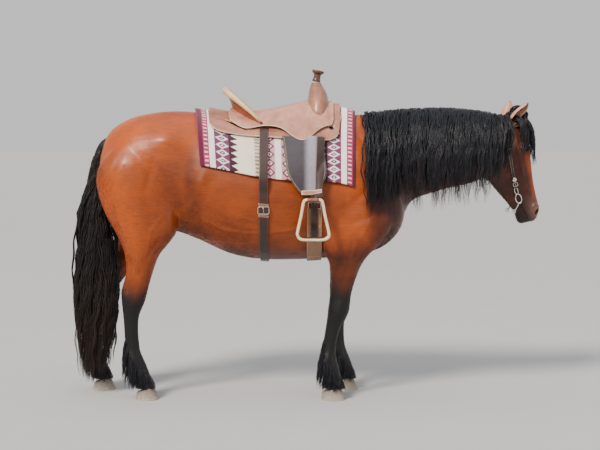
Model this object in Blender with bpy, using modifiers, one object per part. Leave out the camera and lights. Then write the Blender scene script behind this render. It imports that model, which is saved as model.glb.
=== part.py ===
# A saddled bay horse of Friesian type, life size, standing square and looking ahead.
# Metres. The horse faces +X, its left side is +Y and the floor is z = 0.
import math
import random

import bmesh
import bpy
import numpy as np
from mathutils import Matrix, Vector
from mathutils.bvhtree import BVHTree

# Driving dimensions
gap = 0.0003  # space kept between touching pieces
withersHeight = 1.60
bodyVoxel = 0.0075  # grid on which the lofts of the body are fused
bodySmoothing = 8  # rounds of smoothing after that
layer = 0.0062  # space between pieces of tack that lie on each other
hairSeed = 7

# Height of the leg's midline from the horse's own midline, front and hind
foreTrack = 0.160
hindTrack = 0.152

# Barrel and croup, from the buttocks to the breast:
# x, top, bottom, height of the widest place, half width, squareness above and below
trunkStations = [
    (-1.165, 1.360, 1.200, 1.280, 0.085, 2.0, 2.0),
    (-1.120, 1.475, 1.040, 1.270, 0.175, 2.0, 2.0),
    (-1.020, 1.548, 0.960, 1.270, 0.245, 2.1, 2.0),
    (-0.900, 1.583, 0.930, 1.280, 0.285, 2.2, 2.0),
    (-0.760, 1.597, 0.925, 1.270, 0.302, 2.2, 2.0),
    (-0.620, 1.588, 0.875, 1.220, 0.318, 2.1, 2.0),
    (-0.450, 1.556, 0.800, 1.160, 0.338, 2.0, 2.1),
    (-0.280, 1.530, 0.766, 1.130, 0.342, 1.9, 2.15),
    (-0.100, 1.538, 0.762, 1.120, 0.332, 1.75, 2.1),
    (0.040, 1.578, 0.768, 1.110, 0.305, 1.55, 2.1),
    (0.140, withersHeight, 0.778, 1.100, 0.280, 1.45, 2.1),
    (0.250, 1.575, 0.790, 1.090, 0.262, 1.6, 2.1),
    (0.360, 1.500, 0.815, 1.080, 0.250, 1.8, 2.2),
    (0.440, 1.400, 0.860, 1.070, 0.225, 2.0, 2.2),
    (0.495, 1.270, 0.930, 1.060, 0.170, 2.0, 2.2),
    (0.518, 1.150, 1.000, 1.060, 0.090, 2.0, 2.0),
]

# Neck, from inside the shoulders to inside the head:
# crest x and z, throat x and z, half width, shift to the left
neckStations = [
    (0.100, 1.585, 0.360, 0.840, 0.235, 0.000),
    (0.220, 1.575, 0.490, 0.970, 0.210, 0.000),
    (0.370, 1.580, 0.565, 1.085, 0.172, 0.002),
    (0.530, 1.590, 0.660, 1.128, 0.144, 0.006),
    (0.690, 1.596, 0.765, 1.160, 0.127, 0.012),
    (0.840, 1.592, 0.865, 1.182, 0.116, 0.019),
    (0.960, 1.578, 0.945, 1.205, 0.107, 0.025),
    (1.050, 1.552, 1.000, 1.250, 0.096, 0.029),
    (1.100, 1.510, 1.040, 1.330, 0.080, 0.031),
]

# Head, in its own frame: the poll is 0 and the lips are at headLength.
# distance from the poll, profile ahead of the axis, jaw behind it, half width, squareness of face and of jaw
headPoll = Vector((1.075, 0.031, 1.550))
headPitch = math.radians(18)  # of the axis ahead of straight down
headYaw = math.radians(11)  # the nose turned to the left
headStations = [
    (-0.010, 0.030, -0.075, 0.056, 2.0, 2.0),
    (0.020, 0.056, -0.120, 0.076, 2.1, 2.0),
    (0.070, 0.077, -0.165, 0.089, 2.3, 2.2),
    (0.130, 0.088, -0.195, 0.097, 2.6, 2.3),
    (0.190, 0.089, -0.203, 0.100, 2.8, 2.3),
    (0.250, 0.084, -0.198, 0.093, 2.8, 2.3),
    (0.310, 0.075, -0.182, 0.080, 2.6, 2.2),
    (0.370, 0.067, -0.156, 0.067, 2.4, 2.1),
    (0.430, 0.062, -0.128, 0.057, 2.3, 2.0),
    (0.480, 0.060, -0.107, 0.053, 2.2, 2.0),
    (0.520, 0.057, -0.096, 0.055, 2.2, 2.1),
    (0.555, 0.047, -0.090, 0.054, 2.2, 2.2),
    (0.582, 0.028, -0.079, 0.046, 2.2, 2.2),
    (0.600, 0.002, -0.058, 0.030, 2.0, 2.0),
]

# Legs, from inside the body down to the hoof: z, back, front, half width, shift of the midline outwards
foreStations = [
    (1.220, 0.030, 0.350, 0.050, 0.000),
    (1.120, 0.025, 0.430, 0.078, 0.012),
    (1.020, 0.022, 0.462, 0.094, 0.018),
    (0.940, 0.028, 0.438, 0.100, 0.018),
    (0.870, 0.045, 0.385, 0.098, 0.016),
    (0.810, 0.078, 0.326, 0.090, 0.012),
    (0.760, 0.102, 0.290, 0.080, 0.008),
    (0.700, 0.110, 0.264, 0.069, 0.005),
    (0.640, 0.111, 0.243, 0.059, 0.003),
    (0.580, 0.106, 0.228, 0.051, 0.001),
    (0.535, 0.101, 0.223, 0.053, 0.000),
    (0.490, 0.095, 0.216, 0.055, 0.000),
    (0.445, 0.090, 0.198, 0.047, 0.000),
    (0.400, 0.083, 0.171, 0.037, 0.000),
    (0.330, 0.072, 0.151, 0.033, 0.000),
    (0.270, 0.062, 0.143, 0.036, 0.000),
    (0.225, 0.052, 0.148, 0.044, 0.000),
    (0.190, 0.058, 0.158, 0.045, 0.000),
    (0.150, 0.075, 0.167, 0.041, 0.000),
    (0.110, 0.083, 0.180, 0.044, 0.000),
    (0.060, 0.078, 0.196, 0.053, 0.000),
]
hindStations = [
    (1.400, -1.080, -0.820, 0.110, -0.020),
    (1.310, -1.145, -0.770, 0.142, -0.004),
    (1.220, -1.172, -0.738, 0.154, 0.002),
    (1.120, -1.155, -0.715, 0.155, 0.007),
    (1.020, -1.118, -0.712, 0.148, 0.012),
    (0.940, -1.074, -0.732, 0.132, 0.017),
    (0.870, -1.040, -0.776, 0.112, 0.019),
    (0.810, -1.018, -0.824, 0.092, 0.017),
    (0.750, -1.012, -0.849, 0.076, 0.013),
    (0.700, -1.017, -0.866, 0.065, 0.009),
    (0.650, -1.030, -0.882, 0.059, 0.005),
    (0.605, -1.043, -0.893, 0.058, 0.003),
    (0.555, -1.043, -0.907, 0.057, 0.001),
    (0.510, -1.039, -0.926, 0.051, 0.000),
    (0.460, -1.035, -0.943, 0.042, 0.000),
    (0.400, -1.031, -0.948, 0.037, 0.000),
    (0.330, -1.027, -0.945, 0.035, 0.000),
    (0.270, -1.023, -0.938, 0.038, 0.000),
    (0.225, -1.021, -0.920, 0.045, 0.000),
    (0.190, -1.008, -0.905, 0.046, 0.000),
    (0.150, -0.986, -0.890, 0.042, 0.000),
    (0.110, -0.972, -0.873, 0.044, 0.000),
    (0.060, -0.970, -0.852, 0.052, 0.000),
]
# How far the left legs stand from the right ones at each height: z, distance ahead
leftForeAhead = [(0.0, 0.080), (0.15, 0.076), (0.30, 0.055), (0.45, 0.022), (0.60, 0.004), (0.80, 0.0),
                 (2.0, 0.0)]
leftHindAhead = [(0.0, -0.280), (0.20, -0.272), (0.45, -0.245), (0.60, -0.200), (0.80, -0.100),
                 (0.95, -0.035),
                 (1.10, 0.0), (2.0, 0.0)]


# Meshes

def meshObject(name, points, faces):
    mesh = bpy.data.meshes.new(name)
    mesh.from_pydata([tuple(p) for p in points], [], faces)
    mesh.update()
    made = bpy.data.objects.new(name, mesh)
    bpy.context.scene.collection.objects.link(made)
    return made


def spread(table, perGap):
    """Rows between the rows of a table, on a smooth curve through them."""
    rows = np.array(table, float)
    ends = np.vstack([2 * rows[0] - rows[1], rows, 2 * rows[-1] - rows[-2]])
    found = []
    for i in range(1, len(ends) - 2):
        p0, p1, p2, p3 = ends[i - 1], ends[i], ends[i + 1], ends[i + 2]
        for step in range(perGap):
            t = step / perGap
            found.append(0.5 * (2 * p1 + (p2 - p0) * t + (2 * p0 - 5 * p1 + 4 * p2 - p3) * t ** 2
                                + (3 * p1 - p0 - 3 * p2 + p3) * t ** 3))
    found.append(rows[-1])
    return found


def ring(centre, side, up, half, above, below, squareAbove, squareBelow, count):
    """A closed loop round a centre: an ellipse of unlike halves, fuller where its squareness is over 2."""
    points = []
    for i in range(count):
        a = 2 * math.pi * i / count
        c, s = math.cos(a), math.sin(a)
        power = 2 / (squareAbove if s > 0 else squareBelow)
        across = math.copysign(abs(c) ** power, c) * half
        along = math.copysign(abs(s) ** power, s) * (above if s > 0 else below)
        points.append(centre + side * across + up * along)
    return points


def loft(rings):
    """A closed skin over loops of equal count, with a point in the middle of each end."""
    count = len(rings[0])
    points = [p for loop in rings for p in loop]
    faces = []
    for r in range(len(rings) - 1):
        for i in range(count):
            j = (i + 1) % count
            faces.append((r * count + i, r * count + j, (r + 1) * count + j, (r + 1) * count + i))
    for loop, start, turned in ((rings[0], 0, True), (rings[-1], (len(rings) - 1) * count, False)):
        points.append(sum(loop, Vector()) / count)
        for i in range(count):
            j = (i + 1) % count
            face = (start + j, start + i, len(points) - 1)
            faces.append(face if turned else face[::-1])
    return points, faces


def outwards(made):
    bm = bmesh.new()
    bm.from_mesh(made.data)
    bmesh.ops.recalc_face_normals(bm, faces=bm.faces)
    bm.to_mesh(made.data)
    bm.free()
    return made


def lofted(name, rings):
    return outwards(meshObject(name, *loft(rings)))


def baked(made):
    """Applies the object's modifiers and its place."""
    graph = bpy.context.evaluated_depsgraph_get()
    mesh = bpy.data.meshes.new_from_object(made.evaluated_get(graph))
    mesh.transform(made.matrix_world)
    made.modifiers.clear()
    made.matrix_world = Matrix.Identity(4)
    made.data = mesh
    return made


def copied(made, name):
    twin = bpy.data.objects.new(name, made.data.copy())
    bpy.context.scene.collection.objects.link(twin)
    return twin


def drop(*objects):
    for old in objects:
        bpy.data.objects.remove(old)


def largestShell(made):
    """Keeps the closed surface with the most volume, which fills sealed hollows and drops scraps."""
    bm = bmesh.new()
    bm.from_mesh(made.data)
    bmesh.ops.triangulate(bm, faces=bm.faces)
    left = set(bm.faces)
    shells = []
    while left:
        found, edge = set(), [left.pop()]
        while edge:
            face = edge.pop()
            found.add(face)
            for e in face.edges:
                for near in e.link_faces:
                    if near in left:
                        left.discard(near)
                        edge.append(near)
        volume = sum(f.verts[0].co.dot(f.verts[1].co.cross(f.verts[2].co)) for f in found)
        shells.append((volume, found))
    keep = max(shells, key=lambda shell: shell[0])[1]
    lost = [f for f in bm.faces if f not in keep]
    bmesh.ops.delete(bm, geom=lost, context="FACES")
    bmesh.ops.dissolve_degenerate(bm, edges=bm.edges, dist=0.00002)
    bmesh.ops.dissolve_limit(bm, angle_limit=math.radians(0.2), verts=bm.verts, edges=bm.edges)
    bmesh.ops.triangulate(bm, faces=bm.faces)
    bm.to_mesh(made.data)
    bm.free()
    return made


def combine(made, others, operation):
    """Joins or cuts a closed mesh by a collection of others, which are then removed."""
    if not others:
        return made
    tools = bpy.data.collections.new("tools")
    for other in others:
        tools.objects.link(other)
    boolean = made.modifiers.new("combine", "BOOLEAN")
    boolean.operation = operation
    boolean.operand_type = "COLLECTION"
    boolean.collection = tools
    boolean.solver = "MANIFOLD"
    baked(made)
    drop(*others)
    bpy.data.collections.remove(tools)
    return largestShell(made)


def grown(made, amount):
    """A copy whose points have moved out along their normals."""
    twin = copied(made, made.name + "_grown")
    normals = [v.normal.copy() for v in twin.data.vertices]
    for v, n in zip(twin.data.vertices, normals):
        v.co += n * amount
    return twin


def clearOf(made, others, space):
    """Cuts away what comes nearer than a space to other pieces."""
    for other in others:
        combine(made, [grown(other, space)], "DIFFERENCE")
    return made


def thinned(made, triangles):
    """Fewer triangles on the same shape."""
    count = sum(len(f.vertices) - 2 for f in made.data.polygons)
    if count > triangles:
        decimate = made.modifiers.new("thin", "DECIMATE")
        decimate.ratio = triangles / count
        baked(made)
    return made


def smoothed(made, factor, times):
    smooth = made.modifiers.new("smooth", "SMOOTH")
    smooth.factor = factor
    smooth.iterations = times
    return baked(made)


def fused(name, objects, voxel):
    """One skin over lofts that cross each other."""
    points, faces = [], []
    for piece in objects:
        start = len(points)
        points += [v.co.copy() for v in piece.data.vertices]
        faces += [tuple(start + i for i in f.vertices) for f in piece.data.polygons]
    drop(*objects)
    made = meshObject(name, points, faces)
    remesh = made.modifiers.new("fuse", "REMESH")
    remesh.mode = "VOXEL"
    remesh.voxel_size = voxel
    return baked(made)


# The body's lofts

sideways = Vector((0, 1, 0))
upwards = Vector((0, 0, 1))
forwards = Vector((1, 0, 0))


def trunkForm():
    rings = []
    for x, top, bottom, wide, half, above, below in spread(trunkStations, 4):
        rings.append(ring(Vector((x, 0, wide)), sideways, upwards, half, top - wide, wide - bottom,
                          above, below, 40))
    return lofted("trunk", rings)


def neckForm():
    rings = []
    widestShare = 0.42  # of the way from throat to crest
    for crestX, crestZ, throatX, throatZ, half, shift in spread(neckStations, 4):
        throat = Vector((throatX, shift, throatZ))
        up = Vector((crestX, shift, crestZ)) - throat
        deep = up.length
        rings.append(ring(throat + up * widestShare, sideways, up.normalized(), half,
                          deep * (1 - widestShare), deep * widestShare, 1.7, 2.1, 36))
    return lofted("neck", rings)


def headFrame():
    """Directions of the head: down its axis, ahead of its face, and to its left."""
    turn = Matrix.Rotation(headYaw, 3, "Z")
    down = turn @ Vector((math.sin(headPitch), 0, -math.cos(headPitch)))
    ahead = turn @ Vector((math.cos(headPitch), 0, math.sin(headPitch)))
    return down, ahead, turn @ sideways


def onHead(along, ahead, left):
    """A place in the head's own frame, in world coordinates."""
    downAxis, aheadAxis, leftAxis = headFrame()
    return headPoll + downAxis * along + aheadAxis * ahead + leftAxis * left


def headForm():
    downAxis, aheadAxis, leftAxis = headFrame()
    rings = []
    for along, face, jaw, half, faceSquare, jawSquare in spread(headStations, 3):
        middle = 0.35 * face  # the head is widest a little behind its profile
        rings.append(ring(headPoll + downAxis * along + aheadAxis * middle, leftAxis, aheadAxis, half,
                          face - middle, middle - jaw, faceSquare, jawSquare, 36))
    return lofted("head", rings)


def between(table, at):
    return float(np.interp(at, [row[0] for row in table], [row[1] for row in table]))


def legForm(name, stations, track, left, ahead):
    rings = []
    for z, back, front, half, out in spread(stations, 3):
        moved = between(ahead, z) if left > 0 else 0.0
        centre = Vector(((back + front) / 2 + moved, left * (track + out), z))
        rings.append(ring(centre, sideways, forwards, half, (front - back) / 2, (front - back) / 2,
                          2.1, 2.1, 28))
    return lofted(name, rings)


def bodyForm(voxel, smoothing):
    pieces = [trunkForm(), neckForm(), headForm()]
    for left in (-1, 1):
        pieces.append(legForm("fore", foreStations, foreTrack, left, leftForeAhead))
        pieces.append(legForm("hind", hindStations, hindTrack, left, leftHindAhead))
    return smoothed(fused("body", pieces, voxel), 0.5, smoothing)


# Flesh: gentle swellings on the fused skin, the same on both sides.
# x, distance from the midline, z, reach along x, across and up, height
fleshSwells = [
    (-1.020, 0.190, 1.330, 0.120, 0.12, 0.150, 0.010),
    (-0.790, 0.270, 1.440, 0.070, 0.07, 0.055, 0.014),
    (-0.640, 0.270, 1.330, 0.080, 0.10, 0.100, -0.012),
    (-0.770, 0.250, 0.960, 0.070, 0.10, 0.080, 0.012),
    (-1.100, 0.150, 1.200, 0.060, 0.10, 0.120, 0.008),
    (-0.960, 0.200, 0.820, 0.060, 0.06, 0.080, 0.008),
    (-0.300, 0.320, 1.150, 0.250, 0.15, 0.180, 0.006),
    (0.230, 0.235, 1.300, 0.100, 0.10, 0.150, 0.012),
    (0.170, 0.220, 1.450, 0.090, 0.08, 0.090, -0.008),
    (0.100, 0.250, 1.060, 0.070, 0.08, 0.120, 0.016),
    (0.430, 0.170, 1.130, 0.070, 0.08, 0.080, 0.018),
    (0.480, 0.070, 1.010, 0.060, 0.07, 0.080, 0.012),
    (0.070, 0.190, 0.950, 0.040, 0.06, 0.050, 0.012),
    (0.330, 0.200, 0.920, 0.060, 0.06, 0.080, 0.008),
    (0.470, 0.120, 1.350, 0.080, 0.08, 0.060, -0.008),
    (0.700, 0.115, 1.230, 0.180, 0.05, 0.030, -0.008),
    (0.700, 0.110, 1.400, 0.200, 0.06, 0.060, 0.006),
]
# Head: along, ahead, to the side, reach along, ahead and across, height
headSwells = [
    (0.185, 0.048, 0.100, 0.030, 0.026, 0.030, 0.013),
    (0.130, 0.040, 0.095, 0.028, 0.020, 0.030, -0.008),
    (0.235, 0.010, 0.100, 0.070, 0.014, 0.030, 0.007),
    (0.300, 0.000, 0.080, 0.050, 0.012, 0.030, 0.006),
    (0.270, -0.050, 0.100, 0.070, 0.030, 0.040, -0.006),
    (0.170, -0.120, 0.100, 0.060, 0.060, 0.050, 0.008),
    (0.360, 0.030, 0.070, 0.080, 0.022, 0.030, -0.006),
    (0.540, 0.024, 0.052, 0.026, 0.024, 0.026, 0.009),
    (0.592, -0.004, 0.020, 0.020, 0.024, 0.030, 0.005),
    (0.575, -0.068, 0.015, 0.022, 0.018, 0.030, 0.008),
    (0.520, -0.100, 0.000, 0.018, 0.018, 0.040, -0.008),
    (0.190, -0.190, 0.000, 0.120, 0.050, 0.030, -0.012),
]


def swollen(made, swells):
    """Pushes the skin out, or in, round given places. Each row: centre, reaches and height, in world axes."""
    mesh = made.data
    places = np.array([v.co for v in mesh.vertices])
    normals = np.array([v.normal for v in mesh.vertices])
    height = np.zeros(len(places))
    for x, y, z, reachX, reachY, reachZ, amount in swells:
        for side in ((-1, 1) if y else (1,)):
            away = (places - (x, side * y, z)) / (reachX, reachY, reachZ)
            height += amount * np.exp(-(away ** 2).sum(1))
    places += normals * height[:, None]
    mesh.vertices.foreach_set("co", places.ravel())
    mesh.update()
    return made


def swollenHead(made):
    downAxis, aheadAxis, leftAxis = headFrame()
    mesh = made.data
    places = np.array([v.co for v in mesh.vertices])
    normals = np.array([v.normal for v in mesh.vertices])
    own = np.stack([(places - headPoll) @ np.array(axis) for axis in (downAxis, aheadAxis, leftAxis)], 1)
    height = np.zeros(len(places))
    for along, ahead, out, reachAlong, reachAhead, reachOut, amount in headSwells:
        for side in ((-1, 1) if out else (1,)):
            away = (own - (along, ahead, side * out)) / (reachAlong, reachAhead, reachOut)
            height += amount * np.exp(-(away ** 2).sum(1))
    places += normals * height[:, None]
    mesh.vertices.foreach_set("co", places.ravel())
    mesh.update()
    return made


# Cuts between the nodes: a point of the plane and the direction of the side that is kept
neckBase = (Vector((0.470, 0, 0.980)), Vector((0.935, 0, 0.354)))
neckEnd = (Vector((0.915, 0, 1.240)), Vector((0.970, 0, -0.243)))
cannonCutHeight = 0.335
foreCutHeight = 0.770
hindCutHeight = 0.860
legSplit = -0.55  # a place along the body between the fore and the hind legs


def halfSpace(name, place, direction, start=0.0):
    """A large block whose near face is at a distance from a plane, on the side it looks to."""
    made = bpy.data.objects.new(name, bpy.data.meshes.new(name))
    bpy.context.scene.collection.objects.link(made)
    bm = bmesh.new()
    bmesh.ops.create_cube(bm, size=4.0)
    turn = Vector((0, 0, 1)).rotation_difference(direction.normalized()).to_matrix().to_4x4()
    bmesh.ops.transform(bm, verts=bm.verts, matrix=Matrix.Translation(place + direction.normalized() * start)
                        @ turn @ Matrix.Translation((0, 0, 2.0)))
    bm.to_mesh(made.data)
    bm.free()
    return made


def block(name, low, high):
    made = bpy.data.objects.new(name, bpy.data.meshes.new(name))
    bpy.context.scene.collection.objects.link(made)
    bm = bmesh.new()
    bmesh.ops.create_cube(bm, size=1.0)
    for v in bm.verts:
        v.co = [low[i] if v.co[i] < 0 else high[i] for i in range(3)]
    bm.to_mesh(made.data)
    bm.free()
    return made


# Hooves: height, back, front, half width, as shares between the sole and the hair line
hoof = {
    "soleBack": 0.062,
    "soleFront": 0.198,
    "soleHalf": 0.066,
    "lineBack": 0.066,
    "lineFront": 0.164,
    "lineHalf": 0.051,
    "backHeight": 0.040,
    "frontHeight": 0.078,
    "hindBack": -0.966,
    "hindScale": 0.95,
}


def hoofPlace(name):
    """Where the back of the sole is, and how large the hoof is, for the leg of that name."""
    left = 1 if "left" in name else -1
    if "fore" in name:
        ahead = between(leftForeAhead, 0) if left > 0 else 0.0
        return Vector((hoof["soleBack"] + ahead, left * foreTrack, 0)), 1.0
    ahead = between(leftHindAhead, 0) if left > 0 else 0.0
    return Vector((hoof["hindBack"] + ahead, left * hindTrack, 0)), hoof["hindScale"]


def hoofRing(name, share, inset, count):
    """The hoof's outline at a share of its height, in from its wall by an inset."""
    place, size = hoofPlace(name)
    back = (hoof["lineBack"] - hoof["soleBack"]) * share
    front = (hoof["soleFront"] + (hoof["lineFront"] - hoof["soleFront"]) * share) - hoof["soleBack"]
    half = hoof["soleHalf"] + (hoof["lineHalf"] - hoof["soleHalf"]) * share
    points = []
    for i in range(count):
        a = 2 * math.pi * i / count
        c, s = math.cos(a), math.sin(a)
        x = (back + front) / 2 + ((front - back) / 2 - inset) * math.copysign(abs(c) ** 0.9, c)
        heel = 0.86 + 0.14 * min(1.0, (c + 1.0) / 0.8)
        y = (half - inset) * math.copysign(abs(s) ** 0.85, s) * heel
        tall = hoof["backHeight"] + (hoof["frontHeight"] - hoof["backHeight"]) * (x - back) / (front - back)
        points.append(place + Vector((x, y, max(tall, 0.01) * share)) * size)
    return points


def hoofForm(name, count):
    rings = [hoofRing(name, share, inset, count) for share, inset in
             ((0.0, 0.006), (0.0, 0.0), (0.10, -0.001), (0.90, 0.0), (1.0, 0.003))]
    return lofted(name, rings)


def hairLine(name):
    """The plane on top of a hoof."""
    place, size = hoofPlace(name)
    low = Vector((hoof["lineBack"] - hoof["soleBack"], 0, hoof["backHeight"])) * size + place
    high = Vector((hoof["lineFront"] - hoof["soleBack"], 0, hoof["frontHeight"])) * size + place
    slope = high - low
    return low, Vector((-slope.z, 0, slope.x)).normalized()


legNames = ["fore_right", "fore_left", "hind_right", "hind_left"]
sides = [("right", -1), ("left", 1)]


# Eyes, ears, nostrils and the line of the mouth, in the head's frame: along, ahead, to the side
eye = {"along": 0.186, "ahead": 0.040, "out": 0.0950, "radius": 0.0215, "lid": 0.0035, "openLong": 0.80,
       "openUp": 0.52, "openDown": 0.42}
ear = {"along": 0.018, "ahead": 0.022, "out": 0.058, "nearLength": 0.142, "farLength": 0.123, "width": 0.036,
       "thick": 0.004, "bow": 0.012,
       "nearTip": (0.68, -0.18, 0.71), "farTip": (0.33, 0.14, 0.93)}
nostril = {"along": 0.556, "ahead": 0.026, "out": 0.046, "sizes": (0.022, 0.019, 0.010)}
mouthLine = [(0.606, -0.014, 0.0), (0.600, -0.022, 0.022), (0.580, -0.034, 0.038), (0.550, -0.044, 0.050),
             (0.512, -0.053, 0.054), (0.470, -0.058, 0.052)]


def ball(name, centre, radius, segments, rings):
    made = bpy.data.objects.new(name, bpy.data.meshes.new(name))
    bpy.context.scene.collection.objects.link(made)
    bm = bmesh.new()
    bmesh.ops.create_uvsphere(bm, u_segments=segments, v_segments=rings, radius=radius)
    bmesh.ops.translate(bm, verts=bm.verts, vec=centre)
    bm.to_mesh(made.data)
    bm.free()
    return made


def egg(name, centre, axes, sizes, segments, rings):
    """An ellipsoid along three given directions."""
    made = ball(name, Vector(), 1.0, segments, rings)
    for v in made.data.vertices:
        v.co = centre + sum((axes[i] * (v.co[i] * sizes[i]) for i in range(3)), Vector())
    return outwards(made)


def tube(name, points, radii, sides, flat=1.0, normals=None):
    """A closed tube along points. flat squeezes it along the normals."""
    rings = []
    for i, point in enumerate(points):
        before, after = points[max(i - 1, 0)], points[min(i + 1, len(points) - 1)]
        along = (after - before).normalized()
        normal = normals[i] if normals else Vector((0, 0, 1))
        side = along.cross(normal).normalized()
        normal = side.cross(along).normalized()
        radius = radii[i] if isinstance(radii, (list, tuple)) else radii
        rings.append(ring(point, side, normal, radius, radius * flat, radius * flat, 2.0, 2.0, sides))
    return lofted(name, rings)


def treeOf(*objects):
    points, faces = [], []
    for piece in objects:
        start = len(points)
        points += [v.co.copy() for v in piece.data.vertices]
        faces += [tuple(start + i for i in f.vertices) for f in piece.data.polygons]
    return BVHTree.FromPolygons(points, faces)


def eyeCentre(left):
    return onHead(eye["along"], eye["ahead"], left * eye["out"])


def eyeAxes(left):
    """Directions at an eye: out of the head, along the lids towards the nose, and towards the upper lid."""
    downAxis, aheadAxis, leftAxis = headFrame()
    outAxis = (leftAxis * left + aheadAxis * 0.30).normalized()
    longAxis = downAxis * 0.92 + aheadAxis * 0.15
    longAxis = (longAxis - outAxis * longAxis.dot(outAxis)).normalized()
    tallAxis = outAxis.cross(longAxis).normalized()
    if tallAxis.dot(aheadAxis) < 0:
        tallAxis = -tallAxis
    return outAxis, longAxis, tallAxis


def lidRim(left, count, radius):
    """The almond between the lids, on a sphere round the eye, with the sphere's normals."""
    outAxis, longAxis, tallAxis = eyeAxes(left)
    points, normals = [], []
    for i in range(count):
        a = 2 * math.pi * i / count
        c, s = math.cos(a), math.sin(a)
        across = c * eye["openLong"]
        up = s * (eye["openUp"] if s > 0 else eye["openDown"]) * (1 - 0.30 * c * c)
        normal = longAxis * across + tallAxis * up + outAxis * math.sqrt(1 - across ** 2 - up ** 2)
        points.append(eyeCentre(left) + normal * radius)
        normals.append(normal)
    return points, normals


def headDetails(made, lidCount):
    """Lids, sockets, nostrils and the line of the mouth."""
    downAxis, aheadAxis, leftAxis = headFrame()
    lids, cutters = [], []
    for left in (-1, 1):
        lids.append(ball("lids", eyeCentre(left), eye["radius"] + eye["lid"], 12, 8))
        cutters.append(ball("socket", eyeCentre(left), eye["radius"] + gap, 9, 6))
        near, normals = lidRim(left, lidCount, eye["radius"] * 0.5)
        far, normals = lidRim(left, lidCount, eye["radius"] * 2.2)
        cutters.append(lofted("opening", [near, far]))
        centre = onHead(nostril["along"], nostril["ahead"], left * nostril["out"])
        inward = (-leftAxis * left * 0.8 - downAxis * 0.35 - aheadAxis * 0.2).normalized()
        longWay = downAxis * 0.75 - aheadAxis * 0.65 + leftAxis * left * 0.1
        longWay = (longWay - inward * longWay.dot(inward)).normalized()
        ways = (inward, longWay, inward.cross(longWay))
        cutters.append(egg("nostril", centre, ways, nostril["sizes"], 9, 6))
    combine(made, lids, "UNION")
    tree = treeOf(made)
    path = []
    for left in (-1, 1):
        side = []
        for along, ahead, out in mouthLine:
            hit, normal, index, distance = tree.find_nearest(onHead(along, ahead, left * out))
            side.append((hit, normal))
        path += side[::-1] if left < 0 else side[1:]
    radii = [0.0012 if i in (0, len(path) - 1) else 0.0028 for i in range(len(path))]
    cutters.append(tube("mouth", [p for p, n in path], radii, 5, 1.3, [n for p, n in path]))
    for cutter in cutters:
        combine(made, [cutter], "DIFFERENCE")
    return made


def sheetSolid(name, outer, inner):
    """A closed solid between two grids of points."""
    rows, columns = len(outer), len(outer[0])
    points = [p for row in outer for p in row] + [p for row in inner for p in row]
    size = rows * columns
    faces = []
    for r in range(rows - 1):
        for c in range(columns - 1):
            a, b = r * columns + c, r * columns + c + 1
            d, e = a + columns, b + columns
            faces.append((a, b, e, d))
            faces.append((size + d, size + e, size + b, size + a))
    edge = [(0, c) for c in range(columns)] + [(r, columns - 1) for r in range(1, rows)]
    edge += [(rows - 1, c) for c in range(columns - 2, -1, -1)] + [(r, 0) for r in range(rows - 2, 0, -1)]
    for (r, c), (s, d) in zip(edge, edge[1:] + edge[:1]):
        i, j = r * columns + c, s * columns + d
        faces.append((j, i, size + i, size + j))
    return outwards(meshObject(name, points, faces))


def shell(name, grid, thick, inside):
    """An open surface through a grid of points, given a thickness on the side away from a place."""
    rows, columns = len(grid), len(grid[0])
    points = [p for row in grid for p in row]
    faces = [(r * columns + c, r * columns + c + 1, (r + 1) * columns + c + 1, (r + 1) * columns + c)
             for r in range(rows - 1) for c in range(columns - 1)]
    made = meshObject(name, points, faces)
    face = made.data.polygons[(rows // 2) * (columns - 1) + columns // 2]
    if face.normal.dot(face.center - inside) < 0:
        made.data.flip_normals()
    solidify = made.modifiers.new("thick", "SOLIDIFY")
    solidify.thickness = thick
    solidify.offset = 1.0
    return outwards(baked(made))


def earForm(name, left, rows, columns):
    """A cup, open to the front and side, that narrows and thins to its tip."""
    downAxis, aheadAxis, leftAxis = headFrame()
    base = onHead(ear["along"], ear["ahead"], left * ear["out"])
    tip = Vector(ear["farTip"] if left > 0 else ear["nearTip"]).normalized()
    length = ear["farLength"] if left > 0 else ear["nearLength"]
    facing = aheadAxis * 0.75 + leftAxis * left * 0.65
    facing = (facing - tip * facing.dot(tip)).normalized()
    across = tip.cross(facing).normalized()
    outer, inner = [], []
    for t in steps(0, 1, rows):
        wide = math.sin(math.pi * (0.20 + 0.80 * t)) ** 0.75 * 0.90 + 0.10
        half = ear["width"] * wide * (1 - 0.35 * (1 - t) ** 3)
        inside = half - min(ear["thick"], 0.40 * half)
        reach = math.pi - math.radians(50 + 40 * math.sin(math.pi * t) ** 0.7)
        centre = base + tip * (length * t) + facing * (ear["bow"] * math.sin(math.pi * t))
        ways = [across * math.sin(a) - facing * math.cos(a) for a in steps(-reach, reach, columns)]
        outer.append([centre + way * half for way in ways])
        inner.append([centre + way * inside for way in ways])
    return sheetSolid(name, outer, inner)


# Hair that stands out of the form: flat tapered locks

def flatLock(name, points, normals, widths, thicks):
    """A closed blade along points: flat below, with a low ridge on top, thin at its tip."""
    rings = []
    for i, point in enumerate(points):
        before, after = points[max(i - 1, 0)], points[min(i + 1, len(points) - 1)]
        along = (after - before).normalized()
        side = along.cross(normals[i])
        side = side.normalized() if side.length > 1e-6 else along.orthogonal().normalized()
        normal = side.cross(along).normalized()
        rings.append([point - side * widths[i] / 2, point + normal * thicks[i], point + side * widths[i] / 2])
    vertices = [p for loop in rings for p in loop]
    faces = []
    for r in range(len(rings) - 1):
        for i in range(3):
            j = (i + 1) % 3
            faces.append((r * 3 + i, r * 3 + j, (r + 1) * 3 + j, (r + 1) * 3 + i))
    last = (len(rings) - 1) * 3
    faces.append((2, 1, 0))
    faces.append((last, last + 1, last + 2))
    return outwards(meshObject(name, vertices, faces))


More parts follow.
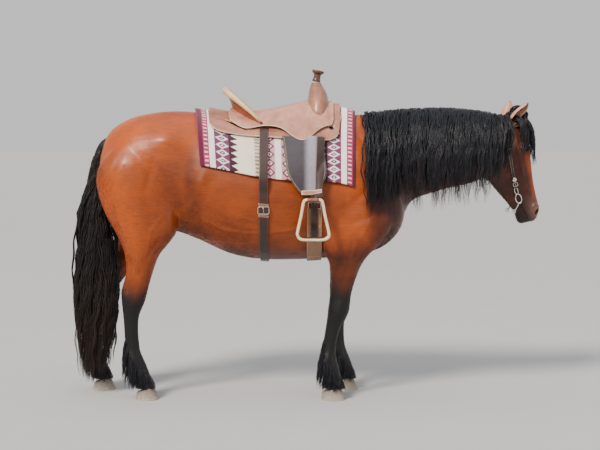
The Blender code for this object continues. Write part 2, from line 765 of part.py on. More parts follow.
def fallen(tree, start, heading, length, lifts, pull, wave, phase, waves, count):
    """A path that leaves a root, bends down under its weight and stays above a surface.

    lifts are the least distances at the root, at a fifth of the way and at the tip."""
    place, way = start.copy(), heading.normalized()
    points, normals = [start.copy()], [way.orthogonal()]
    step = length / count
    hit, normal, index, distance = tree.find_nearest(start)
    for i in range(1, count + 1):
        t = i / count
        way = (way + Vector((0, 0, -1)) * pull * (0.5 + t)).normalized()
        side = way.cross(normal)
        if side.length > 1e-6:
            side.normalize()
        place = place + way * step + side * (wave * math.cos(phase + waves * 2 * math.pi * t) * step / 0.05)
        hit, found, index, distance = tree.find_nearest(place)
        lift = float(np.interp(t, [0, 0.2, 1], lifts))
        out = place - hit
        if out.dot(found) < 0 or out.length < lift:
            away = found
            place = hit + away * lift
            way = (way - away * min(0.0, way.dot(away))).normalized()
            normal = (normal * 0.4 + found * 0.6).normalized()
        elif out.length < 0.08:
            normal = (normal * 0.8 + found * 0.2).normalized()
        points.append(place.copy())
        normals.append(normal.copy())
    normals[0] = normals[1]
    return points, normals


def picked(items, shares):
    last = len(items) - 1
    return [items[round(share * last)] for share in shares]


# Tack

girths = {}


def girthAt(tree, x):
    """The outline of the trunk across x, from the top of the back down the right side to the belly."""
    key = (id(tree), round(x, 4))
    if key not in girths:
        count = 90
        points = []
        for i in range(count + 1):
            a = math.pi * i / count
            outward = Vector((0, -math.sin(a), math.cos(a)))
            centre = Vector((x, 0, 1.17))
            hit, normal, index, distance = tree.ray_cast(centre + outward * 0.9, -outward)
            points.append(hit)
        arcs = [0.0]
        for a, b in zip(points, points[1:]):
            arcs.append(arcs[-1] + (b - a).length)
        girths[key] = (arcs, points)
    return girths[key]


def over(tree, x, arc, lift):
    """A place round the trunk: arc is the way from the top of the back, positive on the left side."""
    arcs, points = girthAt(tree, x)
    left = 1 if arc > 0 else -1
    far = min(abs(arc), arcs[-1])

    def at(where):
        where = min(max(where, 0.0), arcs[-1])
        return Vector((x, float(np.interp(where, arcs, [p.y for p in points])),
                       float(np.interp(where, arcs, [p.z for p in points]))))

    place = at(far)
    reach = 0.03
    along = at(far + reach) - at(far - reach)
    if far < reach:
        along = at(far + reach) - at(0.0)
        along.z *= far / reach
    along.normalize()
    normal = Vector((0, -along.z, along.y))
    if normal.dot(place - Vector((x, 0, 1.17))) < 0:
        normal = -normal
    place = place + normal * lift
    return Vector((x, place.y * -left, place.z))


def draped(name, tree, rows, low, thick):
    """A sheet lying round the trunk. rows are lists of (x, arc); low gives the lift of its inner face."""
    grid = [[over(tree, x, arc, low(x, arc)) for x, arc in row] for row in rows]
    middle = rows[len(rows) // 2][len(rows[0]) // 2][0]
    return shell(name, grid, thick, Vector((middle, 0, 1.17)))


def steps(first, last, count):
    return [first + (last - first) * i / (count - 1) for i in range(count)]


blanket = {"back": -0.643, "front": 0.250, "drop": 0.490, "under": 0.009, "thick": 0.010, "tent": 0.008}
skirt = {"back": -0.560, "front": 0.166, "drop": 0.285, "rise": 0.19, "thick": 0.008}
blanketTop = blanket["under"] + blanket["thick"] + layer
skirtTop = blanketTop + skirt["thick"] + layer


def tent(arc):
    """How much more the tack stands off along the spine."""
    return blanket["tent"] * math.exp(-(arc / 0.08) ** 2)


def arcSteps(count):
    """Shares from -1 to 1 that lie closer together over the spine."""
    return [math.copysign(abs(u) ** 1.35, u) for u in steps(-1, 1, count)]


def blanketForm(tree, across, along):
    rows = []
    for i in range(along):
        u = i / (along - 1)
        row = []
        for arc in arcSteps(across):
            x = blanket["back"] + (blanket["front"] - blanket["back"]) * u
            x += 0.05 * abs(arc) * (1 - u) - 0.012 * abs(arc) * u
            drop = blanket["drop"] - 0.035 * (1 - u)
            row.append((x, arc * drop))
        rows.append(row)
    return draped("blanket", tree, rows, lambda x, a: blanket["under"] + tent(a), blanket["thick"])


def rounded(u, share, power=2.4):
    """1 in the middle of a run from 0 to 1, falling to a share at both of its ends."""
    return share + (1 - share) * (1 - abs(2 * u - 1) ** power) ** (1 / power)


def skirtForm(tree):
    rows = []
    for i in range(8):
        u = i / 7
        x = skirt["back"] + (skirt["front"] - skirt["back"]) * u
        drop = skirt["drop"] * rounded(u, 0.35, 4.0) * (1 - skirt["rise"] * math.sin(math.pi * u))
        rows.append([(x, a * drop) for a in arcSteps(11)])
    return draped("saddle_skirts", tree, rows, lambda x, a: blanketTop + tent(a), skirt["thick"])


seatLine = [(-0.480, 1.618), (-0.400, 1.608), (-0.330, 1.598), (-0.285, 1.600), (-0.200, 1.612),
            (-0.120, 1.630), (-0.017, 1.655), (0.040, 1.662), (0.090, 1.655), (0.130, 1.630)]


def seatForm(tree):
    first, last = -0.445, 0.128

    def high(x, a):
        middle = between(seatLine, x) - over(tree, x, 0.0, 0.0).z
        share = min(1.0, abs(a) / 0.21)
        edge = skirtTop + tent(a) + 0.006
        return edge + max(0.004, middle - edge) * (1 - share ** 1.6)

    rows = []
    for i in range(10):
        u = i / 9
        x = first + (last - first) * u
        flap = 0.085 * math.exp(-((x + 0.045) / 0.085) ** 2)
        drop = 0.170 + flap + 0.035 * math.exp(-((x + 0.36) / 0.07) ** 2)
        drop *= rounded(u, 0.72, 5.0)
        rows.append([(x, a * drop) for a in arcSteps(9)])
    outer = [[over(tree, x, arc, high(x, arc)) for x, arc in row] for row in rows]
    inner = [[over(tree, x, arc, skirtTop + tent(arc)) for x, arc in row] for row in rows]
    return sheetSolid("saddle_seat", outer, inner)


cantle = {"x": -0.350, "z": 1.580, "half": 0.182, "tall": 0.160, "thick": 0.024, "roll": 0.018}


def cantleForm():
    """The raised back of the seat: a dished plate that leans back, tallest in its middle."""
    lean = Vector((-0.66, 0, 0.75)).normalized()
    grid = []
    for v in steps(0, 1, 3):
        row = []
        for u in steps(-1, 1, 9):
            tall = cantle["tall"] * math.sqrt(max(0.0, 1 - abs(u) ** 2.6)) + 0.012
            base = Vector((cantle["x"] + 0.095 * abs(u) ** 2.2, u * (cantle["half"] + 0.012 * v),
                           cantle["z"] - 0.055 * u ** 2))
            row.append(base + lean * tall * v)
        grid.append(row)
    plate = shell("saddle_cantle", grid, cantle["thick"], Vector((0.5, 0, 2.0)))
    rim = [p - lean.cross(sideways) * cantle["thick"] * 0.5 for p in grid[-1]]
    roll = tube("roll", rim, cantle["roll"], 5, 1.0, [lean] * len(rim))
    return combine(plate, [roll], "UNION")


def forkForm():
    rings = []
    # height, middle, half length, half width
    for z, x, halfLong, halfWide in spread([(1.560, 0.040, 0.062, 0.150), (1.600, 0.042, 0.064, 0.142),
                                            (1.650, 0.044, 0.060, 0.118), (1.695, 0.042, 0.050, 0.080),
                                            (1.730, 0.036, 0.036, 0.045), (1.752, 0.034, 0.026, 0.028)], 1):
        rings.append(ring(Vector((x, 0, z)), sideways, forwards, halfWide, halfLong, halfLong, 2.2, 2.2, 12))
    return lofted("saddle_fork", rings)


horn = {"x": 0.034, "z": 1.758, "lean": math.radians(11),
        "profile": [(0.0, 0.0), (0.023, 0.0), (0.020, 0.020), (0.021, 0.038), (0.031, 0.047), (0.0345, 0.053),
                    (0.033, 0.060), (0.020, 0.063), (0.0, 0.0635)]}


def hornForm():
    """The horn, turned from its profile and set leaning ahead."""
    made = meshObject("saddle_horn", [(r, 0, z) for r, z in horn["profile"]], [])
    made.data.edges.add(len(horn["profile"]) - 1)
    for i, edge in enumerate(made.data.edges):
        edge.vertices = (i, i + 1)
    screw = made.modifiers.new("turned", "SCREW")
    screw.steps = 10
    screw.render_steps = 10
    screw.use_merge_vertices = True
    screw.merge_threshold = 0.0001
    made.matrix_world = (Matrix.Translation((horn["x"], 0, horn["z"]))
                         @ Matrix.Rotation(horn["lean"], 4, "Y"))
    return outwards(baked(made))


def fenderForm(tree, left):
    rows = []
    for i in range(6):
        v = i / 5
        arc = 0.268 + 0.288 * v
        middle = -0.040 + 0.035 * v
        half = 0.108 * (1 - 0.70 * max(0.0, (v - 0.45) / 0.55) ** 1.6)
        row = []
        for u in steps(-1, 1, 4):
            row.append((middle + half * u, left * arc))
        rows.append(row)

    def under(x, a):
        v = (abs(a) - 0.268) / 0.288
        return skirtTop + 0.034 * max(0.0, v) ** 1.5

    return draped("fender_right" if left < 0 else "fender_left", tree, rows, under,
                  0.006)


stirrup = {"top": 1.128, "bottom": 0.898, "x": 0.014, "y": 0.378, "topHalf": 0.060, "bottomHalf": 0.094,
           "deep": 0.030, "thick": 0.009}


def stirrupPath():
    """The middle of the stirrup's band, round its opening: x from its own middle, and z."""
    high, low = stirrup["top"] - stirrup["thick"], stirrup["bottom"] + stirrup["thick"]
    t, b = stirrup["topHalf"] - stirrup["thick"], stirrup["bottomHalf"] - stirrup["thick"]
    corners = [(-b, low + 0.030), (-b + 0.010, low + 0.008), (-b + 0.032, low), (0.0, low - 0.001)]
    corners += [(-x, z) for x, z in corners[-2::-1]]
    corners += [(t + 0.012, high - 0.080), (t, high - 0.016), (t - 0.014, high), (0.0, high)]
    corners += [(-x, z) for x, z in corners[-2:-5:-1]]
    return corners


def stirrupForm(left):
    name = "stirrup_right" if left < 0 else "stirrup_left"
    path = stirrupPath()
    count = len(path)
    rings = []
    for i, (x, z) in enumerate(path):
        before, after = path[i - 1], path[(i + 1) % count]
        along = Vector((after[0] - before[0], 0, after[1] - before[1])).normalized()
        out = Vector((along.z, 0, -along.x))
        centre = Vector((stirrup["x"] + x, left * stirrup["y"], z))
        lowShare = 1.0 if z < 0.95 else 0.72
        half, thick = stirrup["deep"] * lowShare, stirrup["thick"]
        rings.append([centre + sideways * a * half + out * b * thick for a, b in
                      ((-1, -0.6), (-0.8, -1), (0.8, -1), (1, -0.6),
                       (1, 0.6), (0.8, 1), (-0.8, 1), (-1, 0.6))])
    vertices = [p for loop in rings for p in loop]
    faces = []
    for r in range(count):
        following = (r + 1) % count
        for i in range(8):
            j = (i + 1) % 8
            faces.append((r * 8 + i, r * 8 + j, following * 8 + j, following * 8 + i))
    return outwards(meshObject(name, vertices, faces))


def bandRound(name, tree, x, half, first, last, lift, thick, count, lean=0.0):
    """A strap round the trunk at x, from one arc to another by way of the belly or the back."""
    rows = []
    whole = girthAt(tree, x)[0][-1]
    for i in range(count):
        s = first + (last - first) * i / (count - 1)
        row = []
        for u in (-1.0, 1.0):
            if s > whole:
                arc = -(2 * whole - s)
            else:
                arc = s
            row.append((x + half * u + lean * math.cos(math.pi * min(abs(arc) / whole, 1.0)), arc))
        rows.append(row)
    return draped(name, tree, rows, lambda px, a: lift(abs(a)), thick)


def cinchForms(tree):
    whole = girthAt(tree, 0.02)[0][-1]

    def liftFront(arc):
        return 0.008 + (skirtTop - 0.008) * max(0.0, min(1.0, (blanket["drop"] + 0.055 - arc) / 0.05))

    front = bandRound("cinch_front", tree, 0.022, 0.040, 0.600, 2 * whole - 0.600, lambda a: 0.006, 0.008, 20)
    wholeRear = girthAt(tree, -0.25)[0][-1]
    rear = bandRound("cinch_rear", tree, -0.252, 0.024, 0.300, 2 * wholeRear - 0.300, liftFront, 0.005, 26)
    return [front, rear]


def latigoForms(tree):
    made = []
    for left in (-1, 1):
        rows = []
        for arc in steps(0.305, 0.592, 8):
            rows.append([(0.022 + 0.021 * u, left * arc) for u in (-1.0, 1.0)])

        def under(x, a):
            return 0.004 + (blanketTop - 0.004) * max(0.0, min(1.0, (0.57 - abs(a)) / 0.05))

        made.append(draped("latigo_right" if left < 0 else "latigo_left", tree, rows, under,
                           0.0025))
    return made


# Bridle, in the head's frame: along, ahead, to the side
bridleStraps = {
    "cheek": [(-0.028, -0.045, 0.000), (-0.020, -0.045, 0.040), (0.020, -0.042, 0.080),
              (0.062, -0.030, 0.095),
              (0.130, -0.036, 0.104), (0.220, -0.050, 0.104), (0.320, -0.056, 0.088), (0.390, -0.058, 0.066),
              (0.424, -0.058, 0.056)],
    "brow": [(0.058, 0.090, 0.000), (0.055, 0.076, 0.050), (0.050, 0.030, 0.090), (0.048, -0.006, 0.096),
             (0.048, -0.036, 0.094)],
    "throat": [(0.040, -0.030, 0.094), (0.100, -0.110, 0.090), (0.150, -0.185, 0.055),
               (0.165, -0.215, 0.000)],
}


def onSkin(tree, place, lift):
    hit, normal, index, distance = tree.find_nearest(place)
    return hit + normal * lift, normal


def strapOnHead(name, tree, table, half, lift, thick, perGap):
    """A strap over both sides of the head: from the left end of the table's way to the right one."""
    way = spread(table, perGap)
    side = [Vector(row) for row in way]
    whole = [(-1, row) for row in side[::-1]] + [(1, row) for row in side[1:]]
    centres, normals = [], []
    for left, row in whole:
        place, normal = onSkin(tree, onHead(row[0], row[1], left * row[2]), lift)
        centres.append(place)
        normals.append(normal)
    outer, inner = [], []
    for i, place in enumerate(centres):
        along = (centres[min(i + 1, len(centres) - 1)] - centres[max(i - 1, 0)]).normalized()
        n = (normals[max(i - 1, 0)] + normals[i] + normals[min(i + 1, len(normals) - 1)]).normalized()
        across = along.cross(n).normalized()
        rowOut, rowIn = [], []
        for u in (-1, 1):
            edge = place + across * half * u
            hit, found, index, distance = tree.find_nearest(edge)
            depth = (edge - hit).dot(found)
            edge = edge + n * max(0.0, lift - depth)
            rowOut.append(edge + n * thick)
            rowIn.append(edge)
        outer.append(rowOut)
        inner.append(rowIn)
    return sheetSolid(name, outer, inner)


bit = {"along": 0.448, "ahead": -0.060, "out": 0.0585, "ring": 0.023, "wire": 0.0035, "inward": 0.0150,
       "shank": [(0.022, -0.006), (0.037, -0.017), (0.051, -0.032), (0.062, -0.046)]}


def bitForm(left):
    """Ring, shank and the end of the mouthpiece at one corner of the mouth."""
    downAxis, aheadAxis, leftAxis = headFrame()
    out = leftAxis * left
    centre = onHead(bit["along"], bit["ahead"], left * bit["out"])
    bpy.ops.mesh.primitive_torus_add(major_segments=10, minor_segments=4, major_radius=bit["ring"],
                                     minor_radius=bit["wire"])
    made = bpy.context.object
    made.name = "bit_right" if left < 0 else "bit_left"
    turn = Matrix((downAxis, aheadAxis, downAxis.cross(aheadAxis))).transposed().to_4x4()
    made.matrix_world = Matrix.Translation(centre) @ turn @ Matrix.Diagonal((1.15, 0.75, 1.0, 1.0))
    baked(made)
    way = [centre + downAxis * d + aheadAxis * a for d, a in bit["shank"]]
    shank = tube("shank", way, 0.0045, 5, 1.0, [out] * len(way))
    corner = centre + downAxis * bit["ring"] * 1.1
    bar = tube("bar", [corner - out * bit["inward"], corner + out * 0.004], 0.005, 5, 1.0, [downAxis] * 2)
    return combine(made, [bar, shank], "UNION")


# Colours of the nodes, as sRGB shares
nodeColours = {
    "coat": (0.52, 0.22, 0.08),
    "points": (0.05, 0.05, 0.06),
    "hoof": (0.16, 0.15, 0.14),
    "eye": (0.03, 0.02, 0.02),
    "blanket": (0.75, 0.68, 0.62),
    "leather": (0.62, 0.40, 0.32),
    "dark leather": (0.20, 0.16, 0.16),
    "wood": (0.82, 0.72, 0.55),
    "cinch": (0.70, 0.52, 0.36),
    "steel": (0.75, 0.74, 0.72),
}


# Which finish a node has, by the start of its name
finishes = {"hoof": "hoof", "eye": "eye", "blanket": "blanket", "saddle": "leather", "fender": "dark leather",
            "latigo": "dark leather", "cinch_rear": "dark leather", "bridle": "dark leather",
            "stirrup": "wood",
            "cinch_front": "cinch", "bit": "steel", "tail": "points", "leg": "points", "fetlock": "points"}
roughOf = {"hoof": 0.5, "eye": 0.1, "blanket": 0.9, "leather": 0.45, "dark leather": 0.4, "wood": 0.5,
           "cinch": 0.8,
           "steel": 0.3, "points": 0.6, "coat": 0.6}


def finishOf(name):
    for start, kind in finishes.items():
        if name.startswith(start):
            return kind
    return "coat"


def coloured(made, kind):
    material = bpy.data.materials.new(made.name)
    material.use_nodes = True
    shader = material.node_tree.nodes["Principled BSDF"]
    linear = [c / 12.92 if c <= 0.04045 else ((c + 0.055) / 1.055) ** 2.4 for c in nodeColours[kind]]
    shader.inputs["Base Color"].default_value = (*linear, 1)
    shader.inputs["Roughness"].default_value = roughOf[kind]
    shader.inputs["Metallic"].default_value = float(kind == "steel")
    made.data.materials.clear()
    made.data.materials.append(material)


def cutOff(made, cutters):
    for cutter in cutters:
        boolean = made.modifiers.new("cut", "BOOLEAN")
        boolean.operation = "DIFFERENCE"
        boolean.solver = "MANIFOLD"
        boolean.object = cutter
        baked(made)
        drop(cutter)
    return largestShell(made)


def portion(form, name, triangles, cutters):
    """One node's share of the body: cut out, thinned, and trimmed again at the same cuts."""
    made = cutOff(copied(form, name), cutters())
    thinned(made, triangles)
    return cutOff(made, cutters())


def foreBlock(low, high):
    return block("fore", (-0.20, -0.60, low), (0.70, 0.60, high))


def hindBlock(low, high):
    return block("hind", (-1.70, -0.60, low), (-0.700, 0.60, high))


def torsoCutters():
    return [halfSpace("base", neckBase[0], neckBase[1], -gap / 2), foreBlock(-0.5, foreCutHeight + gap / 2),
            hindBlock(-0.5, hindCutHeight + gap / 2)]


def neckCutters():
    return [halfSpace("base", neckBase[0], -neckBase[1], -gap / 2),
            halfSpace("end", neckEnd[0], neckEnd[1], -gap / 2)]


def headCutters():
    return [halfSpace("end", neckEnd[0], -neckEnd[1], -gap / 2)]


def legCutters(name, lower):
    """Cuts round one leg: above its feather, or from there to the hoof."""
    top = foreCutHeight if "fore" in name else hindCutHeight
    place, normal = hairLine(name)
    nearSide = "right" in name
    low, high = (cannonCutHeight + gap / 2, top - gap / 2) if not lower else (-1, cannonCutHeight - gap / 2)
    def cutters():
        found = [block("above", (-3, -2, high), (3, 2, 3)),
                 block("side", (-2, 0 if nearSide else -2, -1), (2, 2 if nearSide else 0, 3)),
                 block("other", (legSplit, -2, -1), (2, 2, 3)) if "hind" in name
                 else block("other", (-3, -2, -1), (legSplit, 2, 3))]
        if lower:
            return found + [halfSpace("hoof", place, -normal, -gap)]
        return found + [block("below", (-3, -2, -1), (3, 2, low))]

    return cutters


# Mane, forelock, tail and feather: how many locks, and their sizes
mane = {
    "count": 19,
    "first": 0.975,
    "last": 0.326,
    "sink": 0.012,
    "widths": [0.034, 0.082, 0.096, 0.074, 0.005],
    "thicks": [0.008, 0.013, 0.014, 0.011, 0.002],
    "shares": [0.0, 0.13, 0.40, 0.74, 1.0],
    "lifts": (0.007, 0.019),
}
maneLengths = [(0.985, 0.54), (0.85, 0.57), (0.70, 0.59), (0.55, 0.62), (0.42, 0.64), (0.30, 0.62)]
strands = {"count": 2, "first": 0.42, "last": 0.34, "lengths": [0.74, 0.70]}
forelock = {
    "count": 5,
    "widths": [0.018, 0.030, 0.044, 0.034, 0.004],
    "thicks": [0.006, 0.008, 0.008, 0.006, 0.002],
    "shares": [0.0, 0.18, 0.36, 0.66, 1.0],
    "lengths": [0.22, 0.26, 0.28, 0.25, 0.22],
}
tail = {
    "count": 18,
    "dock": [(-1.095, 1.430), (-1.142, 1.412), (-1.176, 1.362), (-1.196, 1.300), (-1.210, 1.220),
             (-1.218, 1.140)],
    "dockRadii": [0.034, 0.038, 0.037, 0.033, 0.027, 0.018],
    "widths": [0.036, 0.074, 0.092, 0.090, 0.060, 0.005],
    "thicks": [0.010, 0.018, 0.022, 0.022, 0.015, 0.002],
    "shares": [0.0, 0.10, 0.30, 0.56, 0.82, 1.0],
    "bottoms": (0.060, 0.170),
    "middles": [(0.06, -1.215), (0.30, -1.208), (0.55, -1.196), (0.75, -1.194), (0.95, -1.206),
                (1.15, -1.232),
                (1.30, -1.218), (1.45, -1.180)],
    "halfLongs": [(0.06, 0.070), (0.30, 0.105), (0.55, 0.135), (0.75, 0.128), (0.95, 0.095), (1.15, 0.055),
                  (1.30, 0.034), (1.45, 0.020)],
    "halfWides": [(0.06, 0.040), (0.30, 0.066), (0.55, 0.078), (0.95, 0.072), (1.15, 0.055), (1.30, 0.036),
                  (1.45, 0.020)],
}
feather = {
    "widths": [0.036, 0.068, 0.060, 0.005],
    "thicks": [0.005, 0.009, 0.007, 0.002],
    "shares": [0.0, 0.30, 0.68, 1.0],
}
# Rows of feather: height of the roots, how many, bearing from straight back that they reach, length,
# least distances beyond the root and at the tip
featherRows = [(0.262, 3, 0.95, 0.215, 0.006, 0.014), (0.190, 3, 1.60, 0.158, 0.006, 0.010),
               (0.122, 5, 2.80, 0.108, 0.003, 0.003)]


def crestAt(x):
    """The top of the neck over x, and its shift to the left."""
    rows = spread(neckStations, 4)
    xs, tops, shifts = [[row[i] for row in rows] for i in (0, 1, 5)]
    return float(np.interp(x, xs, tops)), float(np.interp(x, xs, shifts))


def tablePath(tree, start, heading, length, lifts, pull, wave, phase, waves, style, chance):
    points, normals = fallen(tree, start, heading, length, lifts, pull, wave, phase, waves, 40)
    scale = chance.uniform(0.85, 1.15)
    return (picked(points, style["shares"]), picked(normals, style["shares"]),
            [w * scale for w in style["widths"]], style["thicks"])


def maneLocks(tree, count):
    chance = random.Random(hairSeed)
    locks = []
    for i in range(count):
        x = mane["first"] + (mane["last"] - mane["first"]) * i / (count - 1)
        z, shift = crestAt(x)
        side = chance.uniform(-0.008, 0.012)
        start = Vector((x, shift + side, z - mane["sink"]))
        heading = Vector((chance.uniform(-0.07, 0.07), -0.92, 0.38))
        length = between(maneLengths[::-1], x)
        length *= chance.uniform(0.86, 1.10)
        lift = mane["lifts"][i % 2]
        path = tablePath(tree, start, heading, length, (-0.012, lift, lift + 0.004), 0.15,
                         chance.uniform(0.002, 0.006), chance.uniform(0, 6.28), 1.2, mane, chance)
        locks.append(flatLock("lock", *path))
    for i in range(strands["count"]):
        x = strands["first"] + (strands["last"] - strands["first"]) * i / (strands["count"] - 1)
        z, shift = crestAt(x)
        start = Vector((x, shift, z - mane["sink"]))
        path = tablePath(tree, start, Vector((0, -0.9, 0.4)), strands["lengths"][i],
                         (-0.012, 0.024, 0.022), 0.16, 0.004, chance.uniform(0, 6.28), 2.5, mane, chance)
        path = (path[0], path[1], [w * 0.45 for w in path[2]], path[3])
        locks.append(flatLock("strand", *path))
    return locks


def forelockLocks(tree):
    chance = random.Random(hairSeed + 1)
    downAxis, aheadAxis, leftAxis = headFrame()
    locks = []
    for i in range(forelock["count"]):
        share = 2 * i / (forelock["count"] - 1) - 1
        start = onHead(0.004, 0.028, share * 0.013)
        heading = (aheadAxis * 0.8 - downAxis * 0.45 + leftAxis * share * 0.30).normalized()
        path = tablePath(tree, start, heading, forelock["lengths"][i] * chance.uniform(0.95, 1.05),
                         (-0.014, 0.016 + 0.005 * (i % 2), 0.007), 0.42, 0.001, chance.uniform(0, 6.28), 1.5,
                         forelock, chance)
        locks.append(flatLock("forelock", *path))
    return locks


def dockForm():
    points = [Vector((x, 0, z)) for x, z in tail["dock"]]
    return tube("tail", points, tail["dockRadii"], 10, 1.0, [sideways] * len(points))


def tailLocks(count):
    """Locks from the sides and the back of the dock, which hang down round a common middle."""
    chance = random.Random(hairSeed + 2)
    dock = spread(tail["dock"], 6)
    locks = []
    for i in range(count):
        down = 0.20 + 0.78 * ((i * 7) % count) / count
        x, z = dock[round(down * (len(dock) - 1))]
        bearing = 2 * math.pi * ((i * 0.381966) % 1.0)
        outward = Vector((-math.cos(bearing), math.sin(bearing), 0))
        bottom = chance.uniform(*tail["bottoms"])
        phase = chance.uniform(0, 6.28)
        reach = chance.uniform(0.75, 1.0)
        points = []
        for share in tail["shares"]:
            height = z + 0.018 * math.sin(min(1.0, share * 6) * math.pi) - (z - bottom) * share
            middle = between(tail["middles"], height)
            halfLong = between(tail["halfLongs"], height) * reach
            halfWide = between(tail["halfWides"], height) * reach
            settled = min(1.0, share * 3.2)
            px = x * (1 - settled) + (middle - math.cos(bearing) * halfLong) * settled
            py = math.sin(bearing) * halfWide * settled
            px += 0.012 * math.sin(phase + 9 * share) * settled
            py += 0.005 * math.cos(phase + 8 * share) * settled
            points.append(Vector((px, py, height)))
        points[0] = Vector((x, 0, z)) + Vector((outward.x * 0.5 - 0.2, outward.y, 0)) * 0.008
        scale = chance.uniform(0.85, 1.15)
        locks.append(flatLock("tail lock", points, [outward] * len(points),
                              [w * scale for w in tail["widths"]], tail["thicks"]))
    return locks


def featherLocks(tree, name):
    chance = random.Random(hairSeed + 3 + legNames.index(name))
    place, size = hoofPlace(name)
    locks = []
    for height, count, spreadTo, length, near, far in featherRows:
        for i in range(count):
            bearing = spreadTo * (2 * (i + 0.5) / count - 1) + chance.uniform(-0.08, 0.08)
            outward = Vector((-math.cos(bearing), math.sin(bearing), 0))
            shifts = leftForeAhead if "fore" in name else leftHindAhead
            ahead = between(shifts, height) if "left" in name else 0.0
            table = foreStations if "fore" in name else hindStations
            back = float(np.interp(-height, [-r[0] for r in table], [r[1] for r in table]))
            front = float(np.interp(-height, [-r[0] for r in table], [r[2] for r in table]))
            centre = Vector(((back + front) / 2 + ahead, place.y, height))
            hit, normal, index, distance = tree.ray_cast(centre + outward * 0.3, -outward)
            start = hit - outward * 0.008
            heading = outward * 0.45 + Vector((0, 0, -0.9))
            full = length * chance.uniform(0.88, 1.08)
            points, normals = fallen(tree, start, heading, full, (-0.008, near, far), 0.16, 0.001,
                                     chance.uniform(0, 6.28), 1.0, 24)
            points = [Vector((p.x, p.y, max(p.z, 0.010))) for p in points]
            scale = chance.uniform(0.9, 1.15)
            locks.append(flatLock("feather", picked(points, feather["shares"]),
                                  picked(normals, feather["shares"]),
                                  [w * scale for w in feather["widths"]], feather["thicks"]))
    return locks


def centred():
    """Moves the whole so that the origin is under its middle, on the floor."""
    places = [v.co for made in bpy.context.scene.objects for v in made.data.vertices]
    middle = Vector([(min(p[i] for p in places) + max(p[i] for p in places)) / 2 for i in (0, 1)] + [0.0])
    print("moved by", [-round(c, 5) for c in middle])
    for made in bpy.context.scene.objects:
        made.data.transform(Matrix.Translation(-middle))
        made.data.update()


def clearScene():
    for old in list(bpy.data.objects):
        bpy.data.objects.remove(old)


# Most triangles of the body's nodes, and the grids of the small solids: segments and rings, or rows
# and columns
bodyTriangles = {"torso": 1120, "neck": 330, "head": 830, "leg": 214, "fetlock": 120}
grids = {"hoof": 12, "lid": 10, "eye": (9, 6), "ear": (5, 6), "blanket": (15, 8)}
# Straps of the bridle: half width, lift off the skin, thickness, places per gap of their tables
strapSizes = {"cheek": (0.009, 0.0025, 0.0040, 2), "brow": (0.008, 0.0025, 0.0050, 2),
              "throat": (0.007, 0.0020, 0.0040, 2)}


def makeBody(form):
    """The flesh nodes by name, without hair."""
    body = {"torso": portion(form, "torso", bodyTriangles["torso"], torsoCutters),
            "neck": portion(form, "neck", bodyTriangles["neck"], neckCutters),
            "head": portion(form, "head", bodyTriangles["head"], headCutters)}
    for name in legNames:
        body["leg_" + name] = portion(form, "leg_" + name, bodyTriangles["leg"], legCutters(name, False))
        body["fetlock_" + name] = portion(form, "fetlock_" + name, bodyTriangles["fetlock"],
                                          legCutters(name, True))
        body["hoof_" + name] = hoofForm(name, grids["hoof"])
        body["hoof_" + name].name = "hoof_" + name
    headDetails(body["head"], grids["lid"])
    for side, left in sides:
        body["eye_" + side] = ball("eye_" + side, eyeCentre(left), eye["radius"], *grids["eye"])
    clearOf(body["head"], [body["eye_right"], body["eye_left"]], gap)
    for side, left in sides:
        made = earForm("ear_" + side, left, *grids["ear"])
        body["ear_" + side] = combine(made, [grown(body["head"], gap)], "DIFFERENCE")
    return body


def makeTack(body, bodyTree, headTree):
    """The pieces of the saddle and the bridle by name."""
    tack = {"blanket": blanketForm(bodyTree, *grids["blanket"]), "saddle_skirts": skirtForm(bodyTree),
            "saddle_seat": combine(seatForm(bodyTree), [cantleForm()], "UNION"), "saddle_fork": forkForm(),
            "saddle_horn": hornForm()}
    clearOf(tack["saddle_skirts"], [tack["blanket"]], gap * 3)
    clearOf(tack["saddle_seat"], [tack["saddle_skirts"]], gap * 1.5)
    clearOf(tack["saddle_fork"], [tack["saddle_seat"]], gap * 1.5)
    for side, left in sides:
        tack["fender_" + side] = fenderForm(bodyTree, left)
        tack["stirrup_" + side] = stirrupForm(left)
        tack["bit_" + side] = bitForm(left)
    for made in cinchForms(bodyTree) + latigoForms(bodyTree):
        tack[made.name] = made
    straps = [strapOnHead("bridle", headTree, bridleStraps[name], *strapSizes[name]) for name in strapSizes]
    tack["bridle"] = combine(straps[0], straps[1:], "UNION")
    near = [body["head"], body["neck"], body["ear_right"], body["ear_left"], tack["bit_right"], tack["bit_left"]]
    clearOf(tack["bridle"], near, gap * 1.5)
    return tack


def addHair(body, tack, bodyTree, headTree):
    """Fuses the locks to the nodes that carry them, and clears these nodes of their neighbours."""
    combine(body["neck"], maneLocks(bodyTree, mane["count"]), "UNION")
    combine(body["head"], forelockLocks(headTree), "UNION")
    clearOf(body["neck"], [body["head"], body["torso"], tack["blanket"]], gap * 2)
    for side, left in sides:
        clearOf(body["ear_" + side], [body["head"]], gap * 3)
    body["tail"] = combine(dockForm(), tailLocks(tail["count"]), "UNION")
    clearOf(body["tail"], [body["torso"], body["leg_hind_right"], body["leg_hind_left"]], gap * 2.7)
    for name in legNames:
        leg, fetlock, foot = [body[kind + name] for kind in ("leg_", "fetlock_", "hoof_")]
        combine(fetlock, featherLocks(treeOf(leg, fetlock, foot), name), "UNION")
        clearOf(fetlock, [leg, foot], gap * 1.5)


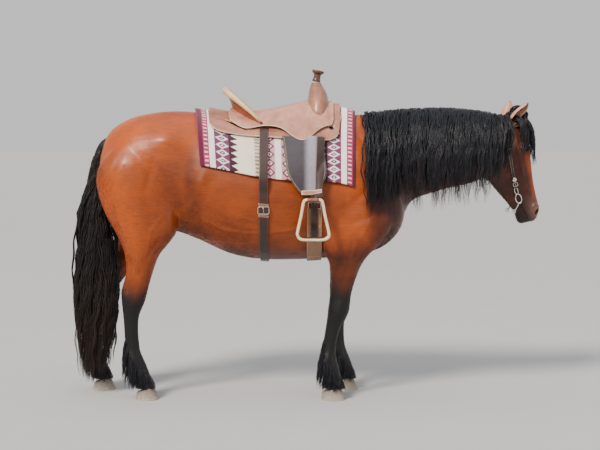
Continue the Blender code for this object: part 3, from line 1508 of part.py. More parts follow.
def main():
    clearScene()
    form = swollenHead(swollen(bodyForm(bodyVoxel, bodySmoothing), fleshSwells))
    body = makeBody(form)
    drop(form)
    bodyTree = treeOf(*[made for name, made in body.items() if not name.startswith(("hoof", "eye", "ear"))])
    headTree = treeOf(body["head"], body["neck"])
    tack = makeTack(body, bodyTree, headTree)
    addHair(body, tack, bodyTree, headTree)
    for name, made in {**body, **tack}.items():
        coloured(made, finishOf(name))
    centred()
    counts = {made.name: sum(len(f.vertices) - 2 for f in made.data.polygons)
              for made in bpy.context.scene.objects}
    for name, count in counts.items():
        print(name, count)
    print("total", sum(counts.values()))


main()
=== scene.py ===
# The dressed look of a saddled bay horse of Friesian type, standing still: one skin, long hair, eyes, hooves, tack.
import random
from functools import partial
from math import copysign, cos, exp, pi, radians, sin, sqrt

import bmesh
import bpy
import numpy as np
from mathutils import Matrix, Vector
from mathutils.bvhtree import BVHTree


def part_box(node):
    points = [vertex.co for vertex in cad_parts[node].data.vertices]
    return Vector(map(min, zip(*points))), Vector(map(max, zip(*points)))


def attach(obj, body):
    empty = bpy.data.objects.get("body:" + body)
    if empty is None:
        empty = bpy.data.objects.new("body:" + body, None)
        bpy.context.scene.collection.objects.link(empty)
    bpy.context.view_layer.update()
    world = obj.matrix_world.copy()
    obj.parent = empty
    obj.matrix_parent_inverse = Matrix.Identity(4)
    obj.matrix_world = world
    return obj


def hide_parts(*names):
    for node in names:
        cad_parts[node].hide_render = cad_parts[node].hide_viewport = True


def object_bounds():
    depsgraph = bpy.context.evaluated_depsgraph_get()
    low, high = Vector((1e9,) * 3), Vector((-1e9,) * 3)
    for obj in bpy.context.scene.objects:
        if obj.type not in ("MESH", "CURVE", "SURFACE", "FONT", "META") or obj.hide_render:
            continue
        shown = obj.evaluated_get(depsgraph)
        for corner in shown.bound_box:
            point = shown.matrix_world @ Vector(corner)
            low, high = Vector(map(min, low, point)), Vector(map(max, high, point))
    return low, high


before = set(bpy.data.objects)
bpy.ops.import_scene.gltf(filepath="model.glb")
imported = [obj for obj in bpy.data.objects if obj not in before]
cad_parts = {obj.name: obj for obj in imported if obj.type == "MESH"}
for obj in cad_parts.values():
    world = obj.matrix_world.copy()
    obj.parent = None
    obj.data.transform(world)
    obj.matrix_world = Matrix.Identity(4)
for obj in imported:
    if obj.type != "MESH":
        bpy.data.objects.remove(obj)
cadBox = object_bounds()

# The body's sizes below are in the horse's own measure, as in the part's source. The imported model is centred, so
# every finished piece moves ahead by this much; the middle of a stirrup is at 0.014 in the horse's own measure.
stirrupLow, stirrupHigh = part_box("stirrup_right")
ahead = (stirrupLow.x + stirrupHigh.x) / 2 - 0.014
print("moved ahead by", round(ahead, 5))

view = {"place": (-0.056, -8.0, 1.55), "pitch": 4.242, "lens": 85.824}
camera = bpy.data.objects.new("camera", bpy.data.cameras.new("camera"))
bpy.context.scene.collection.objects.link(camera)
camera.data.sensor_width = 36
camera.data.lens = view["lens"]
camera.location = Vector(view["place"]) + Vector((ahead, 0, 0))
camera.rotation_euler = (radians(90 - view["pitch"]), 0, 0)
bpy.context.scene.camera = camera

gap = 0.0003
hairSeed = 7

# Materials

def linear(hexCode):
    shares = [int(hexCode[i:i + 2], 16) / 255 for i in (1, 3, 5)]
    return (*[c / 12.92 if c <= 0.04045 else ((c + 0.055) / 1.055) ** 2.4 for c in shares], 1.0)


def feed(node, inputs):
    # a node given as a value stands for its first output in use, and a text for a colour
    for key, value in inputs.items():
        if isinstance(value, bpy.types.Node):
            value = next(socket for socket in value.outputs if socket.enabled)
        if isinstance(value, bpy.types.NodeSocket):
            node.id_data.links.new(value, node.inputs[key])
        else:
            node.inputs[key].default_value = linear(value) if isinstance(value, str) else value
    return node


def addNode(tree, kind, inputs=None, **settings):
    node = tree.nodes.new(kind if "Node" in kind else "ShaderNode" + kind)
    for key, value in settings.items():
        setattr(node, key, value)
    return feed(node, inputs or {})


def newMaterial(name, inputs):
    material = bpy.data.materials.new(name)
    material.use_nodes = True
    add = partial(addNode, material.node_tree)
    shader = feed(material.node_tree.nodes["Principled BSDF"], inputs)
    return material, add, shader, add("TexCoord").outputs["Object"]


withersHeight = 1.6
# Height of the leg's midline from the horse's own midline, front and hind
foreTrack = 0.16
hindTrack = 0.152

# Barrel and croup, from the buttocks to the breast:
# x, top, bottom, height of the widest place, half width, squareness above and below
trunkStations = [
    (-1.165, 1.36, 1.2, 1.28, 0.085, 2.0, 2.0),
    (-1.12, 1.475, 1.04, 1.27, 0.175, 2.0, 2.0),
    (-1.02, 1.548, 0.96, 1.27, 0.245, 2.1, 2.0),
    (-0.9, 1.583, 0.93, 1.28, 0.285, 2.2, 2.0),
    (-0.76, 1.597, 0.925, 1.27, 0.302, 2.2, 2.0),
    (-0.62, 1.588, 0.875, 1.22, 0.318, 2.1, 2.0),
    (-0.45, 1.556, 0.8, 1.16, 0.338, 2.0, 2.1),
    (-0.28, 1.53, 0.766, 1.13, 0.342, 1.9, 2.15),
    (-0.1, 1.538, 0.762, 1.12, 0.332, 1.75, 2.1),
    (0.04, 1.578, 0.768, 1.11, 0.305, 1.55, 2.1),
    (0.14, withersHeight, 0.778, 1.1, 0.28, 1.45, 2.1),
    (0.25, 1.575, 0.79, 1.09, 0.262, 1.6, 2.1),
    (0.36, 1.5, 0.815, 1.08, 0.25, 1.8, 2.2),
    (0.44, 1.4, 0.86, 1.07, 0.225, 2.0, 2.2),
    (0.495, 1.27, 0.93, 1.06, 0.17, 2.0, 2.2),
    (0.518, 1.15, 1.0, 1.06, 0.09, 2.0, 2.0),
]

# Neck, from inside the shoulders to inside the head:
# crest x and z, throat x and z, half width, shift to the left
neckStations = [
    (0.1, 1.585, 0.36, 0.84, 0.235, 0.0),
    (0.22, 1.575, 0.49, 0.97, 0.21, 0.0),
    (0.37, 1.58, 0.565, 1.085, 0.172, 0.002),
    (0.53, 1.59, 0.66, 1.128, 0.144, 0.006),
    (0.69, 1.596, 0.765, 1.16, 0.127, 0.012),
    (0.84, 1.592, 0.865, 1.182, 0.116, 0.019),
    (0.96, 1.578, 0.945, 1.205, 0.107, 0.025),
    (1.05, 1.552, 1.0, 1.25, 0.096, 0.029),
    (1.1, 1.51, 1.04, 1.33, 0.08, 0.031),
]

# Head, in its own frame: the poll is 0 and the lips are at headLength.
# distance from the poll, profile ahead of the axis, jaw behind it, half width, squareness of face and of jaw
headPoll = Vector((1.075, 0.031, 1.55))
headPitch = radians(18)  # of the axis ahead of straight down
headYaw = radians(11)  # the nose turned to the left
headStations = [
    (-0.01, 0.03, -0.075, 0.056, 2.0, 2.0),
    (0.02, 0.056, -0.12, 0.076, 2.1, 2.0),
    (0.07, 0.077, -0.165, 0.089, 2.3, 2.2),
    (0.13, 0.088, -0.195, 0.097, 2.6, 2.3),
    (0.19, 0.089, -0.203, 0.1, 2.8, 2.3),
    (0.25, 0.084, -0.198, 0.093, 2.8, 2.3),
    (0.31, 0.075, -0.182, 0.08, 2.6, 2.2),
    (0.37, 0.067, -0.156, 0.067, 2.4, 2.1),
    (0.43, 0.062, -0.128, 0.057, 2.3, 2.0),
    (0.48, 0.06, -0.107, 0.053, 2.2, 2.0),
    (0.52, 0.057, -0.096, 0.055, 2.2, 2.1),
    (0.555, 0.047, -0.09, 0.054, 2.2, 2.2),
    (0.582, 0.028, -0.079, 0.046, 2.2, 2.2),
    (0.6, 0.002, -0.058, 0.03, 2.0, 2.0),
]

# Legs, from inside the body down to the hoof: z, back, front, half width, shift of the midline outwards
foreStations = [
    (1.22, 0.03, 0.35, 0.05, 0.0),
    (1.12, 0.025, 0.43, 0.078, 0.012),
    (1.02, 0.022, 0.462, 0.094, 0.018),
    (0.94, 0.028, 0.438, 0.1, 0.018),
    (0.87, 0.045, 0.385, 0.098, 0.016),
    (0.81, 0.078, 0.326, 0.09, 0.012),
    (0.76, 0.102, 0.29, 0.08, 0.008),
    (0.7, 0.11, 0.264, 0.069, 0.005),
    (0.64, 0.111, 0.243, 0.059, 0.003),
    (0.58, 0.106, 0.228, 0.051, 0.001),
    (0.535, 0.101, 0.223, 0.053, 0.0),
    (0.49, 0.095, 0.216, 0.055, 0.0),
    (0.445, 0.09, 0.198, 0.047, 0.0),
    (0.4, 0.083, 0.171, 0.037, 0.0),
    (0.33, 0.072, 0.151, 0.033, 0.0),
    (0.27, 0.062, 0.143, 0.036, 0.0),
    (0.225, 0.052, 0.148, 0.044, 0.0),
    (0.19, 0.058, 0.158, 0.045, 0.0),
    (0.15, 0.075, 0.167, 0.041, 0.0),
    (0.11, 0.083, 0.18, 0.044, 0.0),
    (0.06, 0.078, 0.196, 0.053, 0.0),
]
hindStations = [
    (1.4, -1.08, -0.82, 0.11, -0.02),
    (1.31, -1.145, -0.77, 0.142, -0.004),
    (1.22, -1.172, -0.738, 0.154, 0.002),
    (1.12, -1.155, -0.715, 0.155, 0.007),
    (1.02, -1.118, -0.712, 0.148, 0.012),
    (0.94, -1.074, -0.732, 0.132, 0.017),
    (0.87, -1.04, -0.776, 0.112, 0.019),
    (0.81, -1.018, -0.824, 0.092, 0.017),
    (0.75, -1.012, -0.849, 0.076, 0.013),
    (0.7, -1.017, -0.866, 0.065, 0.009),
    (0.65, -1.03, -0.882, 0.059, 0.005),
    (0.605, -1.043, -0.893, 0.058, 0.003),
    (0.555, -1.043, -0.907, 0.057, 0.001),
    (0.51, -1.039, -0.926, 0.051, 0.0),
    (0.46, -1.035, -0.943, 0.042, 0.0),
    (0.4, -1.031, -0.948, 0.037, 0.0),
    (0.33, -1.027, -0.945, 0.035, 0.0),
    (0.27, -1.023, -0.938, 0.038, 0.0),
    (0.225, -1.021, -0.92, 0.045, 0.0),
    (0.19, -1.008, -0.905, 0.046, 0.0),
    (0.15, -0.986, -0.89, 0.042, 0.0),
    (0.11, -0.972, -0.873, 0.044, 0.0),
    (0.06, -0.97, -0.852, 0.052, 0.0),
]
# How far the left legs stand from the right ones at each height: z, distance ahead
leftForeAhead = [(0.0, 0.08), (0.15, 0.076), (0.3, 0.055), (0.45, 0.022), (0.6, 0.004), (0.8, 0.0),
                 (2.0, 0.0)]
leftHindAhead = [(0.0, -0.28), (0.2, -0.272), (0.45, -0.245), (0.6, -0.2), (0.8, -0.1), (0.95, -0.035),
                 (1.1, 0.0),
                 (2.0, 0.0)]


def linked(name, data):
    made = bpy.data.objects.new(name, data)
    bpy.context.scene.collection.objects.link(made)
    return made


def meshObject(name, points, faces):
    mesh = bpy.data.meshes.new(name)
    mesh.from_pydata([tuple(p) for p in points], [], faces)
    mesh.update()
    return linked(name, mesh)


def placesOf(made):
    places = np.empty(len(made.data.vertices) * 3)
    made.data.vertices.foreach_get("co", places)
    return places.reshape(-1, 3)


def normalsOf(made):
    normals = np.empty(len(made.data.vertices) * 3)
    made.data.vertex_normals.foreach_get("vector", normals)
    return normals.reshape(-1, 3)


def moveTo(made, places):
    made.data.vertices.foreach_set("co", places.ravel())
    made.data.update()


def note(made, key, values):
    found = made.data.attributes.new(key, "FLOAT", "POINT")
    found.data.foreach_set("value", np.asarray(values, np.float32).ravel())


def spread(table, perGap):
    rows = np.array(table, float)
    ends = np.vstack([2 * rows[0] - rows[1], rows, 2 * rows[-1] - rows[-2]])
    found = []
    for i in range(1, len(ends) - 2):
        p0, p1, p2, p3 = ends[i - 1], ends[i], ends[i + 1], ends[i + 2]
        for step in range(perGap):
            t = step / perGap
            found.append(0.5 * (2 * p1 + (p2 - p0) * t + (2 * p0 - 5 * p1 + 4 * p2 - p3) * t ** 2
                                + (3 * p1 - p0 - 3 * p2 + p3) * t ** 3))
    found.append(rows[-1])
    return found


def steps(first, last, count):
    return [first + (last - first) * i / (count - 1) for i in range(count)]


def turns(count):
    return [2 * pi * i / count for i in range(count)]


def mix(first, last, share):
    return first + (last - first) * share


def bulge(value, power):
    return copysign(abs(value) ** power, value)


def sizeOf(rows):
    return np.linalg.norm(rows, axis=-1)


def unit(rows):
    return rows / (sizeOf(rows)[:, None] + 1e-9)


def ring(centre, side, up, half, above, below, squareAbove, squareBelow, count):
    points = []
    for a in turns(count):
        c, s = cos(a), sin(a)
        power = 2 / (squareAbove if s > 0 else squareBelow)
        along = bulge(s, power) * (above if s > 0 else below)
        points.append(centre + side * (bulge(c, power) * half) + up * along)
    return points


def wrapped(rings, closed=False):
    # places and faces of a skin over rings; where it is closed, the last ring joins the first
    rows, count, faces = len(rings), len(rings[0]), []
    for r in range(rows if closed else rows - 1):
        for i in range(count):
            j, s = (i + 1) % count, (r + 1) % rows
            faces.append((r * count + i, r * count + j, s * count + j, s * count + i))
    return [p for loop in rings for p in loop], faces


def outwards(made):
    bm = bmesh.new()
    bm.from_mesh(made.data)
    bmesh.ops.recalc_face_normals(bm, faces=bm.faces)
    bm.to_mesh(made.data)
    bm.free()
    return made


def lofted(name, rings):
    points, faces = wrapped(rings)
    count = len(rings[0])
    for loop, start, turned in ((rings[0], 0, True), (rings[-1], (len(rings) - 1) * count, False)):
        points.append(sum(loop, Vector()) / count)
        for i in range(count):
            face = (start + (i + 1) % count, start + i, len(points) - 1)
            faces.append(face if turned else face[::-1])
    return outwards(meshObject(name, points, faces))


def baked(made):
    graph = bpy.context.evaluated_depsgraph_get()
    mesh = bpy.data.meshes.new_from_object(made.evaluated_get(graph))
    mesh.transform(made.matrix_world)
    made.modifiers.clear()
    made.matrix_world = Matrix.Identity(4)
    made.data = mesh
    return made


def drop(*objects):
    for old in objects:
        bpy.data.objects.remove(old)


def smoothed(made, factor, times, weights=None):
    smooth = made.modifiers.new("smooth", "SMOOTH")
    smooth.factor = factor
    smooth.iterations = times
    if weights is not None:
        group = made.vertex_groups.new(name="near")
        for i in np.nonzero(weights > 0.01)[0]:
            group.add([int(i)], float(weights[i]), "REPLACE")
        smooth.vertex_group = "near"
    baked(made)
    made.vertex_groups.clear()
    return made


def merged(objects):
    points, faces = [], []
    for piece in objects:
        start = len(points)
        points += [v.co.copy() for v in piece.data.vertices]
        faces += [tuple(start + i for i in f.vertices) for f in piece.data.polygons]
    return points, faces


def fused(name, objects, voxel):
    made = meshObject(name, *merged(objects))
    drop(*objects)
    remesh = made.modifiers.new("fuse", "REMESH")
    remesh.mode = "VOXEL"
    remesh.voxel_size = voxel
    return baked(made)


def treeOf(*objects):
    return BVHTree.FromPolygons(*merged(objects))


# The body's lofts

sideways = Vector((0, 1, 0))
upwards = Vector((0, 0, 1))
forwards = Vector((1, 0, 0))
headTurn = Matrix.Rotation(headYaw, 3, "Z")
downAxis = headTurn @ Vector((sin(headPitch), 0, -cos(headPitch)))
aheadAxis = headTurn @ Vector((cos(headPitch), 0, sin(headPitch)))
leftAxis = headTurn @ sideways


def trunkForm():
    return lofted("trunk", [ring(Vector((x, 0, wide)), sideways, upwards, half, top - wide, wide - bottom,
                                 above, below, 40)
                            for x, top, bottom, wide, half, above, below in spread(trunkStations, 4)])


def neckForm():
    rings = []
    widestShare = 0.42  # of the way from throat to crest
    for crestX, crestZ, throatX, throatZ, half, shift in spread(neckStations, 4):
        throat = Vector((throatX, shift, throatZ))
        up = Vector((crestX, shift, crestZ)) - throat
        deep = up.length
        rings.append(ring(throat + up * widestShare, sideways, up.normalized(), half,
                          deep * (1 - widestShare), deep * widestShare, 1.7, 2.1, 36))
    return lofted("neck", rings)


def onHead(along, ahead, left):
    return headPoll + downAxis * along + aheadAxis * ahead + leftAxis * left


def headOwn(places):
    return np.stack([(places - np.array(headPoll)) @ np.array(axis) for axis in (downAxis, aheadAxis,
                                                                                 leftAxis)], 1)


def headForm():
    rings = []
    for along, face, jaw, half, faceSquare, jawSquare in spread(headStations, 3):
        middle = 0.35 * face  # the head is widest a little behind its profile
        rings.append(ring(headPoll + downAxis * along + aheadAxis * middle, leftAxis, aheadAxis, half,
                          face - middle, middle - jaw, faceSquare, jawSquare, 36))
    return lofted("head", rings)


def between(table, at, column=1):
    return float(np.interp(at, [row[0] for row in table], [row[column] for row in table]))


def legForm(name, stations, track, left, moves):
    rings = []
    for z, back, front, half, out in spread(stations, 3):
        moved = between(moves, z) if left > 0 else 0.0
        centre = Vector(((back + front) / 2 + moved, left * (track + out), z))
        deep = (front - back) / 2
        rings.append(ring(centre, sideways, forwards, half, deep, deep, 2.1, 2.1, 28))
    return lofted(name, rings)


def bodyForm(voxel, smoothing):
    pieces = [trunkForm(), neckForm(), headForm()]
    for left in (-1, 1):
        pieces.append(legForm("fore", foreStations, foreTrack, left, leftForeAhead))
        pieces.append(legForm("hind", hindStations, hindTrack, left, leftHindAhead))
    return smoothed(fused("body", pieces, voxel), 0.5, smoothing)


# Flesh: gentle swellings on the fused skin, the same on both sides.
# x, distance from the midline, z, reach along x, across and up, height
fleshSwells = [
    (-1.02, 0.19, 1.33, 0.12, 0.12, 0.15, 0.01),
    (-0.79, 0.27, 1.44, 0.07, 0.07, 0.055, 0.014),
    (-0.64, 0.27, 1.33, 0.08, 0.1, 0.1, -0.012),
    (-0.77, 0.25, 0.96, 0.07, 0.1, 0.08, 0.012),
    (-1.1, 0.15, 1.2, 0.06, 0.1, 0.12, 0.008),
    (-0.96, 0.2, 0.82, 0.06, 0.06, 0.08, 0.008),
    (-0.3, 0.32, 1.15, 0.25, 0.15, 0.18, 0.006),
    (0.23, 0.235, 1.3, 0.1, 0.1, 0.15, 0.012),
    (0.17, 0.22, 1.45, 0.09, 0.08, 0.09, -0.008),
    (0.1, 0.25, 1.06, 0.07, 0.08, 0.12, 0.016),
    (0.43, 0.17, 1.13, 0.07, 0.08, 0.08, 0.018),
    (0.48, 0.07, 1.01, 0.06, 0.07, 0.08, 0.012),
    (0.07, 0.19, 0.95, 0.04, 0.06, 0.05, 0.012),
    (0.33, 0.2, 0.92, 0.06, 0.06, 0.08, 0.008),
    (0.47, 0.12, 1.35, 0.08, 0.08, 0.06, -0.008),
    (0.7, 0.115, 1.23, 0.18, 0.05, 0.03, -0.008),
    (0.7, 0.11, 1.4, 0.2, 0.06, 0.06, 0.006),
]
# Head: along, ahead, to the side, reach along, ahead and across, height
headSwells = [
    (0.185, 0.048, 0.1, 0.03, 0.026, 0.03, 0.013),
    (0.13, 0.04, 0.095, 0.028, 0.02, 0.03, -0.008),
    (0.235, 0.01, 0.1, 0.07, 0.014, 0.03, 0.007),
    (0.3, 0.0, 0.08, 0.05, 0.012, 0.03, 0.006),
    (0.27, -0.05, 0.1, 0.07, 0.03, 0.04, -0.006),
    (0.17, -0.12, 0.1, 0.06, 0.06, 0.05, 0.008),
    (0.36, 0.03, 0.07, 0.08, 0.022, 0.03, -0.006),
    (0.54, 0.024, 0.052, 0.026, 0.024, 0.026, 0.009),
    (0.592, -0.004, 0.02, 0.02, 0.024, 0.03, 0.005),
    (0.575, -0.068, 0.015, 0.022, 0.018, 0.03, 0.008),
    (0.52, -0.1, 0.0, 0.018, 0.018, 0.04, -0.008),
    (0.19, -0.19, 0.0, 0.12, 0.05, 0.03, -0.012),
]


def swollen(made, swells, own, mirrored):
    # own: the vertices in the swells' frame; mirrored: the coordinate that changes its sign on the other side
    height = np.zeros(len(own))
    for *centre, reachA, reachB, reachC, amount in swells:
        for side in ((-1, 1) if centre[mirrored] else (1,)):
            here = np.array(centre)
            here[mirrored] *= side
            height += amount * np.exp(-(((own - here) / (reachA, reachB, reachC)) ** 2).sum(1))
    moveTo(made, placesOf(made) + normalsOf(made) * height[:, None])


# Hooves: height, back, front, half width, as shares between the sole and the hair line
hoof = {"soleBack": 0.062, "soleFront": 0.198, "soleHalf": 0.066, "lineBack": 0.066, "lineFront": 0.164,
        "lineHalf": 0.051, "backHeight": 0.04, "frontHeight": 0.078, "hindBack": -0.966, "hindScale": 0.95}


def hoofPlace(name):
    left, fore = 1 if "left" in name else -1, "fore" in name
    moved = between(leftForeAhead if fore else leftHindAhead, 0) if left > 0 else 0.0
    if fore:
        return Vector((hoof["soleBack"] + moved, left * foreTrack, 0)), 1.0
    return Vector((hoof["hindBack"] + moved, left * hindTrack, 0)), hoof["hindScale"]


def hoofRing(name, share, inset, count):
    place, size = hoofPlace(name)
    back = (hoof["lineBack"] - hoof["soleBack"]) * share
    front = mix(hoof["soleFront"], hoof["lineFront"], share) - hoof["soleBack"]
    half = mix(hoof["soleHalf"], hoof["lineHalf"], share)
    points = []
    for a in turns(count):
        c, s = cos(a), sin(a)
        x = (back + front) / 2 + ((front - back) / 2 - inset) * bulge(c, 0.9)
        heel = 0.86 + 0.14 * min(1.0, (c + 1.0) / 0.8)
        y = (half - inset) * bulge(s, 0.85) * heel
        tall = hoof["backHeight"] + (hoof["frontHeight"] - hoof["backHeight"]) * (x - back) / (front - back)
        points.append(place + Vector((x, y, max(tall, 0.01) * share)) * size)
    return points


# Eyes, ears, nostrils and the line of the mouth, in the head's frame: along, ahead, to the side
eye = {"along": 0.186, "ahead": 0.04, "out": 0.095, "radius": 0.0215, "openLong": 0.8, "openUp": 0.52,
       "openDown": 0.42}
ear = {"along": 0.018, "ahead": 0.022, "out": 0.058, "nearLength": 0.142, "farLength": 0.123, "width": 0.036,
       "bow": 0.012, "nearTip": (0.68, -0.18, 0.71), "farTip": (0.33, 0.14, 0.93)}
nostril = {"along": 0.556, "ahead": 0.026, "out": 0.046, "sizes": (0.022, 0.019, 0.01)}
mouthLine = [(0.606, -0.014, 0.0), (0.6, -0.022, 0.022), (0.58, -0.034, 0.038), (0.55, -0.044, 0.05),
             (0.512, -0.053, 0.054), (0.47, -0.058, 0.052)]


def ball(name, centre, radius, segments, rings):
    made = linked(name, bpy.data.meshes.new(name))
    bm = bmesh.new()
    bmesh.ops.create_uvsphere(bm, u_segments=segments, v_segments=rings, radius=radius)
    bmesh.ops.translate(bm, verts=bm.verts, vec=centre)
    bm.to_mesh(made.data)
    bm.free()
    return made


def egg(name, centre, axes, sizes, segments, rings):
    made = ball(name, Vector(), 1.0, segments, rings)
    for v in made.data.vertices:
        v.co = centre + sum((axes[i] * (v.co[i] * sizes[i]) for i in range(3)), Vector())
    return outwards(made)


def tube(name, points, radii, sides, flat=1.0, normals=None):
    rings = []
    for i, point in enumerate(points):
        along = (points[min(i + 1, len(points) - 1)] - points[max(i - 1, 0)]).normalized()
        side = along.cross(normals[i] if normals else upwards).normalized()
        radius = radii[i] if isinstance(radii, (list, tuple)) else radii
        rings.append(ring(point, side, side.cross(along).normalized(), radius, radius * flat, radius * flat,
                          2.0, 2.0,
                          sides))
    return lofted(name, rings)


def eyeCentre(left):
    return onHead(eye["along"], eye["ahead"], left * eye["out"])


def eyeAxes(left):
    outAxis = (leftAxis * left + aheadAxis * 0.3).normalized()
    longAxis = downAxis * 0.92 + aheadAxis * 0.15
    longAxis = (longAxis - outAxis * longAxis.dot(outAxis)).normalized()
    tallAxis = outAxis.cross(longAxis).normalized()
    return outAxis, longAxis, -tallAxis if tallAxis.dot(aheadAxis) < 0 else tallAxis


def lidRim(left, count, radius):
    outAxis, longAxis, tallAxis = eyeAxes(left)
    normals = []
    for a in turns(count):
        c, s = cos(a), sin(a)
        across = c * eye["openLong"]
        up = s * (eye["openUp"] if s > 0 else eye["openDown"]) * (1 - 0.3 * c * c)
        normals.append(longAxis * across + tallAxis * up + outAxis * sqrt(1 - across ** 2 - up ** 2))
    return [eyeCentre(left) + normal * radius for normal in normals], normals


def sheetSolid(name, outer, inner):
    rows, columns = len(outer), len(outer[0])
    points = [p for row in outer for p in row] + [p for row in inner for p in row]
    size = rows * columns
    faces = []
    for r in range(rows - 1):
        for c in range(columns - 1):
            a, b = r * columns + c, r * columns + c + 1
            d, e = a + columns, b + columns
            faces.append((a, b, e, d))
            faces.append((size + d, size + e, size + b, size + a))
    edge = [(0, c) for c in range(columns)] + [(r, columns - 1) for r in range(1, rows)]
    edge += [(rows - 1, c) for c in range(columns - 2, -1, -1)] + [(r, 0) for r in range(rows - 2, 0, -1)]
    for (r, c), (s, d) in zip(edge, edge[1:] + edge[:1]):
        i, j = r * columns + c, s * columns + d
        faces.append((j, i, size + i, size + j))
    return outwards(meshObject(name, points, faces))


girths = {}


def girthAt(x):
    # the skin's outline across the trunk, from the top down the right side, and the way along it
    key = round(x, 4)
    if key not in girths:
        points, arcs = [], [0.0]
        for a in steps(0, pi, 91):
            outward = Vector((0, -sin(a), cos(a)))
            points.append(skinTree.ray_cast(Vector((x, 0, 1.17)) + outward * 0.9, -outward)[0])
        for a, b in zip(points, points[1:]):
            arcs.append(arcs[-1] + (b - a).length)
        girths[key] = (arcs, points)
    return girths[key]


def over(x, arc, lift):
    # the place at a way along the skin's outline, lifted off it; the way is negative on the right side
    arcs, points = girthAt(x)
    far, reach = min(abs(arc), arcs[-1]), 0.03

    def at(where):
        where = min(max(where, 0.0), arcs[-1])
        return Vector((x, float(np.interp(where, arcs, [p.y for p in points])),
                       float(np.interp(where, arcs, [p.z for p in points]))))

    place = at(far)
    along = at(far + reach) - at(far - reach)
    if far < reach:
        along = at(far + reach) - at(0.0)
        along.z *= far / reach
    along.normalize()
    normal = Vector((0, -along.z, along.y))
    if normal.dot(place - Vector((x, 0, 1.17))) < 0:
        normal = -normal
    place = place + normal * lift
    return Vector((x, place.y * (-1 if arc > 0 else 1), place.z))


print("skin: lofts")
skinSizes = {"voxel": 0.0075, "smooth": 8, "coatDepth": 0.0022, "bodyShare": 0.355}


def refine(made, inside):
    bm = bmesh.new()
    bm.from_mesh(made.data)
    bm.verts.ensure_lookup_table()
    edges = [e for e in bm.edges if inside[e.verts[0].index] and inside[e.verts[1].index]]
    bmesh.ops.subdivide_edges(bm, edges=edges, cuts=1, use_grid_fill=True)
    bm.to_mesh(made.data)
    bm.free()


def traced(made, flat, outward, lines):
    # pushes the skin out, or in, along lines seen from the side: places, half width, height
    height = np.zeros(len(flat))
    for line, width, amount in lines:
        near, share = np.full(len(flat), 9.0), np.zeros(len(flat))
        for k, (a, b) in enumerate(zip(line, line[1:])):
            way = np.array(b) - np.array(a)
            t = np.clip((flat - a) @ way / (way @ way), 0, 1)
            far = sizeOf(flat - a - t[:, None] * way)
            share = np.where(far < near, (k + t) / (len(line) - 1), share)
            near = np.minimum(far, near)
        height += amount * np.exp(-(near / width) ** 2) * np.clip(5 * np.minimum(share, 1 - share) + 0.15,
                                                                  0, 1)
    moveTo(made, placesOf(made) + normalsOf(made) * (height * outward)[:, None])


def alongLeg(table, share, heights):
    # a line down a leg, at a share of the way from its back to its front
    rows = sorted(table)
    return [(between([(r[0], r[1] + share * (r[2] - r[1])) for r in rows], z), z) for z in heights]


# Furrows between the muscles, and veins: places as x and height
fleshLines = [
    ([(0.17, 1.49), (0.27, 1.34), (0.37, 1.17)], 0.03, 0.004),
    ([(0.25, 1.48), (0.35, 1.34), (0.45, 1.17)], 0.018, -0.004),
    ([(0.12, 1.38), (0.03, 1.24), (0.02, 1.1), (0.07, 1.0)], 0.022, -0.006),
    ([(0.42, 1.09), (0.32, 1.02), (0.2, 0.98)], 0.018, -0.005),
    ([(0.32, 1.18), (0.23, 1.09), (0.13, 1.04)], 0.02, -0.005),
    ([(0.24, 0.93), (0.215, 0.8), (0.175, 0.66)], 0.01, -0.0038),
    ([(0.1, 0.96), (0.115, 0.83), (0.125, 0.68)], 0.01, -0.0038),
    ([(-1.02, 1.37), (-1.11, 1.17), (-1.07, 1.0), (-1.02, 0.9)], 0.016, -0.005),
    ([(-0.84, 1.36), (-0.89, 1.15), (-0.85, 0.99)], 0.022, -0.005),
    ([(-0.7, 1.0), (-0.62, 1.12), (-0.57, 1.27)], 0.022, 0.005),
    ([(-0.6, 0.99), (-0.55, 1.14), (-0.52, 1.27)], 0.03, -0.006),
    ([(-0.82, 0.9), (-0.9, 0.78), (-0.96, 0.66)], 0.012, -0.0038),
    ([(0.99, 1.29), (0.76, 1.19), (0.55, 1.1)], 0.018, -0.006),
    ([(0.36, 1.44), (0.47, 1.28), (0.49, 1.12)], 0.022, -0.004),
    ([(0.02, 0.985), (-0.12, 0.945), (-0.3, 0.93), (-0.45, 0.945), (-0.58, 1.0)], 0.009, 0.0032),
    ([(-0.2, 0.935), (-0.28, 0.99), (-0.4, 1.03)], 0.008, 0.0024),
    ([(0.36, 1.05), (0.3, 0.95), (0.25, 0.86), (0.21, 0.76)], 0.008, 0.0026),
    ([(-0.78, 1.06), (-0.86, 0.94), (-0.89, 0.8), (-0.95, 0.68)], 0.008, 0.0026),
    (alongLeg(foreStations, 0.36, (0.45, 0.38, 0.3, 0.24)), 0.008, -0.004),
    (alongLeg(hindStations, 0.34, (0.48, 0.4, 0.32, 0.25)), 0.008, -0.004),
    (alongLeg(hindStations, 0.24, (0.8, 0.72, 0.64, 0.58)), 0.014, -0.009),
    (alongLeg(foreStations, 0.55, (0.56, 0.52, 0.47)), 0.012, 0.004),
    (alongLeg(hindStations, 0.62, (0.62, 0.57, 0.52)), 0.014, 0.005)]
# across the midline, in the way of the flesh's swellings: the furrows of the breast and of the croup
middleSwells = [(0.56, 0.0, 1.06, 0.1, 0.018, 0.1, -0.009), (-0.88, 0.0, 1.52, 0.2, 0.028, 0.1, -0.006)]

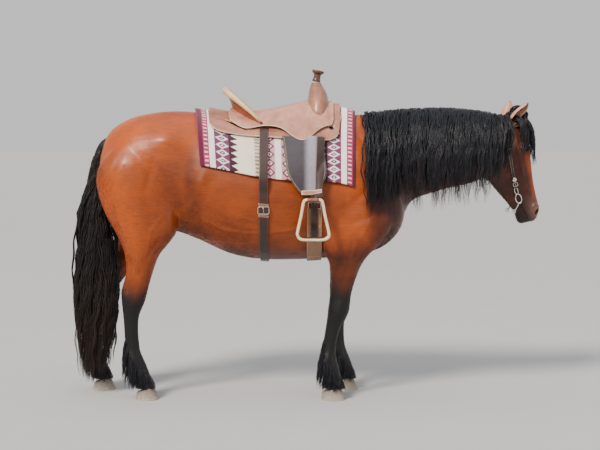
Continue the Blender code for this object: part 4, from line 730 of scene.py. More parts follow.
skin = bodyForm(skinSizes["voxel"], skinSizes["smooth"])
swollen(skin, fleshSwells + middleSwells, placesOf(skin), 1)
swollen(skin, headSwells, headOwn(placesOf(skin)), 2)
skin.name = "skin"
places, normals = placesOf(skin), normalsOf(skin)
flat = places[:, [0, 2]].copy()
for table, here in ((leftForeAhead, flat[:, 0] > -0.4), (leftHindAhead, flat[:, 0] <= -0.4)):
    moved = np.interp(flat[:, 1], [row[0] for row in table], [row[1] for row in table])
    flat[:, 0] -= np.where(here & (places[:, 1] > 0), moved, 0)
traced(skin, flat, np.clip(normals[:, 1] * np.sign(places[:, 1]) * 1.4, 0, 1), fleshLines)
moveTo(skin, placesOf(skin) - normalsOf(skin) * skinSizes["coatDepth"])
print("skin: quads", len(skin.data.polygons))

# The body is thinned, the head and the feet keep their grid
places, own = placesOf(skin), headOwn(placesOf(skin))
kept = (own[:, 0] > 0.0) & (places[:, 0] > 0.985) | (places[:, 2] < 0.34)
group = skin.vertex_groups.new(name="keep")
group.add([int(i) for i in np.nonzero(kept)[0]], 1.0, "REPLACE")
thin = skin.modifiers.new("thin", "DECIMATE")
thin.ratio = skinSizes["bodyShare"]
thin.vertex_group = "keep"
thin.invert_vertex_group = True
baked(skin)
skin.vertex_groups.clear()
refine(skin, (headOwn(placesOf(skin))[:, 0] > 0.02) & (placesOf(skin)[:, 0] > 1.0))

# The head has the finest grid round the eyes, the nostrils, the lips and the roots of the ears
places, own = placesOf(skin), headOwn(placesOf(skin))
beside = own * (1, 1, 0) + np.abs(own) * (0, 0, 1)
found = np.zeros(len(places), bool)
for centre, reach in (((eye["along"], eye["ahead"], eye["out"]), 0.046), ((0.545, 0.01, 0.04), 0.048),
                      ((0.5, -0.055, 0.05), 0.04)):
    found |= sizeOf(beside - centre) < reach
refine(skin, found & (places[:, 0] > 1.0))
smoothed(skin, 0.5, 5, ((headOwn(placesOf(skin))[:, 0] > 0.03) & (placesOf(skin)[:, 0] > 1.02)) * 1.0)
print("skin: faces", len(skin.data.polygons))


# Ears

def earWays(left):
    base = onHead(ear["along"], ear["ahead"], left * ear["out"])
    tip = Vector(ear["farTip"] if left > 0 else ear["nearTip"]).normalized()
    facing = aheadAxis * 0.75 + leftAxis * left * 0.65
    facing = (facing - tip * facing.dot(tip)).normalized()
    return base, tip, facing, ear["farLength"] if left > 0 else ear["nearLength"]


def earForm(left, rows, columns):
    base, tip, facing, length = earWays(left)
    across = tip.cross(facing).normalized()
    outer, inner = [], []
    for t in steps(0, 1, rows):
        half = ear["width"] * (sin(pi * (0.2 + 0.8 * t)) ** 0.85 * 0.93 + 0.06) * (1 - 0.35 * (1 - t) ** 3)
        wall = min(0.0032, 0.4 * half)
        reach = pi - radians(45 + 42 * sin(pi * t) ** 0.7)
        centre = base + tip * (length * t) + facing * (ear["bow"] * sin(pi * t))
        ways = [(across * sin(a) - facing * cos(a), 0.96 + 0.1 * (abs(a) / reach) ** 6)
                for a in steps(-reach, reach, columns)]  # the rims turn out a little
        outer.append([centre + way * half * lip for way, lip in ways])
        inner.append([centre + way * (half * lip - wall) for way, lip in ways])
    return sheetSolid("ear", outer, inner)


def joinedTo(made, others, operation="UNION"):
    tools = bpy.data.collections.new("tools")
    for other in others:
        tools.objects.link(other)
    boolean = made.modifiers.new("join", "BOOLEAN")
    boolean.operation = operation
    boolean.operand_type = "COLLECTION"
    boolean.collection = tools
    boolean.solver = "MANIFOLD"
    baked(made)
    drop(*others)
    bpy.data.collections.remove(tools)
    return made


print("skin: ears, lids, nostrils and mouth")
bareTree = treeOf(skin)
dock = {"line": [(-1.095, 1.43), (-1.142, 1.412), (-1.176, 1.362), (-1.196, 1.3), (-1.21, 1.22),
                 (-1.218, 1.14)],
        "radii": [0.027, 0.027, 0.024, 0.02, 0.015, 0.01]}
dockRows = spread([(x, 0, z, r) for (x, z), r in zip(dock["line"], dock["radii"])], 4)
tailDock = tube("dock", [Vector(row[:3]) for row in dockRows], [row[3] for row in dockRows], 20, 1.0,
                [sideways] * len(dockRows))
joinedTo(skin, [*[earForm(left, 30, 34) for left in (-1, 1)], tailDock,
                *[ball("lids", eyeCentre(left), eye["radius"] + 0.003, 56, 36) for left in (-1, 1)]])
cutters = []
for left in (-1, 1):
    cutters.append(ball("socket", eyeCentre(left), eye["radius"] + gap, 56, 36))
    cutters.append(lofted("opening", [lidRim(left, 44, eye["radius"] * size)[0] for size in (0.5, 2.2)]))
    centre = onHead(nostril["along"] - 0.006, nostril["ahead"] - 0.004, left * (nostril["out"] + 0.003))
    inward = (-leftAxis * left * 0.9 - downAxis * 0.25 - aheadAxis * 0.15).normalized()
    longWay = downAxis * 0.75 - aheadAxis * 0.65 + leftAxis * left * 0.1
    longWay = (longWay - inward * longWay.dot(inward)).normalized()
    cutters.append(egg("nostril", centre, (inward, longWay, inward.cross(longWay)), nostril["sizes"], 36, 24))
faceTree = treeOf(skin)
mouthPath = []
for left in (-1, 1):
    side = [faceTree.find_nearest(onHead(along, out, left * across))[:2] for along, out,
            across in spread(mouthLine, 4)]
    mouthPath += side[::-1] if left < 0 else side[1:]
lastPlace = len(mouthPath) - 1
mouthRadii = [0.001 + 0.0016 * sin(pi * i / lastPlace) ** 0.3 for i in range(lastPlace + 1)]
cutters.append(tube("mouth", [p for p, n in mouthPath], mouthRadii, 8, 1.3, [n for p, n in mouthPath]))
for cutter in cutters:
    joinedTo(skin, [cutter], "DIFFERENCE")
print("skin: faces", len(skin.data.polygons))

# The rims are rounded, and the joints at the ears and the dock run out smoothly
places = placesOf(skin)
near = np.zeros(len(places))
soft = [(Vector((-1.12, 0, 1.43)), 0.06, 0.02, 0.9)] + [(place, 0.008, 0.004, 0.5) for place,
                                                        normal in mouthPath]
for left in (-1, 1):
    soft.append((onHead(nostril["along"], nostril["ahead"], left * nostril["out"]), 0.03, 0.01, 0.8))
    soft.append((onHead(ear["along"] + 0.01, ear["ahead"], left * ear["out"]), 0.04, 0.01, 0.9))
for place, reach, run, weight in soft:
    near = np.maximum(near, weight * np.clip((reach - sizeOf(places - np.array(place))) / run, 0, 1))
smoothed(skin, 0.5, 4, near)


def roundEye(places, left):
    # how far places lie from an eye's axis, 1 at the rims of the lids
    outAxis, longAxis, tallAxis = [np.array(axis) for axis in eyeAxes(left)]
    off = places - np.array(eyeCentre(left))
    return np.where(sizeOf(off) < 0.05, np.hypot(off @ longAxis / 0.018, off @ tallAxis / 0.0125), 9.0)


# The lids run out into the brow and the cheek, and their rims stay crisp; nothing sinks into the eyeball
near = np.zeros(len(skin.data.vertices))
for left in (-1, 1):
    away = roundEye(placesOf(skin), left)
    near = np.maximum(near, np.clip((away - 1.05) / 0.3, 0, 1) * np.clip((3.0 - away) / 0.8, 0, 1))
smoothed(skin, 0.5, 40, near)
places = placesOf(skin)
for left in (-1, 1):
    centre, least = np.array(eyeCentre(left)), eye["radius"] + 0.0014
    off = places - centre
    far = sizeOf(off)[:, None]
    sunk = (near[:, None] > 0) & (far < least) & (off @ np.array(eyeAxes(left)[0]) > 0)[:, None]
    places = np.where(sunk, centre + off / far * least, places)
moveTo(skin, places)
smoothed(skin, 0.5, 3, np.clip(near, 0, 0.4))


def lidArc(reach, first, last):
    return [(eye["along"] + reach * 1.1 * cos(radians(a)), eye["ahead"] + reach * sin(radians(a)))
            for a in steps(first, last, 9)]


# The face's bones, folds and veins: places as along and ahead in the head's frame
faceLines = [
    ([(0.232, 0.006), (0.285, 0.0), (0.34, -0.006)], 0.0075, 0.0042),
    ([(0.24, -0.014), (0.3, -0.02), (0.345, -0.024)], 0.01, -0.003),
    ([(0.25, 0.05), (0.36, 0.038), (0.48, 0.028)], 0.012, -0.0034),
    ([(0.25, 0.068), (0.38, 0.054), (0.48, 0.045)], 0.009, 0.0018),
    ([(0.3, -0.14), (0.33, -0.085), (0.358, -0.02), (0.385, -0.002), (0.43, 0.012), (0.47, 0.022)], 0.004,
     0.0019),
    ([(0.385, -0.002), (0.42, -0.014), (0.455, -0.02)], 0.0034, 0.0014),
    ([(0.235, -0.02), (0.265, -0.07), (0.285, -0.125)], 0.014, -0.0045),
    ([(0.06, -0.085), (0.075, -0.135), (0.12, -0.18)], 0.014, -0.0045),
    ([(0.115, 0.02), (0.15, 0.01), (0.19, 0.004), (0.232, 0.006)], 0.01, 0.0034),
    ([(0.12, 0.05), (0.15, 0.062)], 0.013, -0.0055),
    ([(0.595, -0.036), (0.55, -0.054), (0.512, -0.063), (0.478, -0.067)], 0.0065, 0.0042),
    ([(0.59, -0.01), (0.545, -0.028), (0.51, -0.04), (0.475, -0.048)], 0.008, 0.0036),
    ([(0.462, -0.036), (0.456, -0.056), (0.462, -0.074)], 0.0034, -0.0026),
    ([(0.446, -0.034), (0.44, -0.056), (0.447, -0.078)], 0.0036, -0.0018),
    ([(0.52, 0.004), (0.512, 0.024), (0.524, 0.044), (0.552, 0.05)], 0.005, 0.004),
    ([(0.585, 0.036), (0.59, 0.018), (0.578, 0.002), (0.552, -0.002), (0.528, 0.004)], 0.005, 0.0036),
    ([(0.5, 0.0), (0.494, 0.026), (0.506, 0.05)], 0.006, -0.003),
    ([(0.61, -0.022), (0.598, -0.01), (0.57, -0.012), (0.535, -0.016)], 0.005, -0.0022),
    (lidArc(0.0175, 20, 165), 0.0016, -0.0018),
    (lidArc(0.0215, 35, 150), 0.0016, -0.0011),
    (lidArc(0.029, -10, 200), 0.0055, 0.004),
    (lidArc(0.029, 190, 360), 0.0055, 0.0028),
    (lidArc(0.042, 20, 150), 0.008, 0.004),
    (lidArc(0.0195, -150, -35), 0.0018, -0.0014)]
own = headOwn(placesOf(skin))
beside = np.clip(np.abs(normalsOf(skin) @ np.array(leftAxis)) * 1.5, 0, 1)
traced(skin, own[:, :2], beside * ((own[:, 0] > 0.03) & (placesOf(skin)[:, 0] > 1.0)), faceLines)


# Markings: how black (points), how deep the bay (shade, which also carries painted shade and a painted highlight), how
# upright the lie of the coat is, and how pale (pale, which also carries painted light), at a place

def smoothStep(low, high, values):
    t = np.clip((values - low) / (high - low), 0, 1)
    return t * t * (3 - 2 * t)


def blotch(places, scale, seed):
    turn = np.random.default_rng(seed).normal(size=(6, 3)) * scale
    phase = np.random.default_rng(seed + 1).uniform(0, 6.28, 6)
    return sum(np.sin(places @ w + p) for w, p in zip(turn, phase)) / 6


def markings(places):
    own = headOwn(places)
    onFace = (own[:, 0] > -0.01) & (places[:, 0] > 1.0)
    x, z = places[:, 0], places[:, 2] + 0.03 * blotch(places, 22, 3) + 0.012 * blotch(places, 90, 5)
    hind, beside = x < -0.5, np.abs(places[:, 1])
    back = np.where(hind, -1.03, 0.11)  # the dark runs higher up the back of each leg
    behind = np.clip((back + 0.05 - x) / 0.08, 0, 1)
    points = 1 - smoothStep(np.where(hind, 0.52, 0.555), 0.7, z - 0.05 * behind)
    points = np.where(places[:, 2] > 0.9, 0, points)
    muzzle = smoothStep(0.43, 0.565, own[:, 0] + 0.02 * blotch(places, 40, 9) - 0.12 * np.clip(own[:, 1],
                                                                                               -0.05, 1))
    eyes, pale = np.zeros(len(places)), np.zeros(len(places))
    for left in (-1, 1):
        eyes = np.maximum(eyes, 1 - smoothStep(1.05, 1.75, roundEye(places, left)))
        base, tip, facing, length = earWays(left)
        off = places - np.array(base)
        up = off @ np.array(tip)
        across = sizeOf(off - up[:, None] * np.array(tip))
        inEar = smoothStep(0.0, 0.03, up) * (across < 0.05) * (up < length + 0.02)
        inner = smoothStep(-0.01, 0.012, off @ np.array(facing))
        rim = 1 - 0.5 * smoothStep(0.85, 1.0, up / length)
        # the inner hair of the ears is pale in itself; the far ear's back is paler than the near ear's, painted light
        # shining through it
        pale = np.maximum(pale, inEar * (0.5 + 0.16 * left + (0.45 - 0.16 * left) * inner) * rim)
    points = np.where(onFace, np.maximum(0.86 * muzzle, 0.8 * eyes), points)
    points = np.maximum(points, np.where((x < -1.1) & (beside < 0.04), smoothStep(-1.1, -1.14, x), 0))
    points = points * (1 - pale)
    # a grey bloom over the black of the muzzle, partly the muzzle's own grey and partly a painted highlight on its
    # front, and a painted highlight on the temple
    pale = np.maximum(pale, onFace * 0.22 * muzzle * smoothStep(-0.05, 0.03, own[:, 1]))
    temple = np.exp(-((own[:, 0] - 0.105) / 0.045) ** 2 - ((own[:, 1] + 0.005) / 0.028) ** 2)
    pale = np.maximum(pale, 0.42 * onFace * temple)
    shade = 0.42 + 0.3 * blotch(places, 5, 13) + 0.13 * blotch(places, 15, 17)
    # darker low on the trunk and down the upper legs: painted shade under the body, and on the legs the bay running
    # into the black points
    shade = np.maximum(shade, 0.85 * smoothStep(1.02, 0.78, z) * np.where(hind, 0.5, 1.0))
    nose = smoothStep(0.02, 0.06, own[:, 1]) * smoothStep(0.16, 0.26, own[:, 0])
    shade = np.where(onFace, 1.0 - 0.6 * nose, shade)
    # darker from the shoulder forward, and a dark band over the flank behind the saddle, which is painted shade
    flank = np.exp(-((x + 0.64) / 0.1) ** 2 - ((z - 1.16) / 0.24) ** 2)
    for deep in (0.95 * smoothStep(0.2, 0.4, x), 0.88 * flank):
        shade = np.maximum(shade, np.where(onFace, 0, deep))
    # lighter over the back of the thigh: a painted highlight
    thigh = np.exp(-((x + 1.04) / 0.1) ** 2 - ((z - 1.08) / 0.18) ** 2)
    shade = shade * (1 - 0.6 * thigh)
    shade = np.maximum(shade, 0.55 * smoothStep(0.02, 0.0, beside - 0.01) * (places[:, 2] > 1.3))
    upright = np.where(places[:, 2] < 0.86, 1.0, smoothStep(-1.0, -1.14, x))
    upright = np.where(onFace, 1.0, upright)
    return [np.clip(values, 0, 1) for values in (points, shade, upright, pale)]


def paint(made, places):
    for name, values in zip(("points", "shade", "upright", "pale"), markings(places)):
        note(made, name, values)


paint(skin, placesOf(skin))


# Bay horsehide: short glossy hair that lies flat, so it reads as fine streaks and a soft, broad shine
def coatMaterial():
    material, add, shader, place = newMaterial("bay horsehair", {
        "Roughness": 0.42, "Sheen Weight": 0.05, "Sheen Roughness": 0.35, "Sheen Tint": "#FFC4AC",
        "Specular IOR Level": 0.3, "Coat Weight": 0.12, "Coat Roughness": 0.3})
    points, shade, upright, pale = [add("Attribute", attribute_name=name).outputs["Fac"]
                                    for name in ("points", "shade", "upright", "pale")]
    # the lie of the hair: from locks 6 mm wide and 80 mm long down to single hairs 0.4 mm wide
    ways = [add("Mapping", {"Vector": place, "Scale": scale}) for scale in ((12, 170, 170), (170, 170, 12))]
    hair = [add("TexNoise", {"Vector": way, "Scale": 1.0, "Detail": 4.0, "Roughness": 0.62}) for way in ways]
    streak = add("Mix", {0: upright, 2: hair[0], 3: hair[1]})
    # dapples and sun-warmed patches a hand across
    patch = add("TexNoise", {"Vector": place, "Scale": 8.0, "Detail": 3.0})
    patch = add("MapRange", {"Value": patch, "From Min": 0.35, "From Max": 0.68, "To Min": -0.11,
                             "To Max": 0.11})
    # the bay deepens with the shade attribute, painted shade and highlight included, and with the random patches
    depthAndShade = add("Math", {0: shade, 1: patch}, operation="ADD", use_clamp=True)
    bay = add("Mix", {0: depthAndShade, 6: "#B24F0E", 7: "#391204"}, data_type="RGBA")
    light = add("MapRange", {"Value": streak, "From Min": 0.3, "From Max": 0.7, "To Min": 0.8,
                             "To Max": 1.14})
    dark = add("Mix", {0: streak, 6: "#030304", 7: "#0D0B0D"}, data_type="RGBA")
    bayLit = add("VectorMath", {0: bay, "Scale": light}, operation="SCALE")
    colour = add("Mix", {0: points, 6: bayLit, 7: dark}, data_type="RGBA")
    colour = add("Mix", {0: pale, 6: colour, 7: "#D6A187"}, data_type="RGBA")
    gloss = add("MapRange", {"Value": patch, "From Min": -0.11, "From Max": 0.11, "To Min": 0.37,
                             "To Max": 0.5})
    bump = add("Bump", {"Height": streak, "Strength": 0.45, "Distance": 0.0006})
    feed(shader, {"Base Color": colour, "Roughness": gloss, "Normal": bump})
    return material


coat = coatMaterial()


# Long hair: each tuft is drawn as a lock of fine hairs, some lighter and some darker, with faded ends
def hairMaterial(name, darkHex, lightHex, tipHex, roughness):
    material, add, shader, place = newMaterial(name, {"Roughness": roughness, "Coat Weight": 0.07,
                                                      "Coat Roughness": 0.3, "Specular IOR Level": 0.36})
    tone, along = [add("Attribute", attribute_name=name).outputs["Fac"] for name in ("tone", "along")]
    strand = add("Attribute", attribute_name="strand").outputs["Vector"]
    # five hairs across a tuft, each seen for some 40 mm before it dives under another
    strand = add("Mapping", {"Vector": strand, "Scale": (5, 25, 1)})
    streak = add("TexNoise", {"Vector": strand, "Scale": 1.0, "Detail": 1.5})
    sharp = add("MapRange", {"Value": streak, "From Min": 0.32, "From Max": 0.68})
    mixed = add("Mix", {0: 0.55, 2: tone, 3: sharp})
    hair = add("Mix", {0: mixed, 6: darkHex, 7: lightHex}, data_type="RGBA")
    ends = add("MapRange", {"Value": along, "From Min": 0.5, "From Max": 1.0, "To Min": 0.0, "To Max": 0.6})
    ends = add("Math", {0: ends, 1: tone}, operation="MULTIPLY")
    colour = add("Mix", {0: ends, 6: hair, 7: tipHex}, data_type="RGBA")
    bump = add("Bump", {"Height": streak, "Strength": 0.8, "Distance": 0.0008})
    feed(shader, {"Base Color": colour, "Normal": bump})
    return material


blackHair = hairMaterial("black horsehair", "#030308", "#171A26", "#2B201B", 0.43)
tailHair = hairMaterial("brown-black tail hair", "#060506", "#231C1A", "#4A3528", 0.44)
earHair = hairMaterial("cream ear hair", "#8E6A55", "#DDBBA2", "#EED9C4", 0.5)


# Every finished piece: its place in its mesh, riding on the one body
def settle(piece, slot, nodes=(), material=None, smooth=True):
    piece.data.transform(Matrix.Translation((ahead, 0, 0)))
    if material:
        piece.data.materials.clear()
        piece.data.materials.append(material)
    if smooth:
        piece.data.shade_smooth()
    if "leather" in slot and "edge" not in piece.data.attributes:  # a piece without cut rims
        note(piece, "edge", [0.01] * len(piece.data.vertices))
    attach(piece, "root")
    if nodes:
        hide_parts(*nodes)
    return piece


skinTree = treeOf(skin)
legs = ["fore_right", "fore_left", "hind_right", "hind_left"]


# The coat's baking map: each tuft's root on an unwrap of the skin, one tile for each part of the body
tiles = {"head": (0.01, 0.01), "neck": (0.34, 0.01), "trunk": (0.01, 0.34), "fore": (0.67, 0.01),
         "hind": (0.67, 0.34)}


def unwrapped(places):
    own = headOwn(places)
    x, y, z = places.T
    found = np.zeros((len(places), 2))
    region = np.full(len(places), "trunk", dtype=object)
    region[(x > 0.45) & (z > 0.9)] = "neck"
    region[(own[:, 0] > 0.0) & (x > 1.0)] = "head"
    region[(z < 0.88) & (x > -0.4)] = "fore"
    region[(z < 0.88) & (x <= -0.4)] = "hind"

    def turnOf(a, b):
        return np.arctan2(a, b) / (2 * pi) + 0.5

    middle = np.where(x > -0.4, 0.13 + 0.07 * (y > 0), -0.97 - 0.24 * (y > 0))
    leg = (turnOf(np.abs(y) - 0.155, x - middle) * 0.48 + 0.5 * (y > 0), z / 0.9)
    laid = {"head": (turnOf(own[:, 2], own[:, 1] + 0.05), own[:, 0] / 0.64), "fore": leg, "hind": leg,
            "neck": (turnOf(y, z - 1.38), (x - 0.4) / 0.75), "trunk": (turnOf(y, z - 1.17), (x + 1.25) / 1.8)}
    for name, corner in tiles.items():
        for k in (0, 1):
            here = region == name
            found[here, k] = (corner[k] + 0.31 * np.clip(laid[name][k], 0, 1))[here]
    return found


# Tufts: tapered three-sided blades that end in a point. Each has a path, and a normal, width and thickness along it
def tuftMesh(name, tufts, bake=0.003):
    start, points, faces, uvs, tones, alongs, strands, roots = 0, [], [], [], [], [], [], []
    uvRoots = unwrapped(np.array([t["root"] for t in tufts]))
    for tuft, uvRoot in zip(tufts, uvRoots):
        path, widths, thicks = tuft["path"], tuft["widths"][:, None], tuft["thicks"][:, None]
        along = np.gradient(path, axis=0)
        along = unit(along)
        side = np.cross(along, tuft["normals"])
        side = unit(side)
        up = np.cross(side, along)
        rings = np.stack([path - side * widths / 2, path + up * thicks, path + side * widths / 2], 1)[:-1]
        count = len(rings)
        points += [rings.reshape(-1, 3), path[-1:]]
        base = start + np.arange(count - 1)[:, None] * 3
        quads = np.stack([np.concatenate([base + (i + 1) % 3, base + (i + 1) % 3 + 3, base + i + 3,
                                          base + i], 1)
                          for i in range(3)], 1).reshape(-1, 4)
        last, tipPoint = start + (count - 1) * 3, start + count * 3
        faces += quads.tolist() + [(start + 2, start + 1, start)]
        faces += [(last + (i + 1) % 3, tipPoint, last + i) for i in range(3)]
        share = np.append(np.repeat(np.linspace(0, 1, len(path))[:-1], 3), 1.0)
        uvs.append(np.stack([uvRoot[0] + bake * np.append(np.tile([-0.5, 0.0, 0.5], count), 0.0),
                             uvRoot[1] + bake * (share - 0.5)], 1))
        tones.append(np.full(len(share), tuft["tone"]))
        alongs.append(share)
        far = np.concatenate([[0], np.cumsum(sizeOf(np.diff(path, axis=0)))])
        across = np.append(np.tile([0.0, 0.5, 1.0], count), 0.5)
        strands.append(np.stack([across + 60 * tuft["tone"], np.append(np.repeat(far[:-1], 3), far[-1]),
                                 np.zeros(len(share))], 1))
        roots.append(np.tile(tuft["root"], (len(share), 1)))
        start = tipPoint + 1
    made = meshObject(name, np.concatenate(points).tolist(), faces)
    uv = made.data.uv_layers.new(name="OFBake")
    corners = np.empty(len(made.data.loops), int)
    made.data.loops.foreach_get("vertex_index", corners)
    uv.data.foreach_set("uv", np.concatenate(uvs)[corners].astype(np.float32).ravel())
    for key, values in (("tone", np.concatenate(tones)), ("along", np.concatenate(alongs))):
        note(made, key, values)
    strand = made.data.attributes.new("strand", "FLOAT_VECTOR", "POINT")
    strand.data.foreach_set("vector", np.concatenate(strands).astype(np.float32).ravel())
    return made, np.concatenate(roots)


def fallen(tree, start, heading, length, lifts, pull, wave, phase, waves, count):
    place, way = start.copy(), heading.normalized()
    points, normals = [start.copy()], [way.orthogonal()]
    step = length / count
    hit, normal = tree.find_nearest(start)[:2]
    for i in range(1, count + 1):
        t = i / count
        way = (way + Vector((0, 0, -1)) * pull * (0.5 + t)).normalized()
        side = way.cross(normal)
        if side.length > 1e-6:
            side.normalize()
        place = place + way * step + side * (wave * cos(phase + waves * 2 * pi * t) * step / 0.05)
        hit, found = tree.find_nearest(place)[:2]
        lift = float(np.interp(t, [0, 0.2, 1], lifts))
        out = place - hit
        if out.dot(found) < 0 or out.length < lift:
            place = hit + found * lift
            way = (way - found * min(0.0, way.dot(found))).normalized()
            normal = (normal * 0.4 + found * 0.6).normalized()
        elif out.length < 0.08:
            normal = (normal * 0.8 + found * 0.2).normalized()
        points.append(place.copy())
        normals.append(normal.copy())
    normals[0] = normals[1]
    return np.array(points), np.array(normals)


def clump(guide, normals, style, chance, count, scale=1.0):
    # one lock: tufts that share a path and its waves, each turned a little about its own length
    lengths = np.concatenate([[0], np.cumsum(sizeOf(np.diff(guide, axis=0)))])
    ways = np.gradient(guide, axis=0)
    ways /= sizeOf(ways)[:, None]
    sides = np.cross(ways, normals)
    sides = unit(sides)
    phase, rate = chance.uniform(0, 6.28), chance.uniform(0.85, 1.2)
    tufts = []
    for i in range(count):
        a, b = chance.uniform(-1, 1), chance.uniform(0, 1)
        reach = 1 - style["ragged"] * chance.random() ** 1.5
        shares = np.linspace(0, reach, style["segments"] + 1)
        at = shares * lengths[-1]
        path, side, normal = [np.stack([np.interp(at, lengths, rows[:, k]) for k in range(3)], 1)
                              for rows in (guide, sides, normals)]
        fan = np.interp(shares, [0, 0.15, 0.55, 1], style["fan"])
        bend = 2 * pi * rate * at / style["waveLength"] + phase + chance.uniform(-0.5, 0.5)
        wave = style["wave"] * np.clip(at / 0.05, 0, 1) * chance.uniform(0.7, 1.3)
        path = (path + side * (a * style["half"] * scale * fan + wave * np.sin(bend))[:, None]
                + normal * (b * style["deep"] * np.clip(fan, 0.3, 1) + 0.7 * wave * (1 + np.cos(bend)))[:,
                                                                                                        None])
        turn = chance.uniform(-0.7, 0.7) + chance.uniform(-1.0, 1.0) * shares
        own = np.linspace(0, 1, len(shares))
        size = chance.uniform(0.6, 1.3)
        tufts.append({"path": path, "root": path[0], "tone": chance.random(),
                      "normals": normal * np.cos(turn)[:, None] + side * np.sin(turn)[:, None],
                      "widths": style["width"] * size * np.interp(own, [0, 0.15, 0.6, 1], [0.6, 1, 0.8, 0.1]),
                      "thicks": style["thick"] * np.interp(own, [0, 0.2, 0.7, 1], [0.8, 1, 0.8, 0.3])})
    return tufts


# the solids' box, which no hair leaves, in the coordinates that the pieces are made in
lowest, highest = [np.array(corner) - (ahead, 0, 0) for corner in cadBox]
lowest[2] = -1.0


def hairPieces(name, tufts, nodes=(), parts=1, material=blackHair):
    for i in range(parts):
        piece, roots = tuftMesh(name if parts == 1 else f"{name}_{i + 1}", tufts[i::parts])
        places = np.clip(placesOf(piece), lowest + 0.001, highest - 0.001)
        piece.data.vertices.foreach_set("co", places.ravel())
        settle(piece, "hair", nodes, material)
        print(name, "tufts", len(tufts), "triangles", sum(len(f.vertices) - 2 for f in piece.data.polygons))


def crestAt(x):
    rows = spread(neckStations, 4)
    xs = [row[0] for row in rows]
    return float(np.interp(x, xs, [row[1] for row in rows])), float(np.interp(x, xs,
                                                                              [row[5] for row in rows]))


print("mane")
maneSizes = {"locks": 116, "tufts": 19, "first": 1.078, "last": 0.295,
             "lengths": [(0.295, 0.7), (0.42, 0.72), (0.55, 0.74), (0.7, 0.74), (0.85, 0.71), (0.95, 0.65),
                         (1.03, 0.46), (1.078, 0.33)],
             "style": {"segments": 30, "ragged": 0.2, "fan": [0.6, 1.0, 1.0, 0.55], "half": 0.024,
                       "deep": 0.008,
                       "wave": 0.0044, "waveLength": 0.115, "width": 0.0046, "thick": 0.0011}}
chance = random.Random(hairSeed)
tufts = []
for i in range(maneSizes["locks"]):
    x = maneSizes["first"] + (maneSizes["last"] - maneSizes["first"]) * (i + chance.uniform(-0.5,
                                                                                            0.5)) / maneSizes["locks"]
    x = min(max(x, maneSizes["last"]), maneSizes["first"])
    z, shift = crestAt(min(x, 1.045))
    start = Vector((x, shift + chance.uniform(-0.012, 0.012) - 0.1 * max(0.0, x - 1.045), z - 0.008))
    heading = Vector((chance.uniform(-0.12, 0.12) + 1.6 * max(0.0, x - 0.95), -0.9,
                      0.12 + 0.26 * min(1.0, (x - 0.29) / 0.2)))
    length = between(maneSizes["lengths"], x) * chance.uniform(0.84, 1.04)
    lift = 0.003 + 0.012 * chance.random()
    guide, normals = fallen(skinTree, start, heading, length, (-0.004, lift * 0.8, lift), 0.15,
                            chance.uniform(0.002, 0.01), chance.uniform(0, 6.28), 1.3, 40)
    tufts += clump(guide, normals, maneSizes["style"], chance, maneSizes["tufts"])
for i in range(26):  # thin strands that hang on to the shoulder
    x = chance.uniform(0.3, 0.52)
    z, shift = crestAt(x)
    guide, normals = fallen(skinTree, Vector((x, shift, z - 0.006)), Vector((0, -0.85, 0.3)),
                            chance.uniform(0.7, 0.88),
                            (-0.006, 0.012, 0.008), 0.15, 0.006, chance.uniform(0, 6.28), 2.0, 40)
    tufts += clump(guide, normals, maneSizes["style"], chance, 4, 0.35)
hairPieces("mane", tufts, (), 3)

print("forelock")
forelockSizes = {"locks": 54, "tufts": 16,
                 "style": {"segments": 16, "ragged": 0.35, "fan": [0.5, 0.9, 1.0, 0.4], "half": 0.014,
                           "deep": 0.008,
                           "wave": 0.003, "waveLength": 0.085, "width": 0.005, "thick": 0.0012}}
tufts = []
for i in range(forelockSizes["locks"]):
    share = 2 * (i + 0.5) / forelockSizes["locks"] - 1
    start = onHead(chance.uniform(-0.006, 0.016), 0.02 + chance.uniform(-0.004, 0.012), share * 0.03)
    heading = (aheadAxis * 0.9 - downAxis * 0.45 + leftAxis * (share * 0.9 - 0.22)).normalized()
    length = (0.4 - 0.08 * abs(share)) * chance.uniform(0.72, 1.06)
    loose = chance.random()
    guide, normals = fallen(skinTree, start, heading, length,
                            (-0.006, 0.006 + 0.024 * loose, 0.006 + 0.02 * loose), 0.3,
                            0.003, chance.uniform(0, 6.28), 1.5, 26)
    tufts += clump(guide, normals, forelockSizes["style"], chance, forelockSizes["tufts"])
hairPieces("forelock", tufts)

print("lashes, whiskers and the hair of the ears")
fineStyle = {"segments": 5, "ragged": 0.2, "fan": [1, 1, 1, 1], "half": 0.0004, "deep": 0.0004, "wave": 0.0,
             "waveLength": 0.03, "width": 0.0007, "thick": 0.0004}


def bent(start, heading, sag, length, count=8):
    # a short hair that leaves along a heading and sags
    return np.array([start + (heading * t + sag * t * t) * length for t in np.linspace(0, 1, count)])


